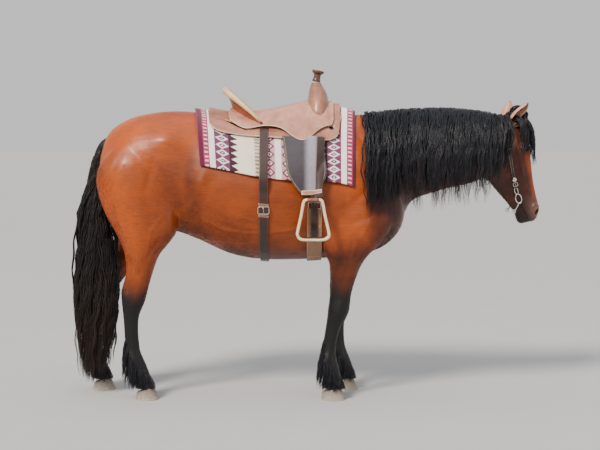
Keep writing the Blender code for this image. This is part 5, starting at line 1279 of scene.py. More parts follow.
tufts, paleTufts = [], []
for left in (-1, 1):
    outAxis, longAxis, tallAxis = eyeAxes(left)
    rim, rimNormals = lidRim(left, 72, eye["radius"] + 0.0016)
    for i, (place, normal) in enumerate(zip(rim, rimNormals)):
        if i in range(3, 34):
            path = bent(place, (normal * 0.9 + tallAxis * 0.25).normalized(),
                        -tallAxis * 0.55 + longAxis * 0.1, 0.014)
            tufts += clump(path, np.tile(np.array(longAxis), (8, 1)), fineStyle, chance, 2)
    for i in range(34):
        a, b = chance.uniform(0.5, 0.6), chance.uniform(-0.085, 0.035)
        hit, normal = bareTree.find_nearest(onHead(a, b, left * chance.uniform(0.02, 0.06)))[:2]
        room = (highest[0] - 0.004 - hit.x) / max(0.1, normal.x + 0.11)
        path = bent(hit - normal * 0.001, normal, downAxis * 0.35, min(room, chance.uniform(0.018, 0.045)))
        tufts += clump(path, np.tile(np.array(aheadAxis), (8, 1)), fineStyle, chance, 1)
    base, tip, facing, length = earWays(left)
    across = tip.cross(facing).normalized()
    for i in range(150):
        t, way = chance.uniform(0.1, 0.8), chance.uniform(-1, 1)
        target = base + tip * (length * t) + facing * 0.004 + across * way * 0.02
        start = target - facing * 0.012 + across * way * 0.006
        hit, normal = skinTree.find_nearest(start)[:2]
        path = bent(hit, (facing * 0.8 + tip * 0.7 - across * way * 0.3).normalized(), tip * 0.25,
                    chance.uniform(0.014, 0.026))
        paleTufts += clump(path, np.tile(np.array(across), (8, 1)), fineStyle, chance, 2)
hairPieces("lashes_and_whiskers", tufts)
hairPieces("ear_hair", paleTufts, (), 1, earHair)

print("tail")
tailSizes = {"locks": 88, "tufts": 19, "bottoms": (0.06, 0.17),
             "middles": [(0.06, -1.215), (0.3, -1.208), (0.55, -1.196), (0.75, -1.194), (0.95, -1.206),
                         (1.15, -1.232),
                         (1.3, -1.218), (1.45, -1.18)],
             "halfLongs": [(0.06, 0.07), (0.3, 0.102), (0.55, 0.128), (0.75, 0.122), (0.95, 0.092),
                           (1.15, 0.055),
                           (1.3, 0.034), (1.45, 0.02)],
             "halfWides": [(0.06, 0.04), (0.3, 0.066), (0.55, 0.078), (0.95, 0.072), (1.15, 0.055),
                           (1.3, 0.036),
                           (1.45, 0.02)],
             "style": {"segments": 34, "ragged": 0.2, "fan": [0.5, 0.9, 1.0, 0.5], "half": 0.023,
                       "deep": 0.01,
                       "wave": 0.006, "waveLength": 0.15, "width": 0.0066, "thick": 0.0016}}
dockLine = spread(dock["line"], 6)
dockThick = [(i / (len(dock["radii"]) - 1), r - 0.003) for i, r in enumerate(dock["radii"])]
tufts = []
for i in range(tailSizes["locks"]):
    down = 0.9 * (((i * 7) % tailSizes["locks"]) / tailSizes["locks"]) ** 1.4
    x, z = dockLine[round(down * (len(dockLine) - 1))]
    thick = between(dockThick, down)
    bearing = 2 * pi * ((i * 0.381966) % 1.0)
    outward = np.array((-cos(bearing), sin(bearing), 0))
    bottom = chance.uniform(*tailSizes["bottoms"])
    phase, reach = chance.uniform(0, 6.28), sqrt(chance.uniform(0.25, 1.0)) * 0.97
    guide = []
    for share in np.linspace(0, 1, 30):
        height = z + 0.01 * sin(min(1.0, share * 6) * pi) - (z - bottom) * share
        settled = min(1.0, share * 3.2)
        px = (x - cos(bearing) * thick) * (1 - settled) + (between(tailSizes["middles"],
                                                                   height) - cos(bearing) * reach
                                  * between(tailSizes["halfLongs"], height)) * settled
        py = sin(bearing) * (thick * (1 - settled) + between(tailSizes["halfWides"],
                                                             height) * reach * settled)
        guide.append((px + 0.012 * sin(phase + 9 * share) * settled,
                      py + 0.005 * cos(phase + 8 * share) * settled, height))
    guide = np.array(guide)
    tufts += clump(guide, np.tile(outward, (len(guide), 1)), tailSizes["style"], chance, tailSizes["tufts"])
hairPieces("tail_hair", tufts, ("tail",), 2, tailHair)

print("feather")
featherSizes = {"locks": 175, "tufts": 6, "low": 0.112, "high": 0.34,
                "arounds": [(0.11, 3.1), (0.15, 2.6), (0.2, 1.7), (0.27, 0.95), (0.34, 0.5)],
                "lengths": [(0.11, 0.07), (0.15, 0.11), (0.2, 0.15), (0.27, 0.15), (0.34, 0.11)],
                "style": {"segments": 8, "ragged": 0.4, "fan": [0.8, 1.0, 1.0, 0.6], "half": 0.007,
                          "deep": 0.003,
                          "wave": 0.0012, "waveLength": 0.06, "width": 0.0028, "thick": 0.0008}}
hoofTops = {}
for name in legs:
    place, size = hoofPlace(name)
    rings = [hoofRing(name, share, 0.0, 40) for share in (0.0, 0.25, 0.5, 0.75, 1.0)]
    hoofTops[name] = lofted("hoof", rings)
for name in legs:
    tufts = []
    tree = treeOf(skin, hoofTops[name])
    place, size = hoofPlace(name)
    table = foreStations if "fore" in name else hindStations
    for i in range(featherSizes["locks"]):
        height = featherSizes["low"] + (featherSizes["high"] - featherSizes["low"]) * chance.random() ** 1.4
        bearing = between(featherSizes["arounds"], height) * chance.uniform(-1, 1)
        outward = Vector((-cos(bearing), sin(bearing), 0))
        moved = between(leftForeAhead if "fore" in name else leftHindAhead, height) if "left" in name else 0.0
        back = float(np.interp(-height, [-r[0] for r in table], [r[1] for r in table]))
        front = float(np.interp(-height, [-r[0] for r in table], [r[2] for r in table]))
        centre = Vector(((back + front) / 2 + moved, place.y, height))
        hit, normal = tree.ray_cast(centre + outward * 0.2, -outward)[:2]
        length = between(featherSizes["lengths"], height) * chance.uniform(0.7, 1.1)
        guide, normals = fallen(tree, hit - outward * 0.002, outward * 0.28 + Vector((0, 0, -0.95)), length,
                                (-0.002, 0.001, chance.uniform(0.001, 0.008)), 0.1, 0.001,
                                chance.uniform(0, 6.28), 1.0, 14)
        guide[:, 2] = np.maximum(guide[:, 2], 0.008 + 0.004 * chance.random())
        tufts += clump(guide, normals, featherSizes["style"], chance, featherSizes["tufts"])
    hairPieces("feather_" + name, tufts)
for old in hoofTops.values():
    drop(old)

print("short coat")
furSizes = {"count": 37000, "length": 0.02, "width": 0.0016, "thick": 0.0004, "rise": 0.0006}


def lieOf(places):
    own = headOwn(places)
    ways = np.tile([-1.0, 0.0, -0.35], (len(places), 1))
    ways[places[:, 0] > 0.4] = (-0.75, 0, -0.65)
    ways[(places[:, 0] < -0.95)] = (-0.35, 0, -1.0)
    ways[places[:, 2] < 0.88] = (-0.12, 0, -1.0)
    face = (own[:, 0] > 0.0) & (places[:, 0] > 1.0)
    ways[face] = downAxis * 0.9 + aheadAxis * -0.1
    return ways


def furTufts():
    mesh = skin.data
    mesh.calc_loop_triangles()
    corners = np.empty(len(mesh.loop_triangles) * 3, int)
    mesh.loop_triangles.foreach_get("vertices", corners)
    places = placesOf(skin)
    normals = normalsOf(skin)
    triangles = corners.reshape(-1, 3)
    a, b, c = [places[triangles[:, k]] for k in range(3)]
    faceNormals = np.cross(b - a, c - a)
    areas = sizeOf(faceNormals) / 2
    faceNormals /= 2 * areas[:, None] + 1e-12
    middle = (a + b + c) / 3
    own = headOwn(middle)
    x, z = middle[:, 0], middle[:, 2]
    weight = 0.05 * areas
    under = smoothStep(0.25, 0.75, -faceNormals[:, 2])  # belly, breast and jaw
    behind = smoothStep(0.2, 0.8, -faceNormals[:, 0]) * (z < 1.3) * ((x < -0.9) | (z < 0.98))
    weight += areas * np.maximum(under, behind)
    weight += areas * 0.8 * (z < 0.36) + areas * 0.6 * ((np.abs(z - 0.6) < 0.12) & (faceNormals[:, 0] > 0.5))
    face = (own[:, 0] > 0.0) & (x > 1.0)
    weight[face] *= 1.6
    weight[(own[:, 0] > 0.53) & face] = 0
    for left in (-1, 1):
        weight[sizeOf(middle - np.array(eyeCentre(left))) < 0.034] = 0
        weight[sizeOf(middle - np.array(onHead(-0.05, 0.03, left * 0.06))) < 0.12] = 0
    weight[(x > -0.68) & (x < 0.29) & (z > 1.1)] = 0  # under the saddle blanket
    weight[(x > -0.3) & (x < 0.08)] *= 0.0  # under the cinches
    draw = np.random.default_rng(hairSeed)
    picked = draw.choice(len(weight), furSizes["count"], p=weight / weight.sum())
    u, v = draw.random(len(picked)), draw.random(len(picked))
    turned = u + v > 1
    u[turned], v[turned] = 1 - u[turned], 1 - v[turned]
    roots = a[picked] + (b - a)[picked] * u[:, None] + (c - a)[picked] * v[:, None]
    n = faceNormals[picked]
    ways = lieOf(roots) + draw.normal(size=roots.shape) * 0.1
    ways -= n * (ways * n).sum(1)[:, None]
    ways = unit(ways)
    tufts = []
    for root, normal, way, size in zip(roots, n, ways, draw.uniform(0.6, 1.25, len(roots))):
        small = 0.55 if root[0] > 1.0 or root[2] < 0.5 else 1.0
        loose = 2.6 if normal[2] < -0.35 or root[2] < 0.3 else 1.0  # the coat stands off more under the belly
        long = furSizes["length"] * size * small
        path = np.array([root - normal * 0.0006, root + way * long * 0.5 + normal * furSizes["rise"] * small * loose,
                         root + way * long + normal * furSizes["rise"] * 0.8 * size * small * loose])
        tufts.append({"path": path, "normals": np.tile(normal, (3, 1)), "root": root, "tone": 0.5,
                      "widths": furSizes["width"] * small * np.array([0.7, 1.0, 0.1]),
                      "thicks": furSizes["thick"] * np.array([0.6, 1.0, 0.3])})
    return tufts


allFur = furTufts()
for i in range(2):
    fur, furRoots = tuftMesh(f"short_coat_{i + 1}", allFur[i::2])
    paint(fur, furRoots)
    settle(fur, "coat", (), coat, False)

flesh = ["torso", "neck", "head", "ear_right", "ear_left"] + ["leg_" + n for n in legs] + ["fetlock_" + n for n in legs]
settle(skin, "coat", flesh, coat)
print("skin triangles", sum(len(p.vertices) - 2 for p in skin.data.polygons))

print("eyes and hooves")
eyeSizes = {"pupilLong": 0.34, "pupilTall": 0.17, "iris": 0.62, "segments": 72, "rings": 48}


# Wet cornea over a dark brown iris with the horse's level pupil: one clear, hard shine over a deep colour
def eyeMaterial():
    material, add, shader, place = newMaterial("wet cornea over brown iris",
                                               {"Roughness": 0.5, "Coat Weight": 1.0, "Coat IOR": 1.38,
                                                "Coat Roughness": 0.02, "Specular IOR Level": 0.0})
    long, tall = [add("Attribute", attribute_name=n).outputs["Fac"] for n in ("eyeLong", "eyeTall")]
    flat = add("CombineXYZ", {0: long, 1: tall})
    out = add("VectorMath", {0: flat}, operation="LENGTH")
    slot = add("VectorMath", {0: flat, 1: (1 / eyeSizes["pupilLong"], 1 / eyeSizes["pupilTall"], 0)},
                   operation="MULTIPLY")
    slot = add("VectorMath", {0: slot}, operation="LENGTH")
    fibres = add("TexNoise", {"Vector": place, "Scale": 900.0, "Detail": 2.0})
    iris = add("Mix", {0: fibres, 6: "#0E0603", 7: "#321808"},
                   data_type="RGBA")
    inIris = add("MapRange", {"Value": out, "From Min": eyeSizes["iris"] - 0.03,
                                                  "From Max": eyeSizes["iris"] + 0.03})
    white = add("Mix", {0: inIris, 6: iris, 7: "#241915"}, data_type="RGBA")
    inPupil = add("MapRange", {"Value": slot, "From Min": 0.92, "From Max": 1.08})
    colour = add("Mix", {0: inPupil, 6: "#07070B", 7: white}, data_type="RGBA")
    feed(shader, {"Base Color": colour})
    return material


cornea = eyeMaterial()
for side, left in (("right", -1), ("left", 1)):
    made = ball("eyeball_" + side, eyeCentre(left), eye["radius"], eyeSizes["segments"], eyeSizes["rings"])
    outAxis, longAxis, tallAxis = [np.array(a) for a in eyeAxes(left)]
    off = (placesOf(made) - np.array(eyeCentre(left))) / eye["radius"]
    behind = (off @ outAxis) < 0
    for key, axis in (("eyeLong", longAxis), ("eyeTall", tallAxis)):
        values = np.where(behind, 1.0, off @ axis)
        note(made, key, values)
    settle(made, "eye", ("eye_" + side,), cornea)


# Hoof horn: grown downwards in rings a few millimetres apart, dull, with dust on the lower part
def hornMaterial():
    material, add, shader, place = newMaterial("hoof horn, dusty", {"Roughness": 0.62})
    level = add("Mapping", {"Vector": place, "Scale": (12, 12, 260)})
    rings = add("TexNoise", {"Vector": level, "Scale": 1.0, "Detail": 2.0})
    tall = add("Mapping", {"Vector": place, "Scale": (900, 900, 20)})
    tubules = add("TexNoise", {"Vector": tall, "Scale": 1.0, "Detail": 1.0})
    horn = add("Mix", {0: rings, 6: "#4B443F", 7: "#857B70"},
                   data_type="RGBA")
    height = add("SeparateXYZ", {0: place}).outputs[2]
    patches = add("TexNoise", {"Vector": place, "Scale": 60.0, "Detail": 4.0})
    low = add("MapRange", {"Value": height, "From Min": 0.0, "From Max": 0.06, "To Min": 1.1,
                                               "To Max": 0.0})
    dust = add("Math", {0: low, 1: patches}, operation="MULTIPLY", use_clamp=True)
    colour = add("Mix", {0: dust, 6: horn, 7: "#BDB0A0"}, data_type="RGBA")
    feed(shader, {"Base Color": colour})
    height = add("Math", {0: rings, 1: tubules}, operation="ADD")
    bump = add("Bump", {"Height": height, "Strength": 0.5, "Distance": 0.0008})
    feed(shader, {"Normal": bump})
    return material


hoofHorn = hornMaterial()
for name in legs:
    rows = [(0.0, 0.006), (0.0, 0.001)] + [(0.02 + 0.96 * i / 19,
                                            0.0006 * (i % 2) * (1 - i / 25)) for i in range(20)]
    made = lofted("hoof_horn_" + name, [hoofRing(name, share, inset, 64) for share,
                                        inset in rows + [(1.0, 0.003)]])
    settle(made, "horn", ("hoof_" + name,), hoofHorn)


# Tack lies round the trunk in layers, at ways measured from the top of the back

blanket = {"back": -0.643, "front": 0.25, "drop": 0.49, "under": 0.009, "thick": 0.01, "tent": 0.008}
skirt = {"back": -0.56, "front": 0.166, "drop": 0.285, "rise": 0.19, "thick": 0.008}
layer = 0.0062
blanketTop = blanket["under"] + blanket["thick"] + layer
skirtTop = blanketTop + skirt["thick"] + layer


def tent(arc):
    return blanket["tent"] * exp(-(arc / 0.08) ** 2)


def arcSteps(count):
    return [copysign(abs(u) ** 1.35, u) for u in steps(-1, 1, count)]


def rounded(u, share, power=2.4):
    return share + (1 - share) * (1 - abs(2 * u - 1) ** power) ** (1 / power)


def sheetOf(name, grid, thick, inside, ways=None, bevel=0.0012):
    # an open sheet through a grid of places, made solid away from a place inside; "edge" is the way to its rim
    rows, columns = len(grid), len(grid[0])
    faces = [(r * columns + c, r * columns + c + 1, (r + 1) * columns + c + 1, (r + 1) * columns + c)
             for r in range(rows - 1) for c in range(columns - 1)]
    made = meshObject(name, [p for row in grid for p in row], faces)
    places = placesOf(made).reshape(rows, columns, 3)
    down = np.linalg.norm(np.diff(places, axis=0), axis=2).cumsum(0)
    down = np.concatenate([np.zeros((1, columns)), down])
    across = np.linalg.norm(np.diff(places, axis=1), axis=2).cumsum(1)
    across = np.concatenate([np.zeros((rows, 1)), across], 1)
    edge = np.minimum(np.minimum(down, down[-1] - down), np.minimum(across, across[:, -1:] - across))
    note(made, "edge", edge)
    if ways is not None:
        for k, key in enumerate(("wayAlong", "wayAcross")):
            values = np.array([[w[k] for w in row] for row in ways], np.float32)
            note(made, key, values)
    face = made.data.polygons[(rows // 2) * (columns - 1) + columns // 2]
    if face.normal.dot(face.center - inside) < 0:
        made.data.flip_normals()
    solidify = made.modifiers.new("thick", "SOLIDIFY")
    solidify.thickness = thick
    solidify.offset = 1.0
    if bevel:
        round_ = made.modifiers.new("rim", "BEVEL")
        round_.width = bevel
        round_.segments = 2
        round_.angle_limit = radians(50)
    return baked(made)


def onTrunk(name, rows, low, thick, ways=None, bevel=0.0012):
    grid = [[over(x, arc, low(x, arc)) for x, arc in row] for row in rows]
    middle = rows[len(rows) // 2][len(rows[0]) // 2][0]
    return sheetOf(name, grid, thick, Vector((middle, 0, 1.17)), ways, bevel)


# Leather: grain 0.8 mm across, drawn at 1.5 mm so that it shows; darker where the crease noise is low; paler rims,
# partly the burnished cut edge and partly a painted highlight;
# and where a band is named, a painted highlight of the sky's reflection runs down the middle of the piece
def leatherMaterial(name, mainHex, deepHex, rimAndHighlightHex, rough, coatLevel, highlightBand=None):
    material, add, shader, place = newMaterial(name,
                                               {"Roughness": rough, "Coat Weight": coatLevel,
                                                "Coat Roughness": 0.22,
                                                               "Specular IOR Level": 0.4})
    grain = add("TexVoronoi", {"Vector": place, "Scale": 650.0})
    wear = add("TexNoise", {"Vector": place, "Scale": 7.0, "Detail": 7.0, "Roughness": 0.62})
    wear = add("MapRange", {"Value": wear, "From Min": 0.34, "From Max": 0.72})
    colour = add("Mix", {0: wear, 6: mainHex, 7: deepHex},
                     data_type="RGBA")
    # a painted highlight: a pale band down the middle of the piece, for the sky's reflection in the glaze
    if highlightBand:
        middle, half, hexCode = highlightBand
        x = add("SeparateXYZ", {0: place}).outputs[0]
        off = add("Math", {0: x, 1: -middle}, operation="ADD")
        off = add("Math", {0: off}, operation="ABSOLUTE")
        paintedHighlight = add("MapRange", {"Value": off, "From Min": 0.15 * half, "From Max": half, "To Min": 0.85,
                                                    "To Max": 0.0}, interpolation_type="SMOOTHSTEP")
        colour = add("Mix", {0: paintedHighlight, 6: colour, 7: hexCode}, data_type="RGBA")
    # paler rims: partly the burnished cut edge, partly a painted highlight
    edge = add("Attribute", attribute_name="edge").outputs["Fac"]
    rim = add("MapRange", {"Value": edge, "From Min": 0.001, "From Max": 0.0045, "To Min": 1.0,
                                               "To Max": 0.0})
    colour = add("Mix", {0: rim, 6: colour, 7: rimAndHighlightHex}, data_type="RGBA")
    crease = add("TexNoise", {"Vector": place, "Scale": 60.0, "Detail": 5.0, "Distortion": 1.2})
    # darker where the crease noise is low, where the bump also sinks
    creaseDarkening = add("MapRange", {"Value": crease, "From Min": 0.3, "From Max": 0.52, "To Min": 0.78,
                                                "To Max": 1.0})
    colour = add("VectorMath", {0: colour, "Scale": creaseDarkening}, operation="SCALE")
    feed(shader, {"Base Color": colour})
    gloss = add("MapRange", {"Value": wear, "To Min": rough - 0.07, "To Max": rough + 0.1})
    feed(shader, {"Roughness": gloss})
    height = add("Math", {0: grain, 1: crease}, operation="ADD")
    bump = add("Bump", {"Height": height, "Strength": 0.35, "Distance": 0.0007})
    feed(shader, {"Normal": bump})
    return material


tanLeather = leatherMaterial("vegetable-tanned skirting leather", "#C68E7C", "#96604F", "#EBD0B4", 0.44, 0.14)
# the skirts take the seat's leather a shade darker: painted shade, as they lie below the seat's edge
skirtLeather = leatherMaterial("skirting leather, painted shade", "#B27A66", "#7C4939", "#E3C3A2", 0.44, 0.14)
backLeather = leatherMaterial("oiled skirting leather", "#A0583C", "#6E3423", "#C98F66", 0.42, 0.16)
forkLeather = leatherMaterial("polished fork leather", "#A9735A", "#6B3C2B", "#C99B78", 0.34, 0.4)
hornLeather = leatherMaterial("dark horn leather", "#6A4330", "#38201A", "#8C6249", 0.36, 0.3)
paleLeather = leatherMaterial("pale roll leather", "#E2C290", "#C9A070", "#F0DDB8", 0.4, 0.18)
# the fender's pale middle band is a painted highlight, the sky's reflection in its glaze
fenderLeather = leatherMaterial("dark glazed leather", "#3D353C", "#241D22", "#5C4C48", 0.32, 0.35,
                                (ahead + 0.008, 0.052, "#9C93A2"))
strapLeather = leatherMaterial("dark bridle leather", "#3B241D", "#1F1210", "#5A382A", 0.38, 0.22)
latigoLeather = leatherMaterial("latigo leather", "#8A5844", "#5A3427", "#A97858", 0.42, 0.18)
# a near-black sheet laid under the slots in the skirts: painted shadow
slotShadowLeather = leatherMaterial("painted slot shadow", "#1C1210", "#0E0908", "#1C1210", 0.7, 0.0)


# Hand-woven wool: weft yarns 3 mm apart in stripes across the horse, steps in the figures a yarn high, no shine
def woolMaterial():
    material, add, shader, place = newMaterial("hand-woven wool",
                                               {"Roughness": 0.95, "Sheen Weight": 0.2,
                                                "Sheen Roughness": 0.6,
                                                                            "Specular IOR Level": 0.2})
    along, across = [add("Attribute", attribute_name=n).outputs["Fac"]
                     for n in ("wayAlong", "wayAcross")]
    s = add("Math", {0: along, 1: blanketPattern["middle"]}, operation="SUBTRACT")
    s = add("Math", {0: s}, operation="ABSOLUTE")
    s = add("Math", {0: s, 1: 0.003}, operation="SNAP")
    v = add("Math", {0: across, 1: 2.0}, operation="ADD")
    v = add("Math", {0: v, 1: 0.0036}, operation="SNAP")
    share = add("Math", {0: s, 1: blanketPattern["half"]}, operation="DIVIDE")
    ramp = add("ValToRGB", {0: share})
    ramp.color_ramp.interpolation = "CONSTANT"
    stops = blanketPattern["stripes"]
    while len(ramp.color_ramp.elements) < len(stops):
        ramp.color_ramp.elements.new(0.5)
    for element, (start, hexCode) in zip(ramp.color_ramp.elements, stops):
        element.position = start / blanketPattern["half"]
    for element, (start, hexCode) in zip(ramp.color_ramp.elements, stops):
        element.color = linear(hexCode)
    colour = ramp.outputs[0]
    # a figure is where the way from a stripe's middle, in half widths, times one share plus a zigzag times another
    # stays under a size: diamonds take both, ticks take only the zigzag, saw teeth lean on one side
    for middle, half, period, way, zig, size, hexCode in blanketPattern["figures"]:
        off = add("Math", {0: s, 1: middle}, operation="SUBTRACT")
        inside = add("Math", {0: s, 1: middle, 2: half}, operation="COMPARE")
        if zig > 0 and way > 0:
            off = add("Math", {0: off}, operation="ABSOLUTE")
        off = add("Math", {0: off, 1: way / half}, operation="MULTIPLY")
        teeth = add("Math", {0: v, 1: period / 2}, operation="PINGPONG")
        total = add("Math", {0: teeth, 1: 2 * zig / period, 2: off}, operation="MULTIPLY_ADD")
        mask = add("Math", {0: total, 1: size}, operation="LESS_THAN")
        mask = add("Math", {0: mask, 1: inside}, operation="MULTIPLY")
        colour = add("Mix", {0: mask, 6: colour, 7: hexCode}, data_type="RGBA")
    fuzz = add("TexNoise", {"Vector": place, "Scale": 420.0, "Detail": 4.0})
    soil = add("TexNoise", {"Vector": place, "Scale": 9.0, "Detail": 5.0})
    both = add("Math", {0: fuzz, 1: soil}, operation="ADD")
    light = add("MapRange", {"Value": both, "From Min": 0.7, "From Max": 1.3, "To Min": 0.8,
                                                 "To Max": 1.06})
    colour = add("VectorMath", {0: colour, "Scale": light}, operation="SCALE")
    feed(shader, {"Base Color": colour})
    height = fuzz
    for source, spacing, share in ((across, 0.0036, 0.5), (along, 0.006, 0.25)):  # weft and warp
        wave = add("Math", {0: source, 1: 2 * pi / spacing}, operation="MULTIPLY")
        wave = add("Math", {0: wave}, operation="SINE")
        height = add("Math", {0: wave, 1: share, 2: height}, operation="MULTIPLY_ADD")
    bump = add("Bump", {"Height": height, "Strength": 0.55, "Distance": 0.0012})
    feed(shader, {"Normal": bump})
    return material


# Distances from the blanket's middle stripe, in metres, and the colour that starts there; figures as middle, half
# width, period, shares of the way and of the zigzag, size and colour
blanketPattern = {"middle": 0.455, "half": 0.46,
                  "stripes": [(0.0, "#EFE8E2"), (0.016, "#C39AA2"), (0.078, "#2E1A25"), (0.086, "#D9CDB8"),
                              (0.134, "#EDE4D0"), (0.266, "#3A1728"), (0.276, "#6E3356"), (0.356, "#F3ECE9"),
                              (0.39, "#982F55"), (0.424, "#5A1230"), (0.446, "#87224A")],
                  "figures": [(0.047, 0.03, 0.052, 1, 1, 1.0, "#7C2548"),
                              (0.047, 0.03, 0.052, 1, 1, 0.55, "#E9DCD6"),
                              (0.047, 0.03, 0.052, 1, 1, 0.25, "#7C2548"),
                              (0.316, 0.04, 0.044, 1, 1, 0.95, "#EBDCDC"),
                              (0.316, 0.04, 0.044, 1, 1, 0.5, "#4C1C3C"),
                              (0.316, 0.04, 0.044, 1, 1, 0.2, "#EBDCDC"),
                              (0.117, 0.013, 0.022, 0, -1, -0.55, "#837A6E"),
                              (0.409, 0.011, 0.024, 0, -1, -0.6, "#E3B4BC"),
                              (0.247, 0.025, 0.036, -1, 1.6, 0.84, "#3A1728")]}
print("blanket")
wool = woolMaterial()
rows, ways = [], []
for u in steps(0, 1, 110):
    row, wayRow = [], []
    for arc in steps(-1, 1, 151):
        fall = blanket["drop"] - 0.035 * (1 - u)
        x = blanket["back"] + (blanket["front"] - blanket["back"]) * u
        x += 0.05 * abs(arc) * (1 - u) - 0.012 * abs(arc) * u
        row.append((x, arc * fall))
        wayRow.append((u * (blanket["front"] - blanket["back"]), arc * fall))
    rows.append(row)
    ways.append(wayRow)


def blanketLift(x, arc):
    # lies close, with the soft waves of cloth that hangs free towards its lower edge
    hang = max(0.0, (abs(arc) - 0.28) / 0.2)
    return blanket["under"] - 0.002 + tent(arc) + 0.003 * hang * sin(x * 31 + 4 * arc) + 0.004 * hang


blanketPiece = onTrunk("saddle_blanket", rows, blanketLift, 0.0085, ways, 0.003)
settle(blanketPiece, "blanket", ("blanket",), wool)


# Rows of stitches: the tree sets one short thread on each step of a path
stitchSizes = {"step": 0.0065, "long": 0.0048, "thread": 0.0008}


def stitchTree(material):
    tree = bpy.data.node_groups.new("stitches along a path", "GeometryNodeTree")
    for name, kind, socket in (("Path", "INPUT", "NodeSocketGeometry"), ("Step", "INPUT", "NodeSocketFloat"),
                               ("Length", "INPUT", "NodeSocketFloat"), ("Thread", "INPUT", "NodeSocketFloat"),
                               ("Stitches", "OUTPUT", "NodeSocketGeometry")):
        tree.interface.new_socket(name, in_out=kind, socket_type=socket)
    given, result = tree.nodes.new("NodeGroupInput"), tree.nodes.new("NodeGroupOutput")
    curve = addNode(tree, "GeometryNodeMeshToCurve", {"Mesh": given.outputs["Path"]})
    places = addNode(tree, "GeometryNodeCurveToPoints", {"Curve": curve, "Length": given.outputs["Step"]},
                     mode="LENGTH")
    thread = addNode(tree, "GeometryNodeMeshCylinder", {"Vertices": 6, "Radius": given.outputs["Thread"],
                                                        "Depth": given.outputs["Length"]})
    turn = addNode(tree, "FunctionNodeAlignRotationToVector", {"Vector": places.outputs["Tangent"]}, axis="Z")
    put = addNode(tree, "GeometryNodeInstanceOnPoints",
                  {"Points": places.outputs["Points"], "Instance": thread,
                                                         "Rotation": turn})
    real = addNode(tree, "GeometryNodeRealizeInstances", {"Geometry": put})
    done = addNode(tree, "GeometryNodeSetMaterial", {"Geometry": real, "Material": material})
    feed(result, {0: done})
    return tree


def threadMaterial():
    # waxed linen thread: twisted, pale, slightly shiny
    material, add, shader, place = newMaterial("waxed linen thread", {"Roughness": 0.5})
    twist = add("TexNoise", {"Vector": place, "Scale": 1500.0, "Detail": 1.0})
    colour = add("Mix", {0: twist, 6: "#A88C66", 7: "#D6C19A"},
                     data_type="RGBA")
    feed(shader, {"Base Color": colour})
    return material


thread = threadMaterial()
stitches = stitchTree(thread)


def stitched(name, paths, slot):
    points, edges = [], []
    for path in paths:
        edges += [(len(points) + i, len(points) + i + 1) for i in range(len(path) - 1)]
        points += path
    line = meshObject(name + "_path", points, [])
    line.data.edges.add(len(edges))
    line.data.edges.foreach_set("vertices", [i for pair in edges for i in pair])
    modifier = line.modifiers.new("stitches", "NODES")
    modifier.node_group = stitches
    for item in stitches.interface.items_tree:
        if item.in_out == "INPUT" and item.name in ("Step", "Length", "Thread"):
            key = {"Step": "step", "Length": "long", "Thread": "thread"}[item.name]
            modifier[item.identifier] = stitchSizes[key]
    bpy.context.view_layer.update()
    graph = bpy.context.evaluated_depsgraph_get()
    made = bpy.data.objects.new(name, bpy.data.meshes.new_from_object(line.evaluated_get(graph)))
    bpy.context.scene.collection.objects.link(made)
    drop(line)
    return settle(made, slot)


def ringOf(name, points, normals, radius, sides=8):
    # a closed wire ring through places
    rings, count = [], len(points)
    for i, point in enumerate(points):
        along = (points[(i + 1) % count] - points[i - 1]).normalized()
        side = along.cross(normals[i]).normalized()
        rings.append(ring(point, side, side.cross(along), radius, radius, radius, 2.0, 2.0, sides))
    return outwards(meshObject(name, *wrapped(rings, True)))


def roundedBox(centre, u, v, halfU, halfV, corner, count=8):
    points = []
    for k in range(4):
        cu, cv = (1, -1, -1, 1)[k] * (halfU - corner), (1, 1, -1, -1)[k] * (halfV - corner)
        for i in range(count):
            a = pi / 2 * (k + i / (count - 1))
            points.append(centre + u * (cu + corner * cos(a)) + v * (cv + corner * sin(a)))
    return points


def gathered(name, pieces):
    # one mesh of separate closed parts
    points, faces, edges = [], [], []
    for piece in pieces:
        start = len(points)
        points += [v.co.copy() for v in piece.data.vertices]
        faces += [tuple(start + i for i in f.vertices) for f in piece.data.polygons]
        found = piece.data.attributes.get("edge")
        edges += [d.value for d in found.data] if found else [0.01] * len(piece.data.vertices)
    made = meshObject(name, points, faces)
    note(made, "edge", edges)
    drop(*pieces)
    return made


def buckle(centre, u, v, halfU, halfV, wire=0.0022):
    normal = u.cross(v).normalized()
    frameRing = ringOf("buckle", roundedBox(centre, u, v, halfU, halfV, min(halfU, halfV) * 0.45),
                       [normal] * 32, wire)
    tongue = tube("tongue", [centre - v * halfV, centre + normal * wire,
                             centre + v * (halfV + wire) + normal * wire],
                  wire * 0.7, 8, 1.0, [normal] * 3)
    return [frameRing, tongue]


# Nickel-plated steel, cast and tumbled: bright, with fine scratches in the gloss only
def steelMaterial():
    material, add, shader, place = newMaterial("nickel-plated steel", {"Roughness": 0.26, "Metallic": 1.0})
    marks = add("TexNoise", {"Vector": place, "Scale": 260.0, "Detail": 4.0})
    gloss = add("MapRange", {"Value": marks, "To Min": 0.16, "To Max": 0.42})
    feed(shader, {"Roughness": gloss})
    colour = add("Mix", {0: marks, 6: "#BDB7AE", 7: "#E6E2DA"},
                     data_type="RGBA")
    feed(shader, {"Base Color": colour})
    return material


steel = steelMaterial()

print("saddle")
skirtRows = []
for u in steps(0, 1, 70):
    x = skirt["back"] + (skirt["front"] - skirt["back"]) * u
    fall = skirt["drop"] * rounded(u, 0.35, 4.0) * (1 - skirt["rise"] * sin(pi * u))
    skirtRows.append([(x, a * fall) for a in arcSteps(61)])
skirtLow = lambda x, a: blanketTop + tent(a)
skirtPiece = onTrunk("skirts", skirtRows, skirtLow, skirt["thick"] - 0.0005)
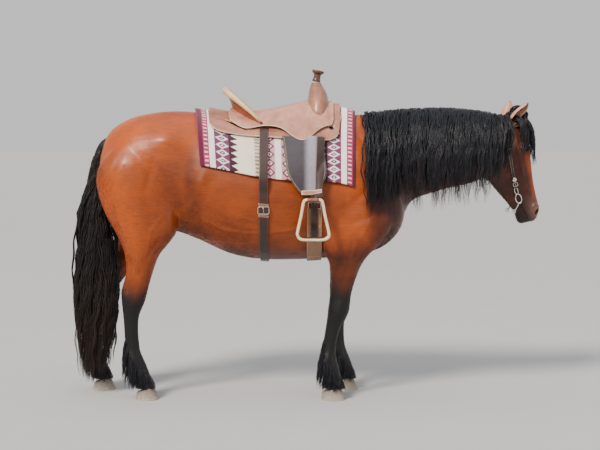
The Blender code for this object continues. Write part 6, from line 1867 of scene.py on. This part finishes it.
# long slots behind the cantle and at the rigging are cut through the skirts, with a near-black sheet under them as
# painted shadow
slotTable = [(-0.475, -0.335, 0.15, 0.205, 0.024), (-0.318, -0.262, 0.222, 0.226, 0.008),
             (0.098, 0.13, 0.165, 0.175, 0.026)]
slotShadows, cutters = [], []
for left in (-1, 1):
    for first, last, high, low, tall in slotTable:
        rows = []
        for u in steps(0.02, 0.98, 22):
            half = tall / 2 * sin(pi * u) ** 0.6
            middle = high + (low - high) * u
            rows.append([(first + (last - first) * u, left * (middle + half * w)) for w in steps(-1, 1, 7)])
        cutters.append(onTrunk("slot", rows, lambda x, a: blanketTop + tent(a) - 0.004, 0.02, None, 0))
        # a near-black sheet under each slot: painted shadow in it
        slotShadows.append(onTrunk("lining", [[(x + (0.004 if k == 21 else -0.004 if k == 0 else 0),
                                            a * 1.0) for x, a in row]
                                          for k, row in enumerate(rows)], lambda x, a: blanketTop + tent(a) - 0.0026, 0.0015))
joinedTo(skirtPiece, cutters, "DIFFERENCE")
settle(skirtPiece, "saddle leather", ("saddle_skirts",), skirtLeather)
settle(gathered("skirt_slot_shadow", slotShadows), "saddle leather", (), slotShadowLeather)
paths = []
for left in (-1, 1):
    path = []
    for row in skirtRows[2:-2]:
        x, a = row[-1]
        path.append(over(x, left * (a - 0.011), blanketTop + tent(a) + skirt["thick"] - 0.0002))
    paths.append(path)
stitched("skirt_stitches", paths, "saddle leather")

seatLine = [(-0.48, 1.618), (-0.4, 1.608), (-0.33, 1.598), (-0.285, 1.6), (-0.2, 1.612), (-0.12, 1.63),
            (-0.017, 1.655), (0.04, 1.662), (0.09, 1.655), (0.13, 1.63)]


def seatHigh(x, a):
    middle = between(seatLine, x) - over(x, 0.0, 0.0).z
    share = min(1.0, abs(a) / 0.21)
    edge = skirtTop + tent(a) + 0.006
    return edge + max(0.004, middle - edge) * (1 - share ** 1.6)


def seatDrop(x):
    u = min(max((x + 0.445) / 0.573, 0.0), 1.0)
    drop = 0.17 + 0.085 * exp(-((x + 0.045) / 0.085) ** 2) + 0.035 * exp(-((x + 0.36) / 0.07) ** 2)
    return drop * rounded(u, 0.72, 5.0)


seatGrid, seatRows = [], []
for x in steps(-0.445, 0.128, 76):
    row = [(x, a * seatDrop(x)) for a in arcSteps(55)]
    seatRows.append(row)
    seatGrid.append([over(px, arc, seatHigh(px, arc)) for px, arc in row])
seatPiece = sheetOf("seat", seatGrid, -0.0055, Vector((-0.15, 0, 1.17)), None, 0.0016)
settle(seatPiece, "saddle leather", ("saddle_seat",), tanLeather)
paths = []
for left in (-1, 1):
    paths.append([over(row[-1][0], left * (row[-1][1] - 0.01),
                       seatHigh(row[-1][0], row[-1][1] - 0.01) + 0.0003)
                  for row in seatRows[1:-1]])
stitched("seat_stitches", paths, "saddle leather")

cantle = {"x": -0.35, "z": 1.58, "half": 0.182, "tall": 0.16, "thick": 0.024, "roll": 0.018}
lean = Vector((-0.66, 0, 0.75)).normalized()
grid = []
for v in steps(0, 1, 26):
    row = []
    for u in steps(-1, 1, 65):
        tall = cantle["tall"] * sqrt(max(0.0, 1 - abs(u) ** 2.6)) + 0.012
        base = Vector((cantle["x"] + 0.095 * abs(u) ** 2.2, u * (cantle["half"] + 0.012 * v),
                       cantle["z"] - 0.055 * u ** 2))
        row.append(base + lean * tall * v)
    grid.append(row)
backWay = Vector((-1, 0, -0.1))
backGrid = []
for k, row in enumerate(grid):
    v = k / (len(grid) - 1)
    backGrid.append([p + backWay * (0.016 + 0.062 * (1 - v) ** 1.7 * (1 - abs(2 * i / 64 - 1) ** 3)) for i,
                     p in enumerate(row)])
cantlePiece = sheetSolid("cantle", grid, backGrid)
settle(cantlePiece, "saddle leather", (), backLeather)
rim = [(a + b) / 2 for a, b in zip(grid[-1], backGrid[-1])]
rollRadii = [cantle["roll"] * (0.35 + 0.72 * sin(pi * i / 64) ** 0.6) for i in range(65)]
roll = tube("cantle_roll", rim, rollRadii, 18, 1.0, [lean] * len(rim))
settle(roll, "saddle leather", (), paleLeather)
rollNormal = lean.cross(sideways).normalized()
stitched("roll_stitches", [[p + rollNormal * side * (r + 0.0004) for p, r in zip(rim[3:-3], rollRadii[3:-3])]
                           for side in (1, -1)], "saddle leather")

rings = []
for z, x, halfLong, halfWide in spread([(1.56, 0.04, 0.062, 0.15), (1.6, 0.042, 0.064, 0.142),
                                        (1.65, 0.044, 0.06, 0.118), (1.695, 0.042, 0.05, 0.08),
                                        (1.73, 0.036, 0.036, 0.045), (1.752, 0.034, 0.026, 0.028)], 7):
    rings.append(ring(Vector((x, 0, z)), sideways, forwards, halfWide - 0.001, halfLong - 0.001,
                      halfLong - 0.001, 2.2,
                      2.2, 56))
forkPiece = lofted("fork", rings)
gullet = egg("gullet", Vector((0.13, 0, 1.585)), (forwards, sideways, Vector((0, 0, 1))),
             (0.09, 0.045, 0.07), 40, 24)
joinedTo(forkPiece, [gullet], "DIFFERENCE")
settle(forkPiece, "saddle leather", ("saddle_fork",), forkLeather)

horn = {"x": 0.034, "z": 1.758, "lean": radians(11),
        "profile": [(0.0, 0.0), (0.023, 0.0), (0.02, 0.02), (0.021, 0.038), (0.031, 0.047), (0.0345, 0.053),
                    (0.033, 0.06), (0.02, 0.063), (0.0, 0.0635)]}
profile = spread(horn["profile"], 8)
rings = []
turn = Matrix.Rotation(horn["lean"], 4, "Y")
for i, (r, z) in enumerate(profile[1:-1]):
    wrap = 0.0008 * sin(z * 2 * pi / 0.0065) if 0.004 < z < 0.04 else 0.0  # the neck is wrapped
    radius = max(r - 0.0006 + wrap, 0.001)
    rings.append([turn @ Vector((radius * cos(a), radius * sin(a), z)) + Vector((horn["x"], 0, horn["z"]))
                  for a in turns(48)])
settle(lofted("horn", rings), "saddle leather", ("saddle_horn",), hornLeather)

print("fenders, cinches, stirrups")
for side, left in (("right", -1), ("left", 1)):
    rows = []
    for v in steps(-0.14, 1, 52):
        middle = -0.04 + 0.035 * v
        half = 0.108 * (1 - 0.66 * max(0.0, (v - 0.56) / 0.44) ** 1.7)
        rows.append([(middle + half * u, left * (0.268 + 0.288 * v)) for u in steps(-1, 1, 28)])

    def under(x, a):
        v = max(0.0, (abs(a) - 0.268) / 0.288)
        across = (x + 0.04 - 0.035 * v) / 0.11
        return skirtTop + 0.034 * v ** 1.5 - 0.001 + 0.0012 * cos(across * 3.0)

    settle(onTrunk("fender_leather_" + side, rows, under, 0.005), "dark leather", ("fender_" + side,),
           fenderLeather)
    paths = []
    for place in (-1, 1):
        path = []
        for v in steps(-0.12, 0.97, 44):
            half = 0.108 * (1 - 0.66 * max(0.0, (v - 0.56) / 0.44) ** 1.7) - 0.009
            x, arc = -0.04 + 0.035 * v + place * half, left * (0.268 + 0.288 * v)
            path.append(over(x, arc, under(x, arc) + 0.0053))
        paths.append(path)
    stitched("fender_stitches_" + side, paths, "dark leather")
    # the stirrup leather that runs down the fender's front and round the stirrup's top bar
    rows = []
    for v in steps(-0.11, 1.04, 44):
        middle = 0.056 - 0.012 * v
        rows.append([(middle + 0.021 * u, left * (0.268 + 0.288 * v)) for u in steps(-1, 1, 8)])
    settle(onTrunk("stirrup_leather_" + side, rows, lambda x, a: under(x, a) + 0.0056, 0.003),
           "dark leather", (),
           strapLeather)
    # the hobble strap that gathers fender and leather over the stirrup
    rows = [[(0.006 + 0.054 * u, left * (0.268 + 0.288 * v)) for u in steps(-1, 1,
                                                                            14)] for v in steps(0.925,
                                                                                                0.985, 6)]
    settle(onTrunk("hobble_strap_" + side, rows, lambda x, a: under(x, a) + 0.0088, 0.0028), "dark leather",
           (), tanLeather)


stirrup = {"top": 1.128, "bottom": 0.898, "x": 0.014, "y": 0.378, "topHalf": 0.06, "bottomHalf": 0.094,
           "deep": 0.03, "thick": 0.009}


# Rawhide over bent wood, dried hard: pale and uneven
def rawhideMaterial():
    material, add, shader, place = newMaterial("rawhide over bent wood",
                                               {"Roughness": 0.48, "Coat Weight": 0.15,
                                                "Coat Roughness": 0.3})
    mottle = add("TexNoise", {"Vector": place, "Scale": 38.0, "Detail": 6.0})
    colour = add("Mix", {0: mottle, 6: "#C9AE7E", 7: "#F0E2C2"},
                     data_type="RGBA")
    feed(shader, {"Base Color": colour})
    fibre = add("TexNoise", {"Vector": place, "Scale": 300.0, "Detail": 3.0})
    height = add("Math", {0: mottle, 1: fibre}, operation="ADD")
    bump = add("Bump", {"Height": height, "Strength": 0.25, "Distance": 0.001})
    feed(shader, {"Normal": bump})
    return material


rawhide = rawhideMaterial()
high, low = stirrup["top"] - stirrup["thick"], stirrup["bottom"] + stirrup["thick"]
t, b = stirrup["topHalf"] - stirrup["thick"], stirrup["bottomHalf"] - stirrup["thick"]
corners = [(-b, low + 0.03), (-b + 0.01, low + 0.008), (-b + 0.032, low), (0.0, low - 0.001)]
corners += [(-x, z) for x, z in corners[-2::-1]]
corners += [(t + 0.012, high - 0.08), (t, high - 0.016), (t - 0.014, high), (0.0, high)]
corners += [(-x, z) for x, z in corners[-2:-5:-1]]
corners = spread(corners + corners[:1], 6)[:-1]
for side, left in (("right", -1), ("left", 1)):
    rings, sides = [], 20
    for i, (x, z) in enumerate(corners):
        before, after = corners[i - 1], corners[(i + 1) % len(corners)]
        along = Vector((after[0] - before[0], 0, after[1] - before[1])).normalized()
        out = Vector((along.z, 0, -along.x))
        halfDeep = stirrup["deep"] * (0.72 + 0.26 * min(1.0, max(0.0, (0.965 - z) / 0.03)))
        rings.append([Vector((stirrup["x"] + x, left * stirrup["y"], z))
                      + sideways * halfDeep * bulge(cos(a), 0.5)
                      + out * stirrup["thick"] * 0.92 * bulge(sin(a), 0.7)
                      for a in turns(sides)])
    made = outwards(meshObject("stirrup_bow_" + side, *wrapped(rings, True)))
    settle(made, "stirrup wood", ("stirrup_" + side,), rawhide)
    # leather wrapped round the top bar, and a tread on the sole
    wrap = [Vector((stirrup["x"] + x, left * stirrup["y"], high)) for x in steps(-0.03, 0.03, 5)]
    wrapRings = [ring(p, sideways, Vector((0, 0, 1)), 0.0262, 0.0115, 0.0115, 3.0, 3.0, 24) for p in wrap]
    settle(lofted("stirrup_wrap_" + side, wrapRings), "dark leather", (), latigoLeather)
    tread = []
    for x in steps(-0.062, 0.062, 20):
        z = low + stirrup["thick"] * 0.92 + 0.0004 + 0.002 * (abs(x) / 0.062) ** 4
        tread.append([Vector((stirrup["x"] + x, left * stirrup["y"] + y, z)) for y in steps(-0.026, 0.026,
                                                                                            8)])
    settle(sheetOf("stirrup_tread_" + side, tread, 0.003, Vector((0, left * stirrup["y"], 0))),
           "dark leather", (),
           strapLeather)


def bandRows(x, half, first, last, count, columns):
    whole = girthAt(x)[0][-1]
    rows = []
    for s in steps(first, last, count):
        arc = -(2 * whole - s) if s > whole else s
        rows.append([(x + half * u, arc) for u in steps(-1, 1, columns)])
    return rows


# Mohair cinch cord: soft twisted yarn, 6 mm thick, side by side
def cinchMaterial():
    material, add, shader, place = newMaterial("twisted mohair cinch cord",
                                               {"Roughness": 0.85, "Sheen Weight": 0.3,
                                                "Sheen Roughness": 0.5})
    twist = add("Mapping", {"Vector": place, "Rotation": (0.6, 0.0, 0.5), "Scale": (320, 320, 320)})
    strand = add("TexWave", {"Vector": twist.outputs[0], "Scale": 0.5, "Distortion": 3.0,
                                                 "Detail": 2.0}).outputs["Fac"]
    colour = add("Mix", {0: strand, 6: "#7A4F34", 7: "#C49670"},
                     data_type="RGBA")
    feed(shader, {"Base Color": colour})
    bump = add("Bump", {"Height": strand, "Strength": 0.6, "Distance": 0.001})
    feed(shader, {"Normal": bump})
    return material


mohair = cinchMaterial()
whole = girthAt(0.022)[0][-1]
cords = []
for k in range(12):
    x = 0.022 - 0.037 + 0.074 * k / 11
    path, normals = [], []
    for s in steps(0.62, 2 * whole - 0.62, 90):
        arc = -(2 * whole - s) if s > whole else s
        place, above = over(x, arc, 0.0095), over(x, arc, 0.02)
        path.append(place)
        normals.append((above - place).normalized())
    cords.append(tube("cord", path, 0.0033, 8, 1.05, normals))
for s in (0.72, 0.95, whole, 2 * whole - 0.95, 2 * whole - 0.72):  # woven bars that hold the cords together
    arc = -(2 * whole - s) if s > whole else s
    rows = [[(0.022 + 0.039 * u, arc + w) for u in steps(-1, 1, 14)] for w in steps(-0.01, 0.01, 5)]
    cords.append(onTrunk("bar", rows, lambda x, a: 0.006, 0.0078, None, 0.0015))
settle(gathered("front_cinch", cords), "cinch cord", ("cinch_front",), mohair)

wholeRear = girthAt(-0.252)[0][-1]


def liftRear(x, arc):
    outside = max(0.0, min(1.0, (blanket["drop"] + 0.055 - abs(arc)) / 0.05))
    return 0.0085 + (skirtTop - 0.0035 - 0.0085) * outside


straps = [onTrunk("strap", bandRows(-0.252, 0.0235, 0.168, 2 * wholeRear - 0.168, 170, 7), liftRear, 0.0045)]
settle(gathered("rear_cinch", straps), "dark leather", ("cinch_rear",), strapLeather)
straps, metal = [], []
for left in (-1, 1):
    rows = [[(0.022 + 0.02 * u, left * arc) for u in steps(-1, 1, 6)] for arc in steps(0.305, 0.598, 50)]

    def latigoLift(x, a):
        return 0.0045 + (blanketTop - 0.0045) * max(0.0, min(1.0, (0.57 - abs(a)) / 0.05))

    straps.append(onTrunk("latigo", rows, latigoLift, 0.0024))
    for x, arc, lift, halfX, halfV in ((0.022, 0.606, 0.01, 0.034, 0.016),
                                       (-0.252, 0.64, 0.0165, 0.03, 0.02)):
        centre = over(x, left * arc, lift)
        down = (over(x, left * (arc + 0.02), lift) - centre).normalized()
        metal += buckle(centre, forwards, down, halfX, halfV)
    for arc in (0.612, 0.672):  # keepers on the rear billet
        rows = [[(-0.252 + 0.028 * u, left * (arc + w)) for u in steps(-1, 1, 8)] for w in (-0.006, 0.0,
                                                                                            0.006)]
        straps.append(onTrunk("keeper", rows, lambda x, a: liftRear(x, a) + 0.005, 0.0022))
settle(gathered("latigos_and_keepers", straps), "dark leather", ("latigo_right", "latigo_left"),
       latigoLeather)
# the latigos' free ends hang over the cinch
ends = [onTrunk("end", [[(0.022 + 0.019 * u * (1 - 0.5 * max(0.0, w - 0.9) / 0.1), left * (0.596 + 0.215 * w))
                         for u in steps(-1, 1, 6)] for w in steps(0, 1, 40)], lambda x, a: 0.0158, 0.0026)
        for left in (-1, 1)]
settle(gathered("latigo_ends", ends), "dark leather", (), strapLeather)
settle(gathered("cinch_buckles", metal), "steel", (), steel)

print("bridle")
bridleStraps = {
    "cheek": [(-0.028, -0.045, 0.0), (-0.02, -0.045, 0.04), (0.02, -0.042, 0.08), (0.062, -0.03, 0.095),
              (0.13, -0.036, 0.104), (0.22, -0.05, 0.104), (0.32, -0.056, 0.088), (0.39, -0.058, 0.066)],
    "brow": [(0.058, 0.09, 0.0), (0.055, 0.076, 0.05), (0.05, 0.03, 0.09), (0.048, -0.006, 0.096),
             (0.048, -0.036, 0.094)],
    "throat": [(0.04, -0.03, 0.094), (0.1, -0.105, 0.092), (0.15, -0.165, 0.09), (0.205, -0.185, 0.085),
               (0.255, -0.19, 0.065), (0.29, -0.19, 0.035), (0.298, -0.19, 0.0)],
}


def strapOnHead(name, table, half, lift, thick, perGap, columns=6):
    way = spread(table, perGap)
    whole = [(-1, row) for row in way[::-1]] + [(1, row) for row in way[1:]]
    centres, normals = [], []
    for left, row in whole:
        hit, normal = bareTree.find_nearest(onHead(row[0], row[1], left * row[2]))[:2]
        centres.append(hit + normal * lift)
        normals.append(normal)
    grid = []
    for i, place in enumerate(centres):
        along = (centres[min(i + 2, len(centres) - 1)] - centres[max(i - 2, 0)]).normalized()
        n = sum((normals[min(max(i + k, 0), len(normals) - 1)] for k in range(-4, 5)), Vector()).normalized()
        across = along.cross(n).normalized()
        row = []
        for u in steps(-1, 1, columns):
            edge = place + across * half * u
            hit, found = bareTree.find_nearest(edge)[:2]
            row.append(edge + n * max(0.0, lift - (edge - hit).dot(found)))
        grid.append(row)
    return sheetOf(name, grid, thick, onHead(0.2, -0.05, 0), None, 0.0009), grid


strapSizes = {"cheek": (0.009, 0.0042), "brow": (0.0095, 0.006), "throat": (0.0075, 0.0078)}
straps, paths, cheekGrid = [], [], None
for name, (half, lift) in strapSizes.items():
    made, grid = strapOnHead("strap_" + name, bridleStraps[name], half, lift, 0.003, 12)
    straps.append(made)
    if name == "cheek":
        cheekGrid = grid
    for column in (0, -1):
        middle = [row[len(row) // 2] for row in grid]
        paths.append([row[column] + (m - row[column]).normalized() * 0.0022
                      + (m - onHead(0.2, -0.05, 0)).normalized() * 0.0031 for row, m in zip(grid, middle)])
metal = []


def onCheek(along, left, lift):
    # the strap's own middle at a way down the head, with its directions there
    best = min((row for row in cheekGrid), key=lambda row: abs((sum(row,
                                                                    Vector()) / len(row) - headPoll).dot(downAxis)
               - along) + (10 if (sum(row, Vector()) / len(row) - headPoll).dot(leftAxis) * left < 0.01 else 0))
    centre = sum(best, Vector()) / len(best)
    across = (best[-1] - best[0]).normalized()
    normal = (leftAxis * left - across * across.dot(leftAxis * left)).normalized()
    return centre + normal * lift, across, normal.cross(across).normalized(), normal


def disc(name, centre, normal, profile, sides=40):
    # a turned button: rings of a radius at a height over its centre
    u = normal.orthogonal().normalized()
    v = normal.cross(u)
    return lofted(name, [[centre + normal * h + (u * cos(a) + v * sin(a)) * r
                          for a in turns(sides)] for r, h in profile])


conchoProfile = [(0.011, 0.0), (0.0125, 0.0008), (0.0122, 0.0022), (0.01, 0.0024), (0.009, 0.004),
                 (0.006, 0.0054), (0.002, 0.006)]
for left in (-1, 1):
    centre, across, along, normal = onCheek(0.335, left, 0.0034)
    metal.append(disc("concho", centre, normal, conchoProfile))
    for way in (0.15, 0.365):
        centre, across, along, normal = onCheek(way, left, 0.005)
        metal += buckle(centre, across, along, 0.0125, 0.0105, 0.0016)
    centre, across, along, normal = onCheek(0.085, left, 0.006)
    metal.append(disc("concho", centre, normal, conchoProfile))
settle(gathered("bridle_straps", straps), "dark leather", ("bridle",), strapLeather)
stitched("bridle_stitches", paths[:4], "dark leather")
settle(gathered("bridle_buckles", metal), "steel", (), steel)

bit = {"along": 0.448, "ahead": -0.06, "out": 0.059, "ring": 0.023, "wire": 0.0034,
       "shank": [(0.024, -0.006), (0.037, -0.017), (0.051, -0.032), (0.062, -0.046)]}
for side, left in (("right", -1), ("left", 1)):
    out = leftAxis * left
    centre = onHead(bit["along"], bit["ahead"], left * bit["out"])
    circle = turns(48)
    parts = [ringOf("ring", [centre + downAxis * cos(a) * bit["ring"] * 1.15
                             + aheadAxis * sin(a) * bit["ring"] * 0.75 for a in circle], [out] * 48,
                             bit["wire"], 12),
             ringOf("eye", [centre - downAxis * 0.046 + downAxis * cos(a) * 0.021
                            + aheadAxis * sin(a) * 0.0095 for a in circle], [out] * 48, 0.0026, 10)]
    shankWay = spread([(d, a, 0.0042 - 0.0012 * i / 3) for i, (d, a) in enumerate(bit["shank"])], 8)
    parts.append(tube("shank", [centre + downAxis * d + aheadAxis * a for d, a, r in shankWay],
                      [r for d, a, r in shankWay], 14, 1.0, [out] * len(shankWay)))
    corner = centre + downAxis * bit["ring"] * 1.12
    parts.append(tube("bar", [corner - out * s for s in (-0.004, 0.004, 0.012, 0.018)], 0.0048, 16, 1.0,
                      [downAxis] * 4))
    foot = centre + downAxis * (bit["shank"][-1][0] - 0.003) + aheadAxis * bit["shank"][-1][1]
    parts.append(ringOf("rein ring", [foot + downAxis * cos(a) * 0.009 + aheadAxis * sin(a) * 0.009
                                      for a in circle[::2]], [out] * 24, 0.0018, 8))
    settle(gathered("bit_steel_" + side, parts), "steel", ("bit_" + side,), steel)

print("stage and light")
stageSizes = {"half": 60.0, "worldLevel": 0.84, "sun": 5.0, "sunAngle": 16}


# Matt painted studio floor, neutral pale grey
def floorMaterial():
    material, add, shader, place = newMaterial("matt studio floor paint", {"Roughness": 0.9})
    grain = add("TexNoise", {"Vector": place, "Scale": 3.0, "Detail": 4.0})
    colour = add("Mix", {0: grain, 6: "#B0B1B3", 7: "#B5B6B7"},
                     data_type="RGBA")
    feed(shader, {"Base Color": colour})
    return material


half = stageSizes["half"]
floor = meshObject("floor", [(-half, -half, 0), (half, -half, 0), (half, half, 0), (-half, half, 0)],
                   [(0, 1, 2, 3)])
floor.data.materials.append(floorMaterial())

world = bpy.data.worlds.new("studio")
world.use_nodes = True
background = world.node_tree.nodes["Background"]
background.inputs["Color"].default_value = linear("#F3F3F4")
background.inputs["Strength"].default_value = stageSizes["worldLevel"]
bpy.context.scene.world = world

# The key is a broad, far lamp from the upper left of the camera; its level and the world's keep the floor as light
# as the backdrop. A wide softbox overhead gives the coat its shine.
key = bpy.data.objects.new("key", bpy.data.lights.new("key", "SUN"))
key.data.energy = stageSizes["sun"]
key.data.angle = radians(stageSizes["sunAngle"])
key.data.color = linear("#FFF4E6")[:3]
key.rotation_euler = Vector((-0.42, -0.66, 0.7)).to_track_quat("Z", "Y").to_euler()
bpy.context.scene.collection.objects.link(key)
for name, place, aim, across, watts, colour in (("softbox", (-0.3, -0.6, 4.6), (-0.2, 0.0, 1.0), 4.0, 60,
                                                 "#FFFFFF"),
                                                ("side fill", (5.0, -2.6, 2.2), (0.8, 0.0, 1.2), 2.6, 25,
                                                 "#F2F5FF")):
    lamp = bpy.data.objects.new(name, bpy.data.lights.new(name, "AREA"))
    bpy.context.scene.collection.objects.link(lamp)
    lamp.data.size = across
    lamp.data.energy = watts
    lamp.data.color = linear(colour)[:3]
    lamp.location = place
    lamp.rotation_euler = (Vector(aim) - Vector(place)).to_track_quat("-Z", "Y").to_euler()
